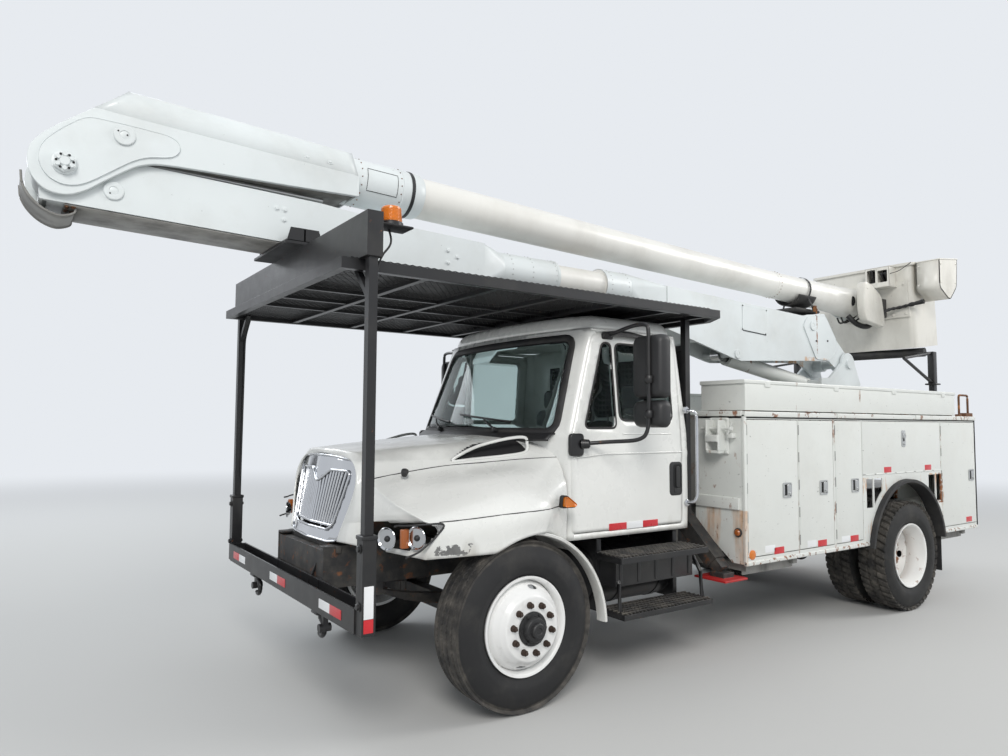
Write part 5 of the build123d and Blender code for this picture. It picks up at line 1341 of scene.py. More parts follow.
def frontSkin(y, z, lift=0.0):
    # a shallow arc in plan between the middle and the corner
    u = np.asarray(y) / cabAt("half", z)
    x = cabAt("noseX", z) - (cabAt("noseX", z) - cabAt("cornerX", z)) * u ** 2
    return np.stack([axleX + x + lift, y, z], -1)


def rearSkin(y, z, lift=0.0):
    # the flat rear wall, leaning with backX
    return np.stack([axleX + cabAt("backX", z) - lift + 0 * y, y, z], -1)


def cornerStrip(front, side):
    # a rounded corner between two edges: Bezier over their crossing point
    s = np.linspace(0, 1, 7)[:, None, None]
    control = side.copy()
    control[:, 0] = front[:, 0] + (side[:, 0] - front[:, 0]) * 0.12
    return grid((1 - s) ** 2 * front + 2 * s * (1 - s) * control + s ** 2 * side)


def cabShell(f):
    # side, front and rear sheets with their openings, joined by strips at the four corners
    parts = []
    zs = np.linspace(f["low"], f["eaves"], 40)
    c = f["corner"]
    half = cabAt("half", zs)
    frontY = half - c
    frontEdge = frontSkin(frontY, zs)
    sideX = cabAt("cornerX", zs) - c
    sideEdge = sideSkin(sideX, zs)
    outer = ([(x, z) for x, z in zip(sideX, zs)]
        + [(x, z) for x, z in zip((cabAt("backX", zs) + f["backCorner"])[::-1], zs[::-1])])
    opening = roundLoop(f["door"], 0.03)
    side = sheetOn(sideSkin, outer, [opening], 0.05)
    parts += [side, mirror(side)]
    strip = cornerStrip(frontEdge, sideEdge)
    parts += [strip, mirror(strip)]
    front = [(y, z) for y, z in zip(frontY, zs)] + [(-y, z) for y, z in zip(frontY[::-1], zs[::-1])]
    parts.append(sheetOn(frontSkin, front, [roundLoop(f["screen"], 0.07)], 0.05))
    b = f["backCorner"]
    backY = half - b
    rear = [(y, z) for y, z in zip(backY, zs)] + [(-y, z) for y, z in zip(backY[::-1], zs[::-1])]
    parts.append(sheetOn(rearSkin, rear, [roundLoop(f["rear"], 0.05)], 0.08))
    backEdge, sideBack = rearSkin(backY, zs), sideSkin(cabAt("backX", zs) + b, zs)
    a = np.radians(np.linspace(0, 90, 9))[:, None, None]
    centre = np.stack([sideBack[:, 0], backEdge[:, 1], zs], -1)
    turn = centre + (sideBack - centre) * np.cos(a) + (backEdge - centre) * np.sin(a)
    corner = grid(turn)
    parts += [corner, mirror(corner)]
    return joined(parts)


def cabRoof(f):
    # a dome over the eaves: rings that shrink as 1 - cos while they rise as sin
    z = f["eaves"]
    half, front, mid, back = cabAt("half", z), cabAt("cornerX", z), cabAt("noseX", z), cabAt("backX", z)
    y = np.linspace(-1, 1, 33)
    nose = np.stack([mid - (mid - front) * y ** 2, y * half], -1)[3:-3]
    left = np.array([[front - 0.04, half], [back + 0.12, half], [back, half - 0.12]])
    line = np.concatenate([nose, left, left[::-1] * [1, -1]])
    line = np.array(roundLoop(evenly([tuple(p) for p in line.tolist()], 0.12).tolist(), 0.05, 3))
    centre = np.array([-1.17, 0.0])
    rings = []
    rise = f["crown"] - z
    for t in np.linspace(0, 1, 22):
        shrink = 1 - 0.10 * (1 - math.cos(min(t / 0.35,
            1) * math.pi / 2)) if t < 0.35 else 0.90 * (1 - (t - 0.35) / 0.65)
        lift = rise * (0.72 * math.sin(min(t / 0.35, 1) * math.pi / 2) + 0.28 * (1 - (1 - t) ** 2))
        flat = centre + (line - centre) * max(shrink, 0.01)
        rings.append(line3(axleX + flat[:, 0], flat[:, 1], z + lift))
    v, faces = grid(np.stack(rings), closeV=True)
    n = len(line)
    return v, faces + [tuple(range((len(rings) - 1) * n, len(rings) * n))]


def bandOf(skin, loop, width, lift):
    # a gasket between an opening's edge and that edge moved out by its width, lifted off the skin
    return sheetOn(lambda a, b: skin(a, b, lift), insetLoop(loop, -width), [loop], 0.03)


def makeCab(f):
    # shell, roof, gaskets, panes, drip rails, floor and cowl
    shell = piece("cabShell", cabShell(f), cabPaint, replaces=["cab"], smooth=40)
    walled(welded(shell, 0.001), f["wall"])
    roof = piece("cabRoof", cabRoof(f), cabPaint, smooth=50)
    walled(roof, 0.02)
    rim = roundLoop(f["screen"], 0.07)
    gasket = piece("screenGasket", bandOf(frontSkin, rim, 0.045, 0.004), rubberBlack, smooth=40)
    walled(gasket, 0.012)
    inner = roundLoop(insetLoop(f["screen"], 0.014), 0.06)
    piece("screenFrit", bandOf(frontSkin, inner, 0.016, -0.006), gapBlack)
    rearRim = piece("rearGasket", bandOf(rearSkin, roundLoop(f["rear"], 0.05), 0.03, 0.004), rubberBlack)
    walled(rearRim, 0.012)
    screen = sheetOn(lambda a, b: frontSkin(a, b, -0.008), rim, (), 0.08)
    back = sheetOn(lambda a, b: rearSkin(a, b, -0.010), roundLoop(f["rear"], 0.05), (), 0.08)
    glass = piece("cabWindows", [screen, back], windowGlass, replaces=["cab_glass"])
    walled(glass, 0.006)
    # drip rails, cowl grille and floor
    drips = []
    for _, d in sides:
        drips.append(tube(line3(axleX + np.linspace(-0.70, -1.52, 12), d * (cabAt("half", 2.398)
            + 0.006) * np.ones(12), 2.392), 0.008, 8))
    piece("dripRails", drips, cabPaint)
    floor = joined([padBox(at(-1.63, -0.98, 0.990), at(-0.44, 0.98, 1.004), 0.004),
        padBox(at(-0.475, -0.95, 1.0), at(-0.445, 0.95, 1.62), 0.004)])
    piece("cabFloor", floor, dashPlastic)
    y = np.linspace(-0.90, 0.90, 60)
    cowl = [line3(frontSkin(y, np.full(60, 1.655))[:, 0] + k, y, z) for k,
        z in ((0.055, 1.618), (0.060, 1.628), (0.030, 1.655), (0.002, 1.668), (-0.05, 1.640))]
    cowlPiece = piece("cowlGrille", grid(np.stack(cowl)), plasticBlack)
    walled(cowlPiece, 0.008, 0)


def makeDoor(f, side, d):
    # the panel bent onto the side, its gaskets and panes, creases, handle, tapes and mirror
    body = "door_" + side
    gap = insetLoop(f["door"], 0.006)
    vent, window = roundLoop(f["vent"], 0.035), roundLoop(f["window"], 0.05)
    panel = sheetOn(lambda a, b: sideSkin(a, b, 0.0), roundLoop(gap, 0.03), [vent, window], 0.045)
    obj = piece("doorPanel_" + side, sided(panel, d), cabPaint, body, replaces=["door_" + side], smooth=50)
    walled(obj, 0.034)
    gaskets = joined([bandOf(sideSkin, vent, 0.013, 0.002), bandOf(sideSkin, window, 0.013, 0.002)])
    ring = piece("doorGaskets_" + side, sided(gaskets, d), rubberBlack, body)
    walled(ring, 0.016)
    panes = joined([sheetOn(lambda a, b: sideSkin(a, b, -0.012), vent, (), 0.1),
        sheetOn(lambda a, b: sideSkin(a, b, -0.012), window, (), 0.1)])
    glass = piece("doorPanes_" + side, sided(panes, d), windowGlass, body, replaces=["door_glass_" + side])
    walled(glass, 0.005)
    # crease along the belt and a press line under the window
    xs = np.linspace(-0.47, -1.525, 20)
    crease = tube(sideSkin(xs, np.interp(xs, [-1.5, -0.75, -0.47], [1.531, 1.529, 1.508]), 0.002), 0.006, 8)
    fold = tube(sideSkin(np.linspace(-0.93, -1.42, 8), np.full(8, 1.665), 0.000), 0.005, 8)
    piece("doorCrease_" + side, sided(joined([crease, fold]), d), cabPaint, body, smooth=80)
    # recessed handle in a black surround
    handle = [padBox(at(-1.526, 1.012, 1.212), at(-1.394, 1.0235, 1.458), 0.03, axis=1, edge=0.003),
        padBox(at(-1.490, 1.022, 1.270), at(-1.452, 1.036, 1.425), 0.012, axis=1, edge=0.005),
        padBox(at(-1.500, 1.022, 1.230), at(-1.440, 1.028, 1.262), 0.010, axis=1, edge=0.003)]
    piece("doorHandle_" + side, sided(joined(handle), d), plasticBlack, body)
    # the cup in a darker black than its surround: its black plastic with painted shade inside
    well = padBox(at(-1.515, 1.0225, 1.268), at(-1.428, 1.0245, 1.440), 0.02, axis=1, edge=0.001)
    piece("handleWellShade_" + side, sided(well, d), gapBlack, body)
    for color, mat, spans in (("Red", tapeRed, ((-0.795, -0.957), (-1.116, -1.267))),
            ("White", tapeWhite, ((-0.957, -1.116),))):
        strips = [padBox(at(b, 1.016, 1.006), at(a, 1.0215, 1.052), 0.002, axis=1, edge=0.001) for a,
            b in spans]
        piece("doorTape" + color + "_" + side, sided(joined(strips), d), mat, body, "white_paint")
    makeMirror(side, d, body)


def makeMirror(side, d, body):
    # bowed tube from its base to over the window, carrying a head of two parts
    ax = axleX - 0.848
    arm = rounded([at(-0.56, 1.03, 1.600), at(-0.66, 1.10, 1.612), (ax + 0.03, 1.320, 1.628),
        (ax, 1.345, 1.72), (ax, 1.345, 2.34), (ax, 1.335, 2.400), (ax + 0.005, 1.20, 2.402),
        (ax + 0.005, 0.945, 2.352)], 0.10, 8)
    parts = [tube(arm, 0.0135, 14), padBox(at(-0.545, 1.018, 1.520), at(-0.425, 1.050, 1.670), 0.025, axis=1,
        edge=0.01), turned([(0, 0.034), (0.05, 0.030), (0.06, 0.020)], at(-0.525, 1.04, 1.600),
        (-0.75, 0.66, 0), 24), padBox((ax - 0.045, 0.925, 2.330), (ax + 0.055, 0.965, 2.372), 0.012, axis=0)]
    for z in (2.03, 1.80):
        parts.append(turned([(-0.026, 0.024), (-0.018, 0.030), (0.018, 0.030), (0.026, 0.024)],
            (ax, 1.345, z), (0, 0, 1), 20))
        parts.append(padBox((ax - 0.075, 1.332, z - 0.018), (ax - 0.01, 1.360, z + 0.018), 0.006, axis=0))
    piece("mirrorArm_" + side, sided(joined(parts), d), blackPaint, body, smooth=40)
    heads, glasses = [], []
    for low, high in ((1.905, 2.331), (1.712, 1.893)):
        rings = []
        for x, shrink in ((0.050, 0.030), (0.046, 0.018), (0.030, 0.007), (0.0, 0.0), (-0.035, 0.0),
                (-0.045, 0.004)):
            flat = roundRect(0.272 - 2 * shrink, high - low - 2 * shrink, 0.045, 6)
            rings.append(line3(ax - 0.062 + x, 1.304 + flat[:, 0], (low + high) / 2 + flat[:, 1]))
        heads.append(lofted(rings))
        flat = roundRect(0.246, high - low - 0.026, 0.038, 6)
        glasses.append(plate(flat, (ax - 0.1085, 1.304, (low + high) / 2), (0, 1, 0), (0, 0, -1), 0.003))
    piece("mirrorHeads_" + side, sided(joined(heads), d), plasticBlack, body, smooth=40)
    piece("mirrorGlass_" + side, sided(joined(glasses), d), mirrorGlass, body)


def makeCabParts():
    # grab handles behind the doors, visors, roof lamps and wipers
    for side, d in sides:
        route = rounded([at(-1.575, 1.022, 1.842), at(-1.60, 1.075, 1.835), at(-1.62, 1.085, 1.80),
            at(-1.62, 1.085, 1.20), at(-1.60, 1.075, 1.160), at(-1.575, 1.022, 1.152)], 0.03, 6)
        parts = [tube(route, 0.0125, 14)]
        for z in (1.842, 1.152):
            parts.append(turned([(-0.01, 0.026), (0.010, 0.026), (0.016, 0.018)], at(-1.575, 1.020, z),
                (0, 1, 0), 24))
        piece("grabHandle_" + side, sided(joined(parts), d), chrome)
        # sun visor over the side window
        xs = np.linspace(-0.80, -1.20, 18)
        rows = [line3(axleX + xs, y, z + 0.02 * np.sin((xs + 0.8) / -0.4 * math.pi)) for y,
            z in ((0.930, 2.375), (0.962, 2.380), (0.985, 2.362), (0.992, 2.338), (0.980, 2.338),
            (0.950, 2.360))]
        visor = lofted(np.stack(rows, axis=1))
        piece("sideVisor_" + side, sided(visor, d), plasticBlack)
    # roof marker lamps on their bases
    lamps, bases = [], []
    for y in (-0.68, -0.20, 0.0, 0.20, 0.68):
        x = -0.655 - 0.20 * (y / 0.68) ** 2 + (0.055 if abs(y) > 0.5 else 0)
        z = 2.446 - 0.018 * (abs(y) > 0.5)
        a = np.linspace(0, 2 * math.pi, 28, endpoint=False)
        lean = np.array([0.46, 0, 0.888])
        across = np.array([-0.25 * np.sign(y) * (abs(y) > 0.5), 0.968 if abs(y) > 0.5 else 1.0, 0])
        up = np.cross(lean, across)
        up /= np.linalg.norm(up)
        centre = np.array([axleX + x, y, z])
        def oval(w, h, lift):
            return centre + lean * lift + w * np.cos(a)[:, None] * across + h * np.sin(a)[:, None] * up
        bases.append(lofted([oval(0.070, 0.032, -0.02), oval(0.070, 0.032, 0.006),
            oval(0.064, 0.027, 0.010)]))
        lamps.append(lofted([oval(0.060, 0.024, 0.006), oval(0.058, 0.023, 0.018), oval(0.045, 0.016, 0.028),
            oval(0.015, 0.005, 0.032)]))
    piece("roofLampBases", bases, cabPaint, smooth=50)
    piece("roofLamps", lamps, amber, smooth=50)
    # wipers resting low on the screen
    wipers = []
    for y0, y1, tipY in ((0.44, 0.30, -0.05), (-0.30, -0.44, -0.76)):
        foot = frontSkin(np.array([y0]), np.array([1.690]), 0.03)[0]
        knee = frontSkin(np.array([y1]), np.array([1.765]), 0.045)[0]
        wipers.append(tube([foot, (foot + knee) / 2 + [0.012, 0, 0.005], knee], [0.010, 0.007, 0.006], 8))
        k = np.linspace(0, 1, 9)
        blade = frontSkin(y1 + 0.24 + (tipY - y1 - 0.26) * k, 1.745 + 0.055 * k, 0.012)
        wipers.append(tube(blade, 0.008, 8))
        wipers.append(turned([(-0.02, 0.018), (0.012, 0.018), (0.018, 0.010)], foot, (1, 0, 0.3), 16))
    piece("wipers", wipers, plasticBlack, smooth=40)
    makeInside()


def makeInside():
    # seats, dashboard with its steering wheel, and the guard inside the rear window
    seats = []
    for d in (1, -1):
        y = 0.48 * d
        seats += [padBox(at(-1.47, y - 0.24, 1.18), at(-1.00, y + 0.24, 1.33), 0.06, axis=2, edge=0.05),
            padBox(at(-1.585, y - 0.24, 1.30), at(-1.47, y + 0.24, 1.86), 0.07, axis=0, edge=0.05),
            padBox(at(-1.57, y - 0.13, 1.86), at(-1.48, y + 0.13, 2.04), 0.05, axis=0, edge=0.035)]
        seats += [padBox(at(-1.43, y - 0.2, 1.004), at(-1.05, y + 0.2, 1.185), 0.03, axis=2)]
    piece("seats", seats, seatCloth, replaces=["cab_interior"], smooth=50)
    dash = [padBox(at(-0.70, -0.93, 1.30), at(-0.50, 0.93, 1.655), 0.05, axis=1),
        padBox(at(-0.76, 0.18, 1.42), at(-0.66, 0.80, 1.66), 0.05, axis=1), padBox(at(-0.74, -0.17, 1.10),
        at(-0.55, 0.15, 1.60), 0.04, axis=2), tube([at(-0.70, 0.48, 1.46), at(-0.835, 0.48, 1.575)], 0.028,
        14)]
    a = np.linspace(0, 2 * math.pi, 48, endpoint=False)
    wheelAxis = np.array([-0.77, 0, 0.64])
    tilt = np.array([0.64, 0, 0.77])
    centre = np.array([axleX - 0.845, 0.48, 1.585])
    ring = centre + 0.225 * (np.cos(a)[:, None] * np.array([0, 1, 0]) + np.sin(a)[:, None] * tilt)
    dash.append(tube(ring, 0.014, 10, closed=True))
    for ang in (20, 160, 270):
        r = math.radians(ang)
        dash.append(tube([centre, centre + 0.22 * (math.cos(r) * np.array([0, 1, 0]) + math.sin(r) * tilt)],
            0.012, 8))
    dash.append(turned([(-0.03, 0.045), (0.012, 0.055), (0.022, 0.045)], centre, wheelAxis, 24))
    piece("dashboard", dash, dashPlastic, smooth=45)
    # guard with round-cornered openings inside the rear window
    cols, rows = 26, 10
    y0, z0, wY, wZ = -0.60, 1.81, 1.20 / cols, 0.42 / rows
    holes = [[(y0 + (i + 0.16) * wY, z0 + (j + 0.16) * wZ), (y0 + (i + 0.84) * wY, z0 + (j + 0.16) * wZ),
        (y0 + (i + 0.84) * wY, z0 + (j + 0.84) * wZ), (y0 + (i + 0.16) * wY, z0 + (j + 0.84) * wZ)]
        for i in range(cols) for j in range(rows)]
    guard = sheetOf([(-0.625, 1.79), (0.625, 1.79), (0.625, 2.25), (-0.625, 2.25)], holes, at(-1.585, 0, 0),
        (0, 1, 0), (0, 0, 1), 0.003)
    piece("windowGuard", guard, blackPaint, slot="mesh_steel")


makeCab(cabForm)
for side, d in sides:
    makeDoor(cabForm, side, d)
makeCabParts()
print("cab ready")


# Side packs: shell, compartment doors with latches, tapes, lamps and the boxes on top
packForm = {
    "bottom": 0.680, "sill": 0.965, "top": 1.810, "inner": 0.745, "outer": bodySide, "slope": 1.100,
    "wall": 0.028,
    # front edge, rear edge, bottom, top, latch x, latch z
    "doors": {
        "front": (-2.030, -2.684, 0.730, 1.775, -2.530, 1.217),
        "second": (-2.700, -3.194, 0.730, 1.775, -3.040, 1.216),
        "third": (-3.227, -3.649, 0.730, 1.775, -3.524, 1.213),
        "long": (-3.662, -5.105, 1.296, 1.775, -4.382, 1.610),
        "rear": (-5.122, -5.860, 0.730, 1.775, -5.764, 1.227),
    },
    "archX": -4.415, "archZ": 0.55, "archR": 0.685,
    "gap": 0.004,
    # door, centre x, centre z, colour
    "tapes": [("front", -2.300, 0.775, "white"), ("front", -2.415, 0.752, "red"),
              ("second", -2.860, 0.765, "white"), ("second", -3.010, 0.757, "red"),
              ("third", -3.365, 0.760, "white"), ("third", -3.500, 0.755, "red"),
              ("long", -4.085, 1.330, "red"), ("long", -4.845, 1.330, "red"),
              ("rear", -5.690, 0.770, "red")],
    "tape": (0.128, 0.052),
    "boxFront": -2.030, "boxRear": -5.470, "boxLow": 1.846, "boxHigh": 2.085,
    "boxIn": 0.787, "boxOut": 1.210,
}


def packShell(f):
    # walls, floor, partitions and the frame that shows between the doors
    w, x0, x1 = f["wall"], bodyRear, bodyFront
    section = [(f["inner"], f["sill"]), (f["slope"], f["bottom"]), (f["outer"], f["bottom"]),
        (f["outer"], f["top"]), (f["inner"], f["top"])]
    ends = [plate(section, (x, 0, 0), (0, 1, 0), (0, 0, 1), w) for x in (x0, x1 - w)]
    slope = [(f["inner"] + 0.004, f["sill"]), (f["slope"], f["bottom"] + 0.002),
        (f["slope"], f["bottom"] + w), (f["inner"] + 0.004, f["sill"] + w)]
    arch = (f["archX"] + axleX, f["archR"])
    spans = ((x0 + w, arch[0] - arch[1] - 0.006), (arch[0] + arch[1] + 0.006, x1 - w))
    floors = [plate(slope, (a, 0, 0), (0, 1, 0), (0, 0, 1), b - a) for a, b in spans]
    floors += [padBox((a, f["slope"], f["bottom"]), (b, f["outer"] - 0.03, f["bottom"] + w), 0.002) for a,
        b in spans]
    inner = padBox((x0 + w, f["inner"], 1.28), (x1 - w, f["inner"] + w, f["top"] - w), 0.002)
    low = [padBox((a, f["inner"], f["sill"]), (b, f["inner"] + w, 1.28), 0.002) for a, b in spans]
    top = padBox((x0, f["inner"], f["top"] - w), (x1, f["outer"], f["top"]), 0.003)
    shelf = padBox(at(-5.11, f["inner"] + w, 1.262), at(-3.65, f["outer"] - 0.03, 1.292), 0.002)
    parts = ends + floors + low + [inner, top, shelf]
    for x in partitions:
        low = [(f["inner"] + w, 1.0), (f["slope"], f["bottom"] + w), (f["outer"] - 0.032, f["bottom"] + w),
            (f["outer"] - 0.032, f["top"] - w), (f["inner"] + w, f["top"] - w)]
        if x in partitions[2:]:
            low[0:3] = [(f["inner"] + w, 1.29), (f["outer"] - 0.032, 1.29)]
        parts.append(plate(low, at(x - 0.012, 0, 0), (0, 1, 0), (0, 0, 1), 0.024))
    return joined(parts)


def packFace(f):
    # outer sheet with the door openings, the arch and the slots beside it
    x0, x1 = bodyRear, bodyFront
    cx, cz, r = axleX + f["archX"], f["archZ"], f["archR"]
    start = math.degrees(math.asin((f["bottom"] - cz) / r))
    arch = arcPoints((cx, cz), r, start, 180 - start, 60)
    outer = [(x1, f["bottom"])] + arch.tolist() + [(x0, f["bottom"]), (x0, f["top"]), (x1, f["top"])]
    holes = []
    for a, b, low, high, _, _ in f["doors"].values():
        ha, hb, g = axleX + a, axleX + b, f["gap"]
        holes.append([(hb - g, low - g), (ha + g, low - g), (ha + g, high + g), (hb - g, high + g)])
    rim = r + 0.045
    edge = lambda x: cz + math.sqrt(max(rim ** 2 - (x - cx) ** 2, 0))
    for a, b in ((-3.715, -3.825), (-3.845, -3.985), (-4.850, -4.985), (-5.005, -5.095)):
        xs = np.linspace(axleX + b, axleX + a, 8)
        low = [(x, max(edge(x), 1.00)) for x in xs]
        holes.append(low + [(axleX + a, 1.258), (axleX + b, 1.258)])
    return sheetOf(outer, holes, (0, f["outer"], 0), (1, 0, 0), (0, 0, 1), 0.010)


def paddleLatch(x, z, y):
    # a square pan with a rolled frame, its paddle hinged on the rear side over a recess in near-black,
    # painted shade
    frameLine = roundRect(0.112, 0.118, 0.012, 4)
    inner = roundRect(0.092, 0.098, 0.008, 4)
    ring = sheetOf(frameLine, [inner], (x, y, z), (-1, 0, 0), (0, 0, 1), 0.008)
    paddle = padBox((x - 0.044, y - 0.004, z - 0.043), (x + 0.004, y + 0.010, z + 0.043), 0.008, axis=1,
        edge=0.003)
    lug = padBox((x + 0.030, y - 0.004, z - 0.040), (x + 0.044, y + 0.005, z + 0.040), 0.004, axis=1)
    lock = turned([(0, 0.009), (0.008, 0.009), (0.010, 0.006)], (x - 0.022, y + 0.008, z - 0.026), (0, 1, 0),
        18)
    recess = padBox((x - 0.046, y - 0.020, z - 0.048), (x + 0.046, y + 0.001, z + 0.048), 0.006, axis=1)
    return joined([ring, paddle, lug, lock]), recess


def barLatch(x, z, y):
    # the long door's upright latch: a plate with a folding ring and a key hole, with a dark slot of painted
    # shade under its bar
    base = padBox((x - 0.036, y - 0.002, z - 0.075), (x + 0.036, y + 0.006, z + 0.085), 0.02, axis=1,
        edge=0.003)
    ring = tube(line3(x + 0.020 * np.cos(np.linspace(0, 2 * math.pi, 20, endpoint=False)), y + 0.014, z
        + 0.030 + 0.026 * np.sin(np.linspace(0, 2 * math.pi, 20, endpoint=False))), 0.005, 8, closed=True)
    bar = padBox((x - 0.030, y + 0.002, z + 0.010), (x + 0.030, y + 0.013, z + 0.028), 0.004, axis=1)
    key = turned([(0, 0.010), (0.012, 0.010), (0.014, 0.007)], (x, y + 0.004, z - 0.045), (0, 1, 0), 18)
    hole = padBox((x - 0.013, y + 0.003, z - 0.022), (x + 0.013, y + 0.0072, z + 0.006), 0.006, axis=1,
        edge=0.001)
    return joined([base, ring, bar, key]), hole


def makeDoors(f, side, d):
    # each compartment door: slab, pressed line, latch over its recess of painted shade, tapes
    for name, (front, rear, low, high, lx, lz) in f["doors"].items():
        body, g = "compartment_%s_%s" % (name, side), 0.002
        a, b = axleX + rear + g, axleX + front - g
        slab = padBox((a, f["outer"] - 0.024, low + g), (b, f["outer"] + 0.0005, high - g), 0.004, axis=1,
            edge=0.003)
        lip = roundRect(b - a - 0.03, high - low - 0.034, 0.01, 3)
        mid = ((a + b) / 2, f["outer"] - 0.0015, (low + high) / 2)
        crease = tube(np.array([[mid[0] + u, mid[1], mid[2] + v] for u, v in lip]), 0.0022, 6, closed=True)
        latch, dark = (barLatch if name == "long" else paddleLatch)(axleX + lx, lz, f["outer"])
        parts = [slab, crease]
        if name == "long":
            parts += [padBox((a + k * 0.178, f["outer"] - 0.006, low - 0.007),
                (a + k * 0.178 + 0.150, f["outer"] + 0.004, low + 0.006), 0.004, axis=0) for k in range(8)]
        piece("door_%s_%s" % (name, side), sided(joined(parts), d), packPaint, body, replaces=[body],
            smooth=40)
        piece("latch_%s_%s" % (name, side), sided(latch, d), zinc, body, "bright_steel")
        # the recess and slot in near-black: painted shade
        piece("recess_%s_%s" % (name, side), sided(dark, d), gapBlack, body)
        for color, mat in (("white", tapeWhite), ("red", tapeRed)):
            w, h = f["tape"]
            strips = [padBox(at(x - w / 2, f["outer"], z - h / 2), at(x + w / 2, f["outer"] + 0.0016, z
                + h / 2), 0.002, axis=1) for n, x, z, c in f["tapes"] if n == name and c == color]
            if strips:
                piece("tape_%s_%s_%s" % (color, name, side), sided(joined(strips), d), mat, body,
                    "white_paint")


def makePack(f, side, d):
    # a side pack and its fittings
    body = "chassis"
    piece("packShell_" + side, sided(joined([packShell(f), packFace(f)]), d), packPaint, body,
        replaces=["body_" + side], smooth=30)
    # rolled lip along the bottom and the cap rail in three lengths along the top
    lips = [padBox((bodyRear + 0.01, 1.195, 0.668), at(-5.105, bodySide + 0.006, 0.700), 0.006, axis=0),
        padBox(at(-3.745, 1.195, 0.668), (bodyFront - 0.005, bodySide + 0.006, 0.700), 0.006, axis=0)]
    for a, b in ((bodyRear, axleX - 4.62), (axleX - 4.605, axleX - 3.262), (axleX - 3.247, bodyFront)):
        lips.append(padBox((a, 1.165, 1.796), (b, bodySide + 0.012, 1.838), 0.006, axis=0))
    lips.append(padBox(at(-2.026, 1.196, 0.69), (bodyFront + 0.004, bodySide + 0.004, 1.80), 0.005, axis=2))
    lips.append(padBox((bodyFront - 0.006, 0.757, 1.085), (bodyFront + 0.018, 1.174, 1.177), 0.006, axis=1))
    lips.append(padBox((bodyFront - 0.02, 0.745, 1.80), (bodyFront + 0.012, 1.20, 1.842), 0.006, axis=1))
    piece("packLips_" + side, sided(joined(lips), d), packPaint, body)
    # hinge knuckles at the doors' front edges
    pins = []
    for name, (front, _, low, high, _, _) in f["doors"].items():
        if name != "long":
            for k in range(5):
                z = low + 0.08 + k * (high - low - 0.16) / 4
                pins.append(tube([at(front + 0.003, bodySide + 0.001, z - 0.04), at(front + 0.003, bodySide
                    + 0.001, z + 0.04)], 0.0045, 8))
    piece("packHinges_" + side, sided(joined(pins), d), galvanised, body)
    # step vise bracket on the front face
    vise = [padBox((bodyFront, 0.905, 1.505), (bodyFront + 0.016, 1.085, 1.79), 0.01, axis=0),
        padBox((bodyFront + 0.010, 0.925, 1.53), (bodyFront + 0.100, 0.945, 1.77), 0.006, axis=1),
        padBox((bodyFront + 0.010, 1.040, 1.53), (bodyFront + 0.100, 1.060, 1.77), 0.006, axis=1),
        padBox((bodyFront + 0.030, 0.93, 1.60), (bodyFront + 0.110, 1.055, 1.655), 0.008, axis=0),
        padBox((bodyFront + 0.020, 0.93, 1.51), (bodyFront + 0.095, 1.055, 1.535), 0.008, axis=0),
        tube([(bodyFront + 0.060, 0.865, 1.705), (bodyFront + 0.060, 1.135, 1.705)], 0.011, 12),
        tube([(bodyFront + 0.070, 1.120, 1.66), (bodyFront + 0.070, 1.160, 1.75)], 0.007, 10),
        padBox((bodyFront, 1.085, 1.63), (bodyFront + 0.050, 1.150, 1.672), 0.008, axis=0),
        turned([(0, 0.020), (0.02, 0.020), (0.028, 0.014)], (bodyFront + 0.060, 1.128, 1.705), (0, 1, 0), 20),
        bolts([(bodyFront + 0.016, y, z) for y in (0.918, 1.072) for z in (1.52, 1.775)], (1, 0, 0))]
    piece("viseBracket_" + side, sided(joined(vise), d), packPaint, body, smooth=40)
    # amber lamp on the front face and the round reflector on the side
    lamp = [turned([(0, 0.034), (0.010, 0.034), (0.014, 0.030)], (bodyFront, 1.156, 0.915), (1, 0, 0), 32)]
    piece("markerBase_" + side, sided(joined(lamp), d), rubberBlack, body)
    lens = turned([(0.008, 0.026), (0.018, 0.025), (0.026, 0.018), (0.028, 0.006)], (bodyFront, 1.156, 0.915),
        (1, 0, 0), 32)
    piece("markerLens_" + side, sided(lens, d), amberDark, body)
    disc = turned([(0, 0.037), (0.006, 0.036), (0.009, 0.030), (0.0095, 0.004)], at(-2.077, bodySide, 0.748),
        (0, 1, 0), 36)
    piece("sideReflector_" + side, sided(disc, d), amber, "compartment_front_" + side)
    # brackets and pin behind the box on the rear end
    rails = [tube(rounded([(bodyRear + 0.30, 1.20, 1.84), (bodyRear + 0.30, 1.20, 2.06),
        (bodyRear + 0.10, 1.20, 2.06), (bodyRear + 0.10, 1.20, 1.84)], 0.03), 0.011, 10),
        padBox((bodyRear + 0.02, 1.15, 1.835), (bodyRear + 0.18, 1.215, 1.875), 0.006, axis=2),
        padBox((bodyRear + 0.27, 1.17, 1.835), (bodyRear + 0.33, 1.215, 1.860), 0.006, axis=2)]
    piece("tailBracket_" + side, sided(joined(rails), d), rustSteel, body)
    # tail lamps on the rear face
    back = [turned([(0, 0.056), (0.006, 0.056), (0.016, 0.046), (0.018, 0.004)], (bodyRear, 1.12, z),
        (-1, 0, 0), 36) for z in (0.80, 0.935)]
    piece("tailLamps_" + side, sided(joined(back), d), lampRed, body)
    rims = [turned([(-0.001, 0.064), (0.008, 0.064), (0.009, 0.056), (0.003, 0.056)], (bodyRear, 1.12, z),
        (-1, 0, 0), 36) for z in (0.80, 0.935)]
    piece("tailLampRims_" + side, sided(joined(rims), d), rubberBlack, body)


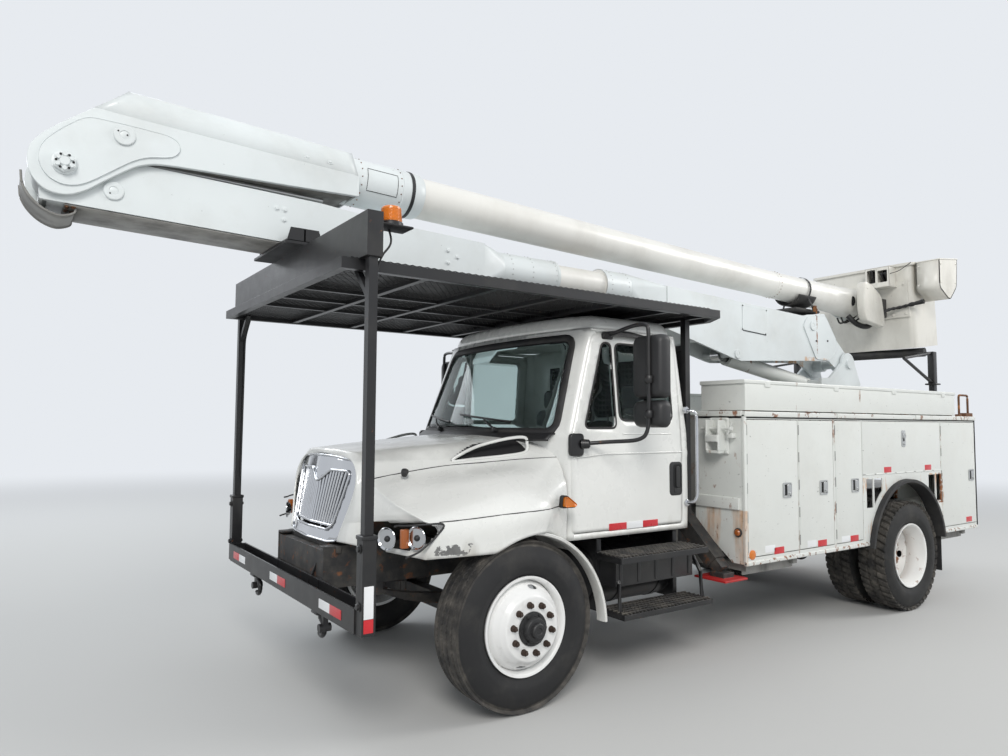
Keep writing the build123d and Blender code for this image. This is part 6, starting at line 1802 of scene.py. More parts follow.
def makeBox(f):
    # the box over each pack: walls, overhanging lid in lengths, feet and dark gap under it
    shapes, feet = [], []
    a, b = axleX + f["boxRear"], axleX + f["boxFront"]
    shapes.append(padBox((a, f["boxIn"], f["boxLow"]), (b, f["boxOut"], f["boxHigh"] - 0.03), 0.006, axis=0,
        edge=0.002))
    shapes.append(padBox((a - 0.012, f["boxIn"] - 0.006, f["boxHigh"] - 0.032),
        (b + 0.012, f["boxOut"] + 0.006, f["boxHigh"]), 0.008, axis=0, edge=0.003))
    for k in range(4):
        x = b - 0.28 - k * 0.97
        shapes.append(padBox((x - 0.035, f["boxOut"], f["boxHigh"] - 0.055), (x + 0.035, f["boxOut"] + 0.007,
            f["boxHigh"] - 0.006), 0.004, axis=1))
    for x in (b - 0.06, b - 0.95, (a + b) / 2, a + 0.95, a + 0.06):
        feet.append(padBox((x - 0.03, f["boxIn"] + 0.04, f["top"]), (x + 0.03, 1.196, f["boxLow"] + 0.002),
            0.003))
    shape = joined(shapes)
    piece("topBoxes", both(shape), packPaint, replaces=["top_boxes"], smooth=35)
    shape = joined(feet)
    piece("topBoxFeet", both(shape), rustSteel, slot="white_paint")


for side, d in sides:
    makeDoors(packForm, side, d)
    makePack(packForm, side, d)
makeBox(packForm)
print("packs ready")


# Deck over the cab: expanded mesh, its rim, beacons and the saddle for the boom
deckForm = {
    "x": (-1.940, 1.220), "y": 1.160, "z": (2.540, 2.600),
    "pitchX": 0.046, "pitchY": 0.030, "strand": 0.0022,
}


def expandedMesh(x0, x1, y0, y1, z, px, py, width):
    # zigzag strands: y = row +- py / 2 at alternate steps of px / 2, as flat ribbons
    nx = int((x1 - x0) / (px / 2))
    ny = int((y1 - y0) / py)
    xs = x0 + np.arange(nx + 1) * px / 2
    rows = y0 + py * (np.arange(ny) + 0.5)
    sign = np.where((np.arange(nx + 1) % 2) == 0, 1.0, -1.0)
    wave = rows[:, None] + (sign * (py / 2))[None, :] * np.where(np.arange(ny) % 2 == 0, 1, -1)[:, None]
    line = line3(np.broadcast_to(xs, wave.shape), wave, z)
    low = line + [0, -width, -0.0015]
    high = line + [0, width, 0.0015]
    n, m = wave.shape
    v = np.stack([low, high], 2).reshape(-1, 3)
    a = (np.arange(n)[:, None] * m + np.arange(m - 1)[None, :]) * 2
    quads = np.stack([a, a + 2, a + 3, a + 1], -1).reshape(-1, 4)
    # no strands in the two cut rear corners, where |y| - 0.68 (x - x0) >= y1 - 0.15
    mid = v[quads].mean(axis=1)
    keep = np.abs(mid[:, 1]) - 0.68 * (mid[:, 0] - x0) < y1 - 0.15
    return v, [tuple(q) for q in quads[keep].tolist()]


def makeDeck(f):
    # the walk-on mesh, its rim, the boom's saddle and the beacons
    x0, x1 = f["x"]
    z = f["z"][0] + 0.030
    mesh = expandedMesh(axleX + x0 + 0.03, axleX + x1 - 0.03, -f["y"] + 0.03, f["y"] - 0.03, z, f["pitchX"],
        f["pitchY"], f["strand"])
    piece("deckMesh", mesh, blackPaint, slot="mesh_steel", closed=False)
    softened("deck", blackPaint, 0.003)
    # serrated edge of the mesh where it laps the rim, as seen against the sky
    teeth = []
    xs = axleX + np.arange(x0 + 0.24, x1 - 0.04, 0.023)
    saw = line3(xs, f["y"] - 0.004, f["z"][1] + 0.002 + 0.005 * (np.arange(len(xs)) % 2))
    for d in (1, -1):
        teeth.append(tube(saw * [1, d, 1], 0.0028, 6))
    piece("deckTeeth", teeth, blackPaint, slot="mesh_steel")
    # V bracket on the saddle, cable along the rim
    saddle = [padBox(at(1.02, 0.205, 2.858), at(1.24, 0.300, 2.874), 0.004, axis=2)]
    for d in (1, -1):
        cheek = [(1.000, 2.858), (1.240, 2.858), (1.215, 2.950), (1.035, 2.950)]
        saddle.append(xzPlate(cheek, 0.300, -0.008, d, 0.002))
        rib = [(1.120, 2.858), (1.130, 2.858), (1.130, 2.945), (1.120, 2.945)]
        saddle.append(xzPlate(rib, 0.300, -0.09, d))
    piece("saddleGuides", saddle, blackPaint)
    pad = padBox(at(1.04, -0.19, 2.858), at(1.24, 0.19, 2.8665), 0.004, axis=2)
    piece("saddlePad", pad, rubberBlack)
    cable = rounded([at(0.965, 1.17, 2.79), at(0.95, 1.19, 2.70), at(1.02, 1.19, 2.62), at(1.07, 1.20, 2.40),
        at(1.075, 1.20, 1.30)], 0.06, 6)
    piece("beaconLead", [sided(tube(cable, 0.006, 8), d) for d in (1, -1)], hoseBlack)
    # beacons: ribbed amber domes on black bases
    lens, base = [], []
    for d in (1, -1):
        c = at(0.965, 1.2 * d, 2.79)
        ribs = [(0.022, 0.058)]
        for k in range(9):
            h = 0.026 + k * 0.0075
            ribs += [(h, 0.0580 - 0.0006 * k), (h + 0.004, 0.0600 - 0.0006 * k)]
        ribs += [(0.099, 0.054), (0.106, 0.046), (0.110, 0.030), (0.1115, 0.001)]
        lens.append(turned(ribs, c, (0, 0, 1), 48))
        base += [turned([(0.0, 0.066), (0.016, 0.066), (0.022, 0.060), (0.024, 0.056)], c, (0, 0, 1), 48)]
        base += [padBox(at(0.86, 1.2 * d - 0.07, 2.778), at(1.045, 1.2 * d + 0.07, 2.790), 0.01, axis=2)]
    piece("beaconLenses", lens, amber, replaces=["beacons"], smooth=25)
    piece("beaconBases", base, blackPaint)


makeDeck(deckForm)
print("deck ready")


# Booms: the upper boom is built anew, the lower boom keeps its softened solid under added detail
boomForm = {
    "pin": (2.430, 3.114),
    "bottom": [(0.745, 3.246), (1.20, 3.230), (1.70, 3.218), (1.95, 3.206), (2.06, 3.178), (2.14, 3.128),
        (2.24, 3.052), (2.33, 2.982), (2.415, 2.946), (2.505, 2.955), (2.570, 3.012), (2.597, 3.095),
        (2.590, 3.180), (2.545, 3.248), (2.494, 3.298), (2.399, 3.378), (2.300, 3.456)],
    "crease": [(2.300, 3.456), (1.842, 3.434), (1.410, 3.415), (0.745, 3.388)],
    "ridge": [(2.118, 3.644), (1.559, 3.624), (0.745, 3.584)],
    "cheek": (0.205, 0.235),
    "ridgeY": 0.105,
    "doubler": [(2.556, 3.115), (2.536, 3.205), (2.449, 3.300), (2.335, 3.395), (2.128, 3.392),
        (1.910, 3.380), (1.856, 3.345), (1.860, 3.290), (1.905, 3.253), (2.030, 3.232), (2.110, 3.190),
        (2.258, 3.072), (2.351, 3.006), (2.437, 2.992), (2.515, 3.030)],
    "guard": [(2.622, 3.060), (2.612, 2.990), (2.575, 2.925), (2.515, 2.872), (2.440, 2.846), (2.372, 2.868),
        (2.362, 2.905)],
    "sleeve": [(-0.020, 0.160), (-0.010, 0.166), (0.375, 0.166), (0.378, 0.170), (0.398, 0.170),
        (0.400, 0.166), (0.500, 0.165), (0.540, 0.162), (0.560, 0.150)],
    "tube": [(0.520, 0.140), (0.520, 0.1555), (0.545, 0.1555), (0.548, 0.149), (4.815, 0.1385),
        (4.818, 0.1430), (4.900, 0.1430), (4.903, 0.1400), (5.40, 0.1480), (6.140, 0.160), (6.160, 0.168),
        (6.368, 0.172), (6.420, 0.168), (6.460, 0.150), (6.490, 0.122)],
    "sleeveAt": (0.745, 3.418),
    "lowerZ": 2.943, "lowerSide": 0.193,
    "tipAt": (-5.620, 3.192),
}


def coverDisc(x, y, z, radius, d=1):
    # a pin's cover plate: low disc, dished in the middle
    r = radius
    profile = [(0, r), (0.010, r), (0.013, r - 0.004), (0.013, r * 0.48), (0.009, r * 0.40),
        (0.012, r * 0.14), (0.012, 0.001)]
    return turned(profile, at(x, y, z), (0, d, 0), 40)


def castleNut(x, y, z, d=1):
    # a slotted nut on the elbow pin, over a washer
    washer = turned([(0, 0.062), (0.007, 0.062), (0.009, 0.058), (0.009, 0.001)], at(x, y, z), (0, d, 0), 40)
    nut = bolt(at(x, y + 0.008 * d, z), (0, d, 0), 0.100, 0.030)
    end = turned([(0, 0.026), (0.010, 0.026), (0.014, 0.022), (0.014, 0.001)], at(x, y + 0.034 * d, z),
        (0, d, 0), 32)
    teeth = []
    for k in range(6):
        a = math.radians(60 * k + 30)
        c = np.array([axleX + x + 0.037 * math.cos(a), y + 0.036 * d, z + 0.037 * math.sin(a)])
        teeth.append(turned([(0, 0.0125), (0.012, 0.0115), (0.012, 0.001)], c, (0, d, 0), 10))
    return joined([washer, nut, end] + teeth)


def seamLine(points, y, radius=0.0022, d=1):
    # a dark line along (x, z) points at y
    return tube([at(x, y * d, z) for x, z in points], radius, 6)


def makeUpperBoom(f):
    # elbow box of cheeks, roof and floor, with its plates, covers and nuts
    body = "upper_boom"
    low = smoothLine(f["bottom"], 6)
    outline = [tuple(p) for p in low.tolist()] + f["crease"][1:]
    inner, outer = f["cheek"]
    cheeks = joined([xzPlate(outline, inner, outer - inner, 1), xzPlate(outline, inner, outer - inner, -1)])
    piece("boomCheeks", cheeks, boomPaint, body, replaces=["upper_boom"], smooth=30, bevel=0.004)
    # roof: crease to ridge on both sides, folded over the front and down to the nose
    xs = np.linspace(0.745, 2.118, 30)
    crease, ridge = np.array(f["crease"])[::-1], np.array(f["ridge"])[::-1]
    cx = np.linspace(0.745, 2.300, 30)
    rows = []
    for y, px, pz in ((outer, cx, np.interp(cx, crease[:, 0], crease[:, 1])),
            (f["ridgeY"] + 0.012, xs, np.interp(xs, ridge[:, 0], ridge[:, 1]) - 0.008),
            (f["ridgeY"] - 0.006, xs, np.interp(xs, ridge[:, 0], ridge[:, 1]))):
        rows.append(line3(axleX + px, y, pz))
    rows += [r * [1, -1, 1] for r in rows[::-1]]
    roof = grid(np.stack(rows))
    nose = low[::-1]
    nose = nose[nose[:, 0] > 2.24]
    nose = nose[nose[:, 1] > 3.22]
    slope = [np.array([[2.118, 3.644]])] + [np.array([[2.118, 3.644]]) * (1 - k) + nose[:1] * k
        for k in (0.33, 0.66)] + [nose]
    line = np.concatenate(slope)
    share = np.clip((3.644 - line[:, 1]) / (3.644 - nose[0, 1]), 0, 1)
    wide = f["ridgeY"] + (outer - 0.012 - f["ridgeY"]) * share
    across = np.linspace(-1, 1, 7)
    cover = np.stack([np.stack([axleX + line[:, 0], wide * k, line[:, 1]], -1) for k in across])
    top = piece("boomRoof", [roof, grid(cover)], boomPaint, body, smooth=24)
    walled(top, 0.008)
    # floor between the cheeks, end panel round the sleeve and the bulkhead behind the elbow
    under = low[low[:, 0] < 2.02]
    floorRows = [line3(axleX + under[:, 0], y, under[:, 1] + 0.022) for y in (-inner, 0, inner)]
    panel = [(-0.232, 3.250), (0.232, 3.250), (0.232, 3.386), (0.105, 3.580), (-0.105, 3.580),
        (-0.232, 3.386)]
    end = plate(panel, at(0.7465, 0, 0), (0, -1, 0), (0, 0, 1), 0.008)
    bulk = plate([(-0.204, 3.225), (0.204, 3.225), (0.204, 3.42), (0.10, 3.60), (-0.10, 3.60),
        (-0.204, 3.42)], at(1.985, 0, 0), (0, 1, 0), (0, 0, 1), 0.008)
    inside = piece("boomFloor", [grid(np.stack(floorRows))], underGrey, body)
    walled(inside, 0.006)
    piece("boomEnds", [end, bulk], boomPaint, body)
    # stiffeners and the levelling link seen in the gap under the box
    links = [tube([at(2.36, 0.11 * d, 3.16), at(2.10, 0.12 * d, 3.228), at(0.95, 0.12 * d, 3.205)], 0.016, 12)
        for d in (1, -1)]
    links.append(padBox(at(1.10, -0.06, 3.196), at(1.95, 0.06, 3.222), 0.008, axis=0))
    piece("boomLinks", links, zinc, body)
    # raised plates, pin covers and the castellated nut
    ring = roundLoop(f["doubler"], 0.05, 4)
    doublers = joined([xzPlate(ring, outer, 0.0075, 1, 0.003), xzPlate(ring, outer, 0.0075, -1, 0.003)])
    piece("boomDoublers", doublers, boomPaint, body, smooth=30)
    extras, dark = [], []
    for d in (1, -1):
        y = (outer + 0.0075) * d
        extras += [coverDisc(2.149, y, 3.328, 0.056, d), castleNut(2.430, y, 3.112, d)]
        # near-black discs standing in for holes: painted shade of their depth
        dark += [turned([(0, 0.005), (0.0142, 0.005), (0.0145, 0.001)], at(2.182, y, 3.345), (0, d, 0), 12),
            turned([(0, 0.0045), (0.0142, 0.0045), (0.0145, 0.001)], at(2.136, y, 3.330), (0, d, 0), 12)]
        for k in range(6):
            a = math.radians(60 * k)
            dark.append(turned([(0, 0.0065), (0.0420, 0.0065), (0.0425, 0.001)],
                at(2.430 + 0.040 * math.cos(a), y, 3.112 + 0.040 * math.sin(a)), (0, d, 0), 8))
        for x in (1.091, 0.936):
            extras.append(bolt(at(x, 0.207 * d, 3.445), (0, 0.85 * d, 0.53), 0.022, 0.012, 0.019))
    piece("boomCovers", extras, boomPaint, body, smooth=30)
    piece("boomHoleShade", dark, gapBlack, body, "boom_paint")
    makeTubes(f, body)


def makeTubes(f, body):
    # sleeve and tube turned about the line from the sleeve to the tip
    start = np.array([axleX + f["sleeveAt"][0], 0, f["sleeveAt"][1]])
    tip = np.array([axleX + f["tipAt"][0], 0, f["tipAt"][1]])
    line = (tip - start) / np.linalg.norm(tip - start)
    piece("boomSleeve", turned(f["sleeve"], start, line, 80), boomPaint, body, smooth=30)
    profile = np.array(f["tube"])
    piece("boomTube", turned(profile, start, line, 80), tubePaint, body, smooth=30)
    # dark strap, ring of rivets each side of the joints, access panel on the sleeve
    strap = [spun([(0.444, 0.160), (0.444, 0.1685), (0.452, 0.1695), (0.464, 0.1695), (0.470, 0.1685),
        (0.470, 0.160)], start, line, 80)]
    piece("boomStrap", strap, plasticBlack, body, "boom_paint")
    marks = []
    for at, radius, count in ((0.532, 0.1555, 30), (4.860, 0.1430, 26), (0.06, 0.166, 18), (0.36, 0.166, 18)):
        for p in ringPlaces(start + line * at, radius, count, line):
            out = p - (start + line * at)
            marks.append(turned([(-0.002, 0.0045), (0.003, 0.0045), (0.0045, 0.002), (0.0045, 0.0005)], p,
                out, 8))
    piece("boomRivets", marks, rustSteel, body, "insulated_boom")
    a = np.radians(np.linspace(150, 205, 14))
    side, up = np.array([0, 1.0, 0]), np.cross(line, [0, 1.0, 0])
    rim = [start + line * at + 0.1665 * (side * -math.cos(t) + up * math.sin(t)) for at,
        t in [(0.10, t) for t in a] + [(0.33, t) for t in a[::-1]]]
    piece("boomPanelSeam", tube(np.array(rim), 0.0022, 6, closed=True), gapBlack, body, "boom_paint")
    # oval opening near the tip, its rim and the tube's inside in near-black: painted shade
    oval = []
    for d in (1, -1):
        c = tip + [0.175, 0.1695 * d, -0.01]
        t = np.linspace(0, 2 * math.pi, 32, endpoint=False)
        pts = line3(c[0] + 0.032 * np.cos(t), c[1], c[2] + 0.052 * np.sin(t))
        pts[:, 1] = d * np.sqrt(np.clip(0.1712 ** 2 - (pts[:, 2] - tip[2]) ** 2, 0, None))
        oval.append(tube(pts, 0.005, 8, closed=True))
        inner = np.concatenate([pts[:, None], (c + (pts - c) * 0.5)[:, None], (c + (pts - c) * 0.03)[:,
            None]], 1)
        inner[:, :, 1] = d * np.sqrt(np.clip(0.1708 ** 2 - (inner[:, :, 2] - tip[2]) ** 2, 0, None))
        oval.append(grid(inner, closeU=True))
    piece("tipOpeningShade", oval, gapBlack, body, "insulated_boom")


def repainted(obj, material, test):
    # a second material on the faces whose middle passes a test
    mesh = obj.data
    mesh.materials.append(material)
    mid = np.zeros(len(mesh.polygons) * 3)
    mesh.polygons.foreach_get("center", mid)
    index = np.zeros(len(mesh.polygons), np.int32)
    mesh.polygons.foreach_get("material_index", index)
    index[test(mid.reshape(-1, 3))] = len(mesh.materials) - 1
    mesh.polygons.foreach_set("material_index", index)


def makeLowerBoom(f):
    # the softened solid with guard, under plate, covers, rivets and the cradle for the tip
    body, axisZ, wall = "lower_boom", f["lowerZ"], f["lowerSide"]
    px, pz = axleX + f["pin"][0], f["pin"][1]

    def guardFace(c):
        return abs(math.hypot(c.x - px, c.z - pz) - 0.2145) < 0.007 and c.z < pz and abs(c.y) < 0.17
    obj = softened("lower_boom", boomPaint, 0.008, drop=guardFace)
    repainted(obj, tubePaint,
        lambda m: (m[:, 0] < axleX - 1.06) & (m[:, 0] > axleX - 1.62) & (np.hypot(m[:, 1],
        m[:, 2] - axisZ) < 0.14))
    guard = smoothLine(f["guard"], 8)
    rows = [line3(axleX + guard[:, 0], y, guard[:, 1]) for y in np.linspace(-0.158, 0.158, 5)]
    sheet = piece("elbowGuard", grid(np.stack(rows)), underGrey, body, smooth=60)
    walled(sheet, 0.006)
    lips = [tube(line3(axleX + guard[:, 0], y, guard[:, 1]), 0.006, 8) for y in (-0.158, 0.158)]
    piece("guardLips", lips, underGrey, body)
    # dirty plate under the box, hinged at its front edge
    line = np.array([(2.42, 2.9125), (1.14, 2.871), (0.41, 2.838), (-0.29, 2.800)])
    rows = [line3(axleX + line[:, 0], y, line[:, 1] - 0.005) for y in (-0.186, 0, 0.186)]
    under = piece("boomUnder", grid(np.stack(rows)), underGrey, body)
    walled(under, 0.006)
    hinge = [tube([at(2.405, y, 2.905), at(2.405, y + 0.05, 2.905)], 0.012, 12) for y in (-0.18, -0.09, 0.04,
        0.13)]
    hinge += [bolt(at(2.375, y, 2.900), (0, 0, -1), 0.018, 0.010, 0.014) for y in (-0.165, -0.05, 0.05,
        0.165)]
    piece("guardHinge", hinge, rustSteel, body, "boom_paint")
    covers, dark, seams, plates = [], [], [], []
    for d in (1, -1):
        y = wall * d
        covers += [coverDisc(2.187, y, 3.018, 0.052, d)]
        for x, z in ((1.273, 3.082), (1.222, 3.080), (1.224, 3.015), (0.02, 2.99), (0.02, 2.90),
                (-0.06, 2.95)):
            covers.append(bolt(at(x, y, z), (0, d, 0), 0.020, 0.010, 0.017))
        # near-black disc for a hole: painted shade of its depth
        dark.append(turned([(0, 0.0045), (0.0145, 0.0045), (0.015, 0.001)], at(2.205, y, 3.0), (0, d, 0), 12))
        # rear box: reinforcing plate, its pin cover and hole, access panel
        rear = [(-4.455, 2.900), (-4.392, 2.800), (-4.620, 2.455), (-4.865, 2.452), (-5.000, 2.560),
            (-5.018, 2.690), (-4.812, 2.945), (-4.60, 2.925)]
        plates.append(xzPlate(roundLoop(rear, 0.03, 3), wall, 0.008, d, 0.003))
        covers += [coverDisc(-4.563, 0.201 * d, 2.815, 0.052, d), coverDisc(-3.283, y, 2.430, 0.046, d)]
        # near-black discs for the plate's holes: painted shade of their depth
        for x, z in ((-4.623, 2.653), (-4.545, 2.83), (-4.57, 2.79), (-4.839, 2.668)):
            dark.append(turned([(0, 0.009), (0.0095, 0.009), (0.0098, 0.001)], at(x, 0.2 * d, z), (0, d, 0),
                14))
        panel = [(-3.367, 2.926), (-3.752, 2.909), (-3.736, 2.658), (-3.361, 2.681)]
        plates.append(xzPlate(panel, wall, 0.004, d, 0.001))
        for x, z in panel:
            dark.append(bolt(at(x * 0.992 - 0.027, 0.196 * d, z * 0.97 + 0.083), (0, d, 0), 0.012, 0.006))
        seams.append(seamLine([(-3.372, 2.673), (-3.742, 2.652)], 0.1965, 0.0035, d))
        seams.append(seamLine([(-2.285, 2.990), (-2.285, 2.640)], 0.1935, 0.002, d))
    piece("lowerCovers", covers, boomPaint, body, smooth=30)
    piece("lowerPlates", plates, boomPaint, body, smooth=30)
    # painted-shade holes, dark seams and screws, all in near-black
    piece("lowerHoleShadeAndSeams", joined(dark + seams), gapBlack, body, "boom_paint")
    # collars of rivets on the insulated length
    rivets = []
    for x, radius in ((-0.60, 0.148), (-0.80, 0.148), (-1.04, 0.148), (-1.66, 0.148), (-1.86, 0.148)):
        for p in ringPlaces(at(x, 0, axisZ), radius, 22, (1, 0, 0)):
            out = p - np.array([axleX + x, 0, axisZ])
            rivets.append(turned([(-0.002, 0.005), (0.003, 0.005), (0.0045, 0.002), (0.0045, 0.0005)], p, out,
                8))
    piece("lowerRivets", rivets, zinc, body, "insulated_boom")
    rings = [spun([(-0.012, 0.140), (-0.012, 0.1515), (0.012, 0.1515), (0.012, 0.140)], at(x, 0, axisZ),
        (1, 0, 0), 64) for x in (-1.068, -1.612)]
    piece("lowerRings", rings, boomPaint, body, smooth=30)
    # cradle for the upper boom's tip: pad, saddle and the strap with its rusty hook
    pad = [padBox(at(-4.80, -0.15, 2.975), at(-4.34, 0.15, 3.012), 0.02, axis=2)]
    a = np.radians(np.linspace(200, 340, 22))
    bow = np.stack([0.166 * np.cos(a), 3.208 + 0.166 * np.sin(a)], -1)
    rows = [line3(axleX + x, bow[:, 0], bow[:, 1]) for x in (-4.40, -4.72)]
    piece("tipPad", pad, rubberBlack, body)
    saddle = piece("tipSaddle", grid(np.stack(rows)), rubberBlack, body, smooth=60)
    walled(saddle, 0.010, 1)
    t = np.linspace(0, 2 * math.pi, 60)
    loop = []
    for s in t:
        y, z = 0.163 * math.sin(s), 3.219 + 0.163 * math.cos(s)
        loop.append(at(-4.60 - 0.03 * math.cos(s), y, z))
    low = np.array([p for p in loop if p[2] > 3.12])
    order = np.argsort([math.atan2(p[1], p[2] - 3.22) for p in low])
    arch = low[order]
    arch = np.vstack([[arch[0][0] - 0.02, -0.185, 2.99], [arch[0][0] - 0.01, -0.172, 3.06], arch,
        [arch[-1][0] - 0.01, 0.172, 3.06], [arch[-1][0] - 0.02, 0.185, 2.99]])
    across = np.array([1.0, 0, 0])
    ribbon = np.stack([arch + across * k for k in (-0.014, 0.014)])
    strap = piece("tipStrap", grid(ribbon), hoseBlack, body, smooth=70)
    walled(strap, 0.003, 0)
    hooks = []
    for d in (1, -1):
        hooks += [padBox(at(-4.655, 0.178 * d, 2.975), at(-4.605, 0.200 * d, 3.045), 0.008, axis=1),
            tube([at(-4.63, 0.20 * d, 3.03), at(-4.63, 0.215 * d, 3.00), at(-4.63, 0.205 * d, 2.955)], 0.007,
            8)]
    piece("strapHooks", hooks, rustSteel, body, "trim_grey")


makeUpperBoom(boomForm)
makeLowerBoom(boomForm)
print("booms ready")


# Bucket: its shell is the softened solid; arms, control box, tray and hoses are built on it
bucketForm = {
    "origin": (-6.590, 2.709), "tilt": 7.0,
    "foot": (-6.0143, 2.6383), "lean": 0.1382,
    "slab": [(-5.395, 2.930), (-5.345, 3.060), (-5.352, 3.345), (-5.400, 3.385), (-5.520, 3.360),
        (-5.735, 3.240), (-5.790, 2.990), (-5.785, 2.878)],
    "slabY": (0.262, 0.352),
    "box": (0.150, 0.435, 3.360, 3.590),
    "trayY": (0.642, 0.898),
}


def faceX(z):
    # x of the bucket's front face at a height: foot + lean (z - foot z)
    return bucketForm["foot"][0] + (z - bucketForm["foot"][1]) * bucketForm["lean"]


def makeBucket(f):
    # the softened shell, its arms and plate, valve cover and control box
    body = bodyOf["bucket"]
    t = math.radians(f["tilt"])
    ox, oz = axleX + f["origin"][0], f["origin"][1]

    def below(m):
        h = (m[:, 0] - ox) * math.sin(t) + (m[:, 2] - oz) * math.cos(t)
        return (h < -0.0015) & (m[:, 0] > ox + 0.40)
    shell = softened("bucket", bucketShell, 0.010, segments=3)
    repainted(shell, rubberBlack, below)
    # arms on the boom's shaft and the plate they are bolted to
    arms = []
    for d in (1, -1):
        outline = [(-5.545, 3.245), (-5.545, 3.135), (-5.66, 3.085), (faceX(3.02) + 0.02, 3.015),
            (faceX(3.40) + 0.02, 3.405), (-5.66, 3.295)]
        arms.append(xzPlate(roundLoop(outline, 0.05, 5), 0.228, -0.024, d, 0.003))
        arms.append(turned([(0, 0.075), (0.010, 0.075), (0.014, 0.070), (0.014, 0.001)],
            at(-5.62, 0.228 * d, 3.192), (0, d, 0), 36))
        for k in range(6):
            a = math.radians(60 * k)
            arms.append(bolt(at(-5.62 + 0.055 * math.cos(a), 0.241 * d, 3.192 + 0.055 * math.sin(a)),
                (0, d, 0), 0.016, 0.008))
    corners = ((3.0, 0.002), (3.42, 0.002), (3.42, 0.022), (3.0, 0.022))
    back = lofted([[at(faceX(z) + k, y, z) for z, k in corners] for y in (-0.225, 0.56)])
    plateBolts = [bolt(at(faceX(zz) + 0.022, yy, zz), (1, 0, 0), 0.020, 0.010, 0.018)
        for yy in (-0.19, 0.0, 0.19, 0.37, 0.52) for zz in (3.04, 3.38)]
    piece("bucketArms", arms, boomPaint, body, "bucket_plastic", ["bucket_controls"], smooth=35)
    piece("bucketPlate", joined([back] + plateBolts), bucketShell, body, bevel=0.002)
    # cover of the levelling valve: a thick rounded slab beside the tip
    y0, y1 = f["slabY"]
    outline = roundLoop(f["slab"], 0.045, 5)
    rings = []
    for y, shrink in ((y0, 0.010), (y0 + 0.004, 0.002), (y0 + 0.012, 0.0), (y1 - 0.014, 0.0),
            (y1 - 0.004, 0.004), (y1, 0.014)):
        loop = np.array(insetLoop(outline, shrink)) if shrink else np.array(outline)
        rings.append(line3(axleX + loop[:, 0], y, loop[:, 1]))
    slab = lofted(rings)
    screws = [bolt(at(x, y1 - 0.002, z), (0, 1, 0), 0.012, 0.007, 0.010) for x,
        z in ((-5.60, 3.16), (-5.72, 2.95), (-5.42, 3.02), (-5.42, 3.30))]
    piece("valveCover", joined([slab] + screws), bucketShell, body, smooth=50)
    stay = [padBox(at(-5.86, 0.27, 3.00), at(-5.74, 0.34, 3.22), 0.01, axis=1)]
    piece("valveBody", stay, ironCast, body)
    # control box with two windows and a lever in each
    b0, b1, low, high = f["box"]
    x0 = axleX + faceX(low) + 0.022
    xf = x0 + 0.150
    windows = [[(b0 + 0.025, low + 0.050), (b0 + 0.125, low + 0.050), (b0 + 0.125, high - 0.022),
        (b0 + 0.025, high - 0.022)], [(b0 + 0.150, low + 0.050), (b1 - 0.022, low + 0.050),
        (b1 - 0.022, high - 0.040), (b0 + 0.150, high - 0.040)]]
    face = sheetOf([(b0, low), (b1, low), (b1, high), (b0, high)], [roundLoop(w, 0.012, 4) for w in windows],
        (xf - 0.006, 0, 0), (0, 1, 0), (0, 0, 1), 0.006)
    walls = [padBox((x0, b0, low), (xf, b0 + 0.006, high), 0.001, axis=2), padBox((x0, b1 - 0.006, low),
        (xf, b1, high), 0.001, axis=2), padBox((x0, b0, low), (xf, b1, low + 0.006), 0.001, axis=1),
        padBox((x0, b0, high - 0.006), (xf, b1, high), 0.001, axis=1),
        padBox((x0 - 0.03, b0 - 0.012, low - 0.010), (xf + 0.012, b1 + 0.012, low), 0.004, axis=1),
        padBox((x0, b0 + 0.134, low), (xf, b0 + 0.140, high), 0.001, axis=2)]
    piece("controlBox", joined([face] + walls), bucketShell, body, smooth=30)
    # the inside back of the box in near-black: painted shade behind its windows
    piece("controlBoxShadeBack", padBox((x0, b0 + 0.004, low + 0.004), (x0 + 0.008, b1 - 0.004, high - 0.004),
        0.001, axis=0), gapBlack, body, "bucket_plastic")
    levers = []
    for y, zt in ((b0 + 0.075, high - 0.03), (b0 + 0.19, high - 0.08), (b0 + 0.235, high - 0.08)):
        levers.append(tube([(x0 + 0.02, y, low + 0.05), (x0 + 0.10, y, low + 0.09), (x0 + 0.135, y, zt)],
            [0.011, 0.010, 0.014], 12))
        levers.append(turned([(-0.016, 0.008), (-0.010, 0.018), (0.006, 0.020), (0.014, 0.012),
            (0.016, 0.001)], (x0 + 0.137, y, zt), (0.2, 0, 1), 16))
    levers.append(padBox((x0 + 0.01, b0 + 0.03, low + 0.05), (x0 + 0.09, b0 + 0.12, low + 0.12), 0.012,
        axis=2))
    piece("controlLevers", levers, plasticBlack, body, smooth=40)
    makeTray(f, body)
    makeHoses(body)


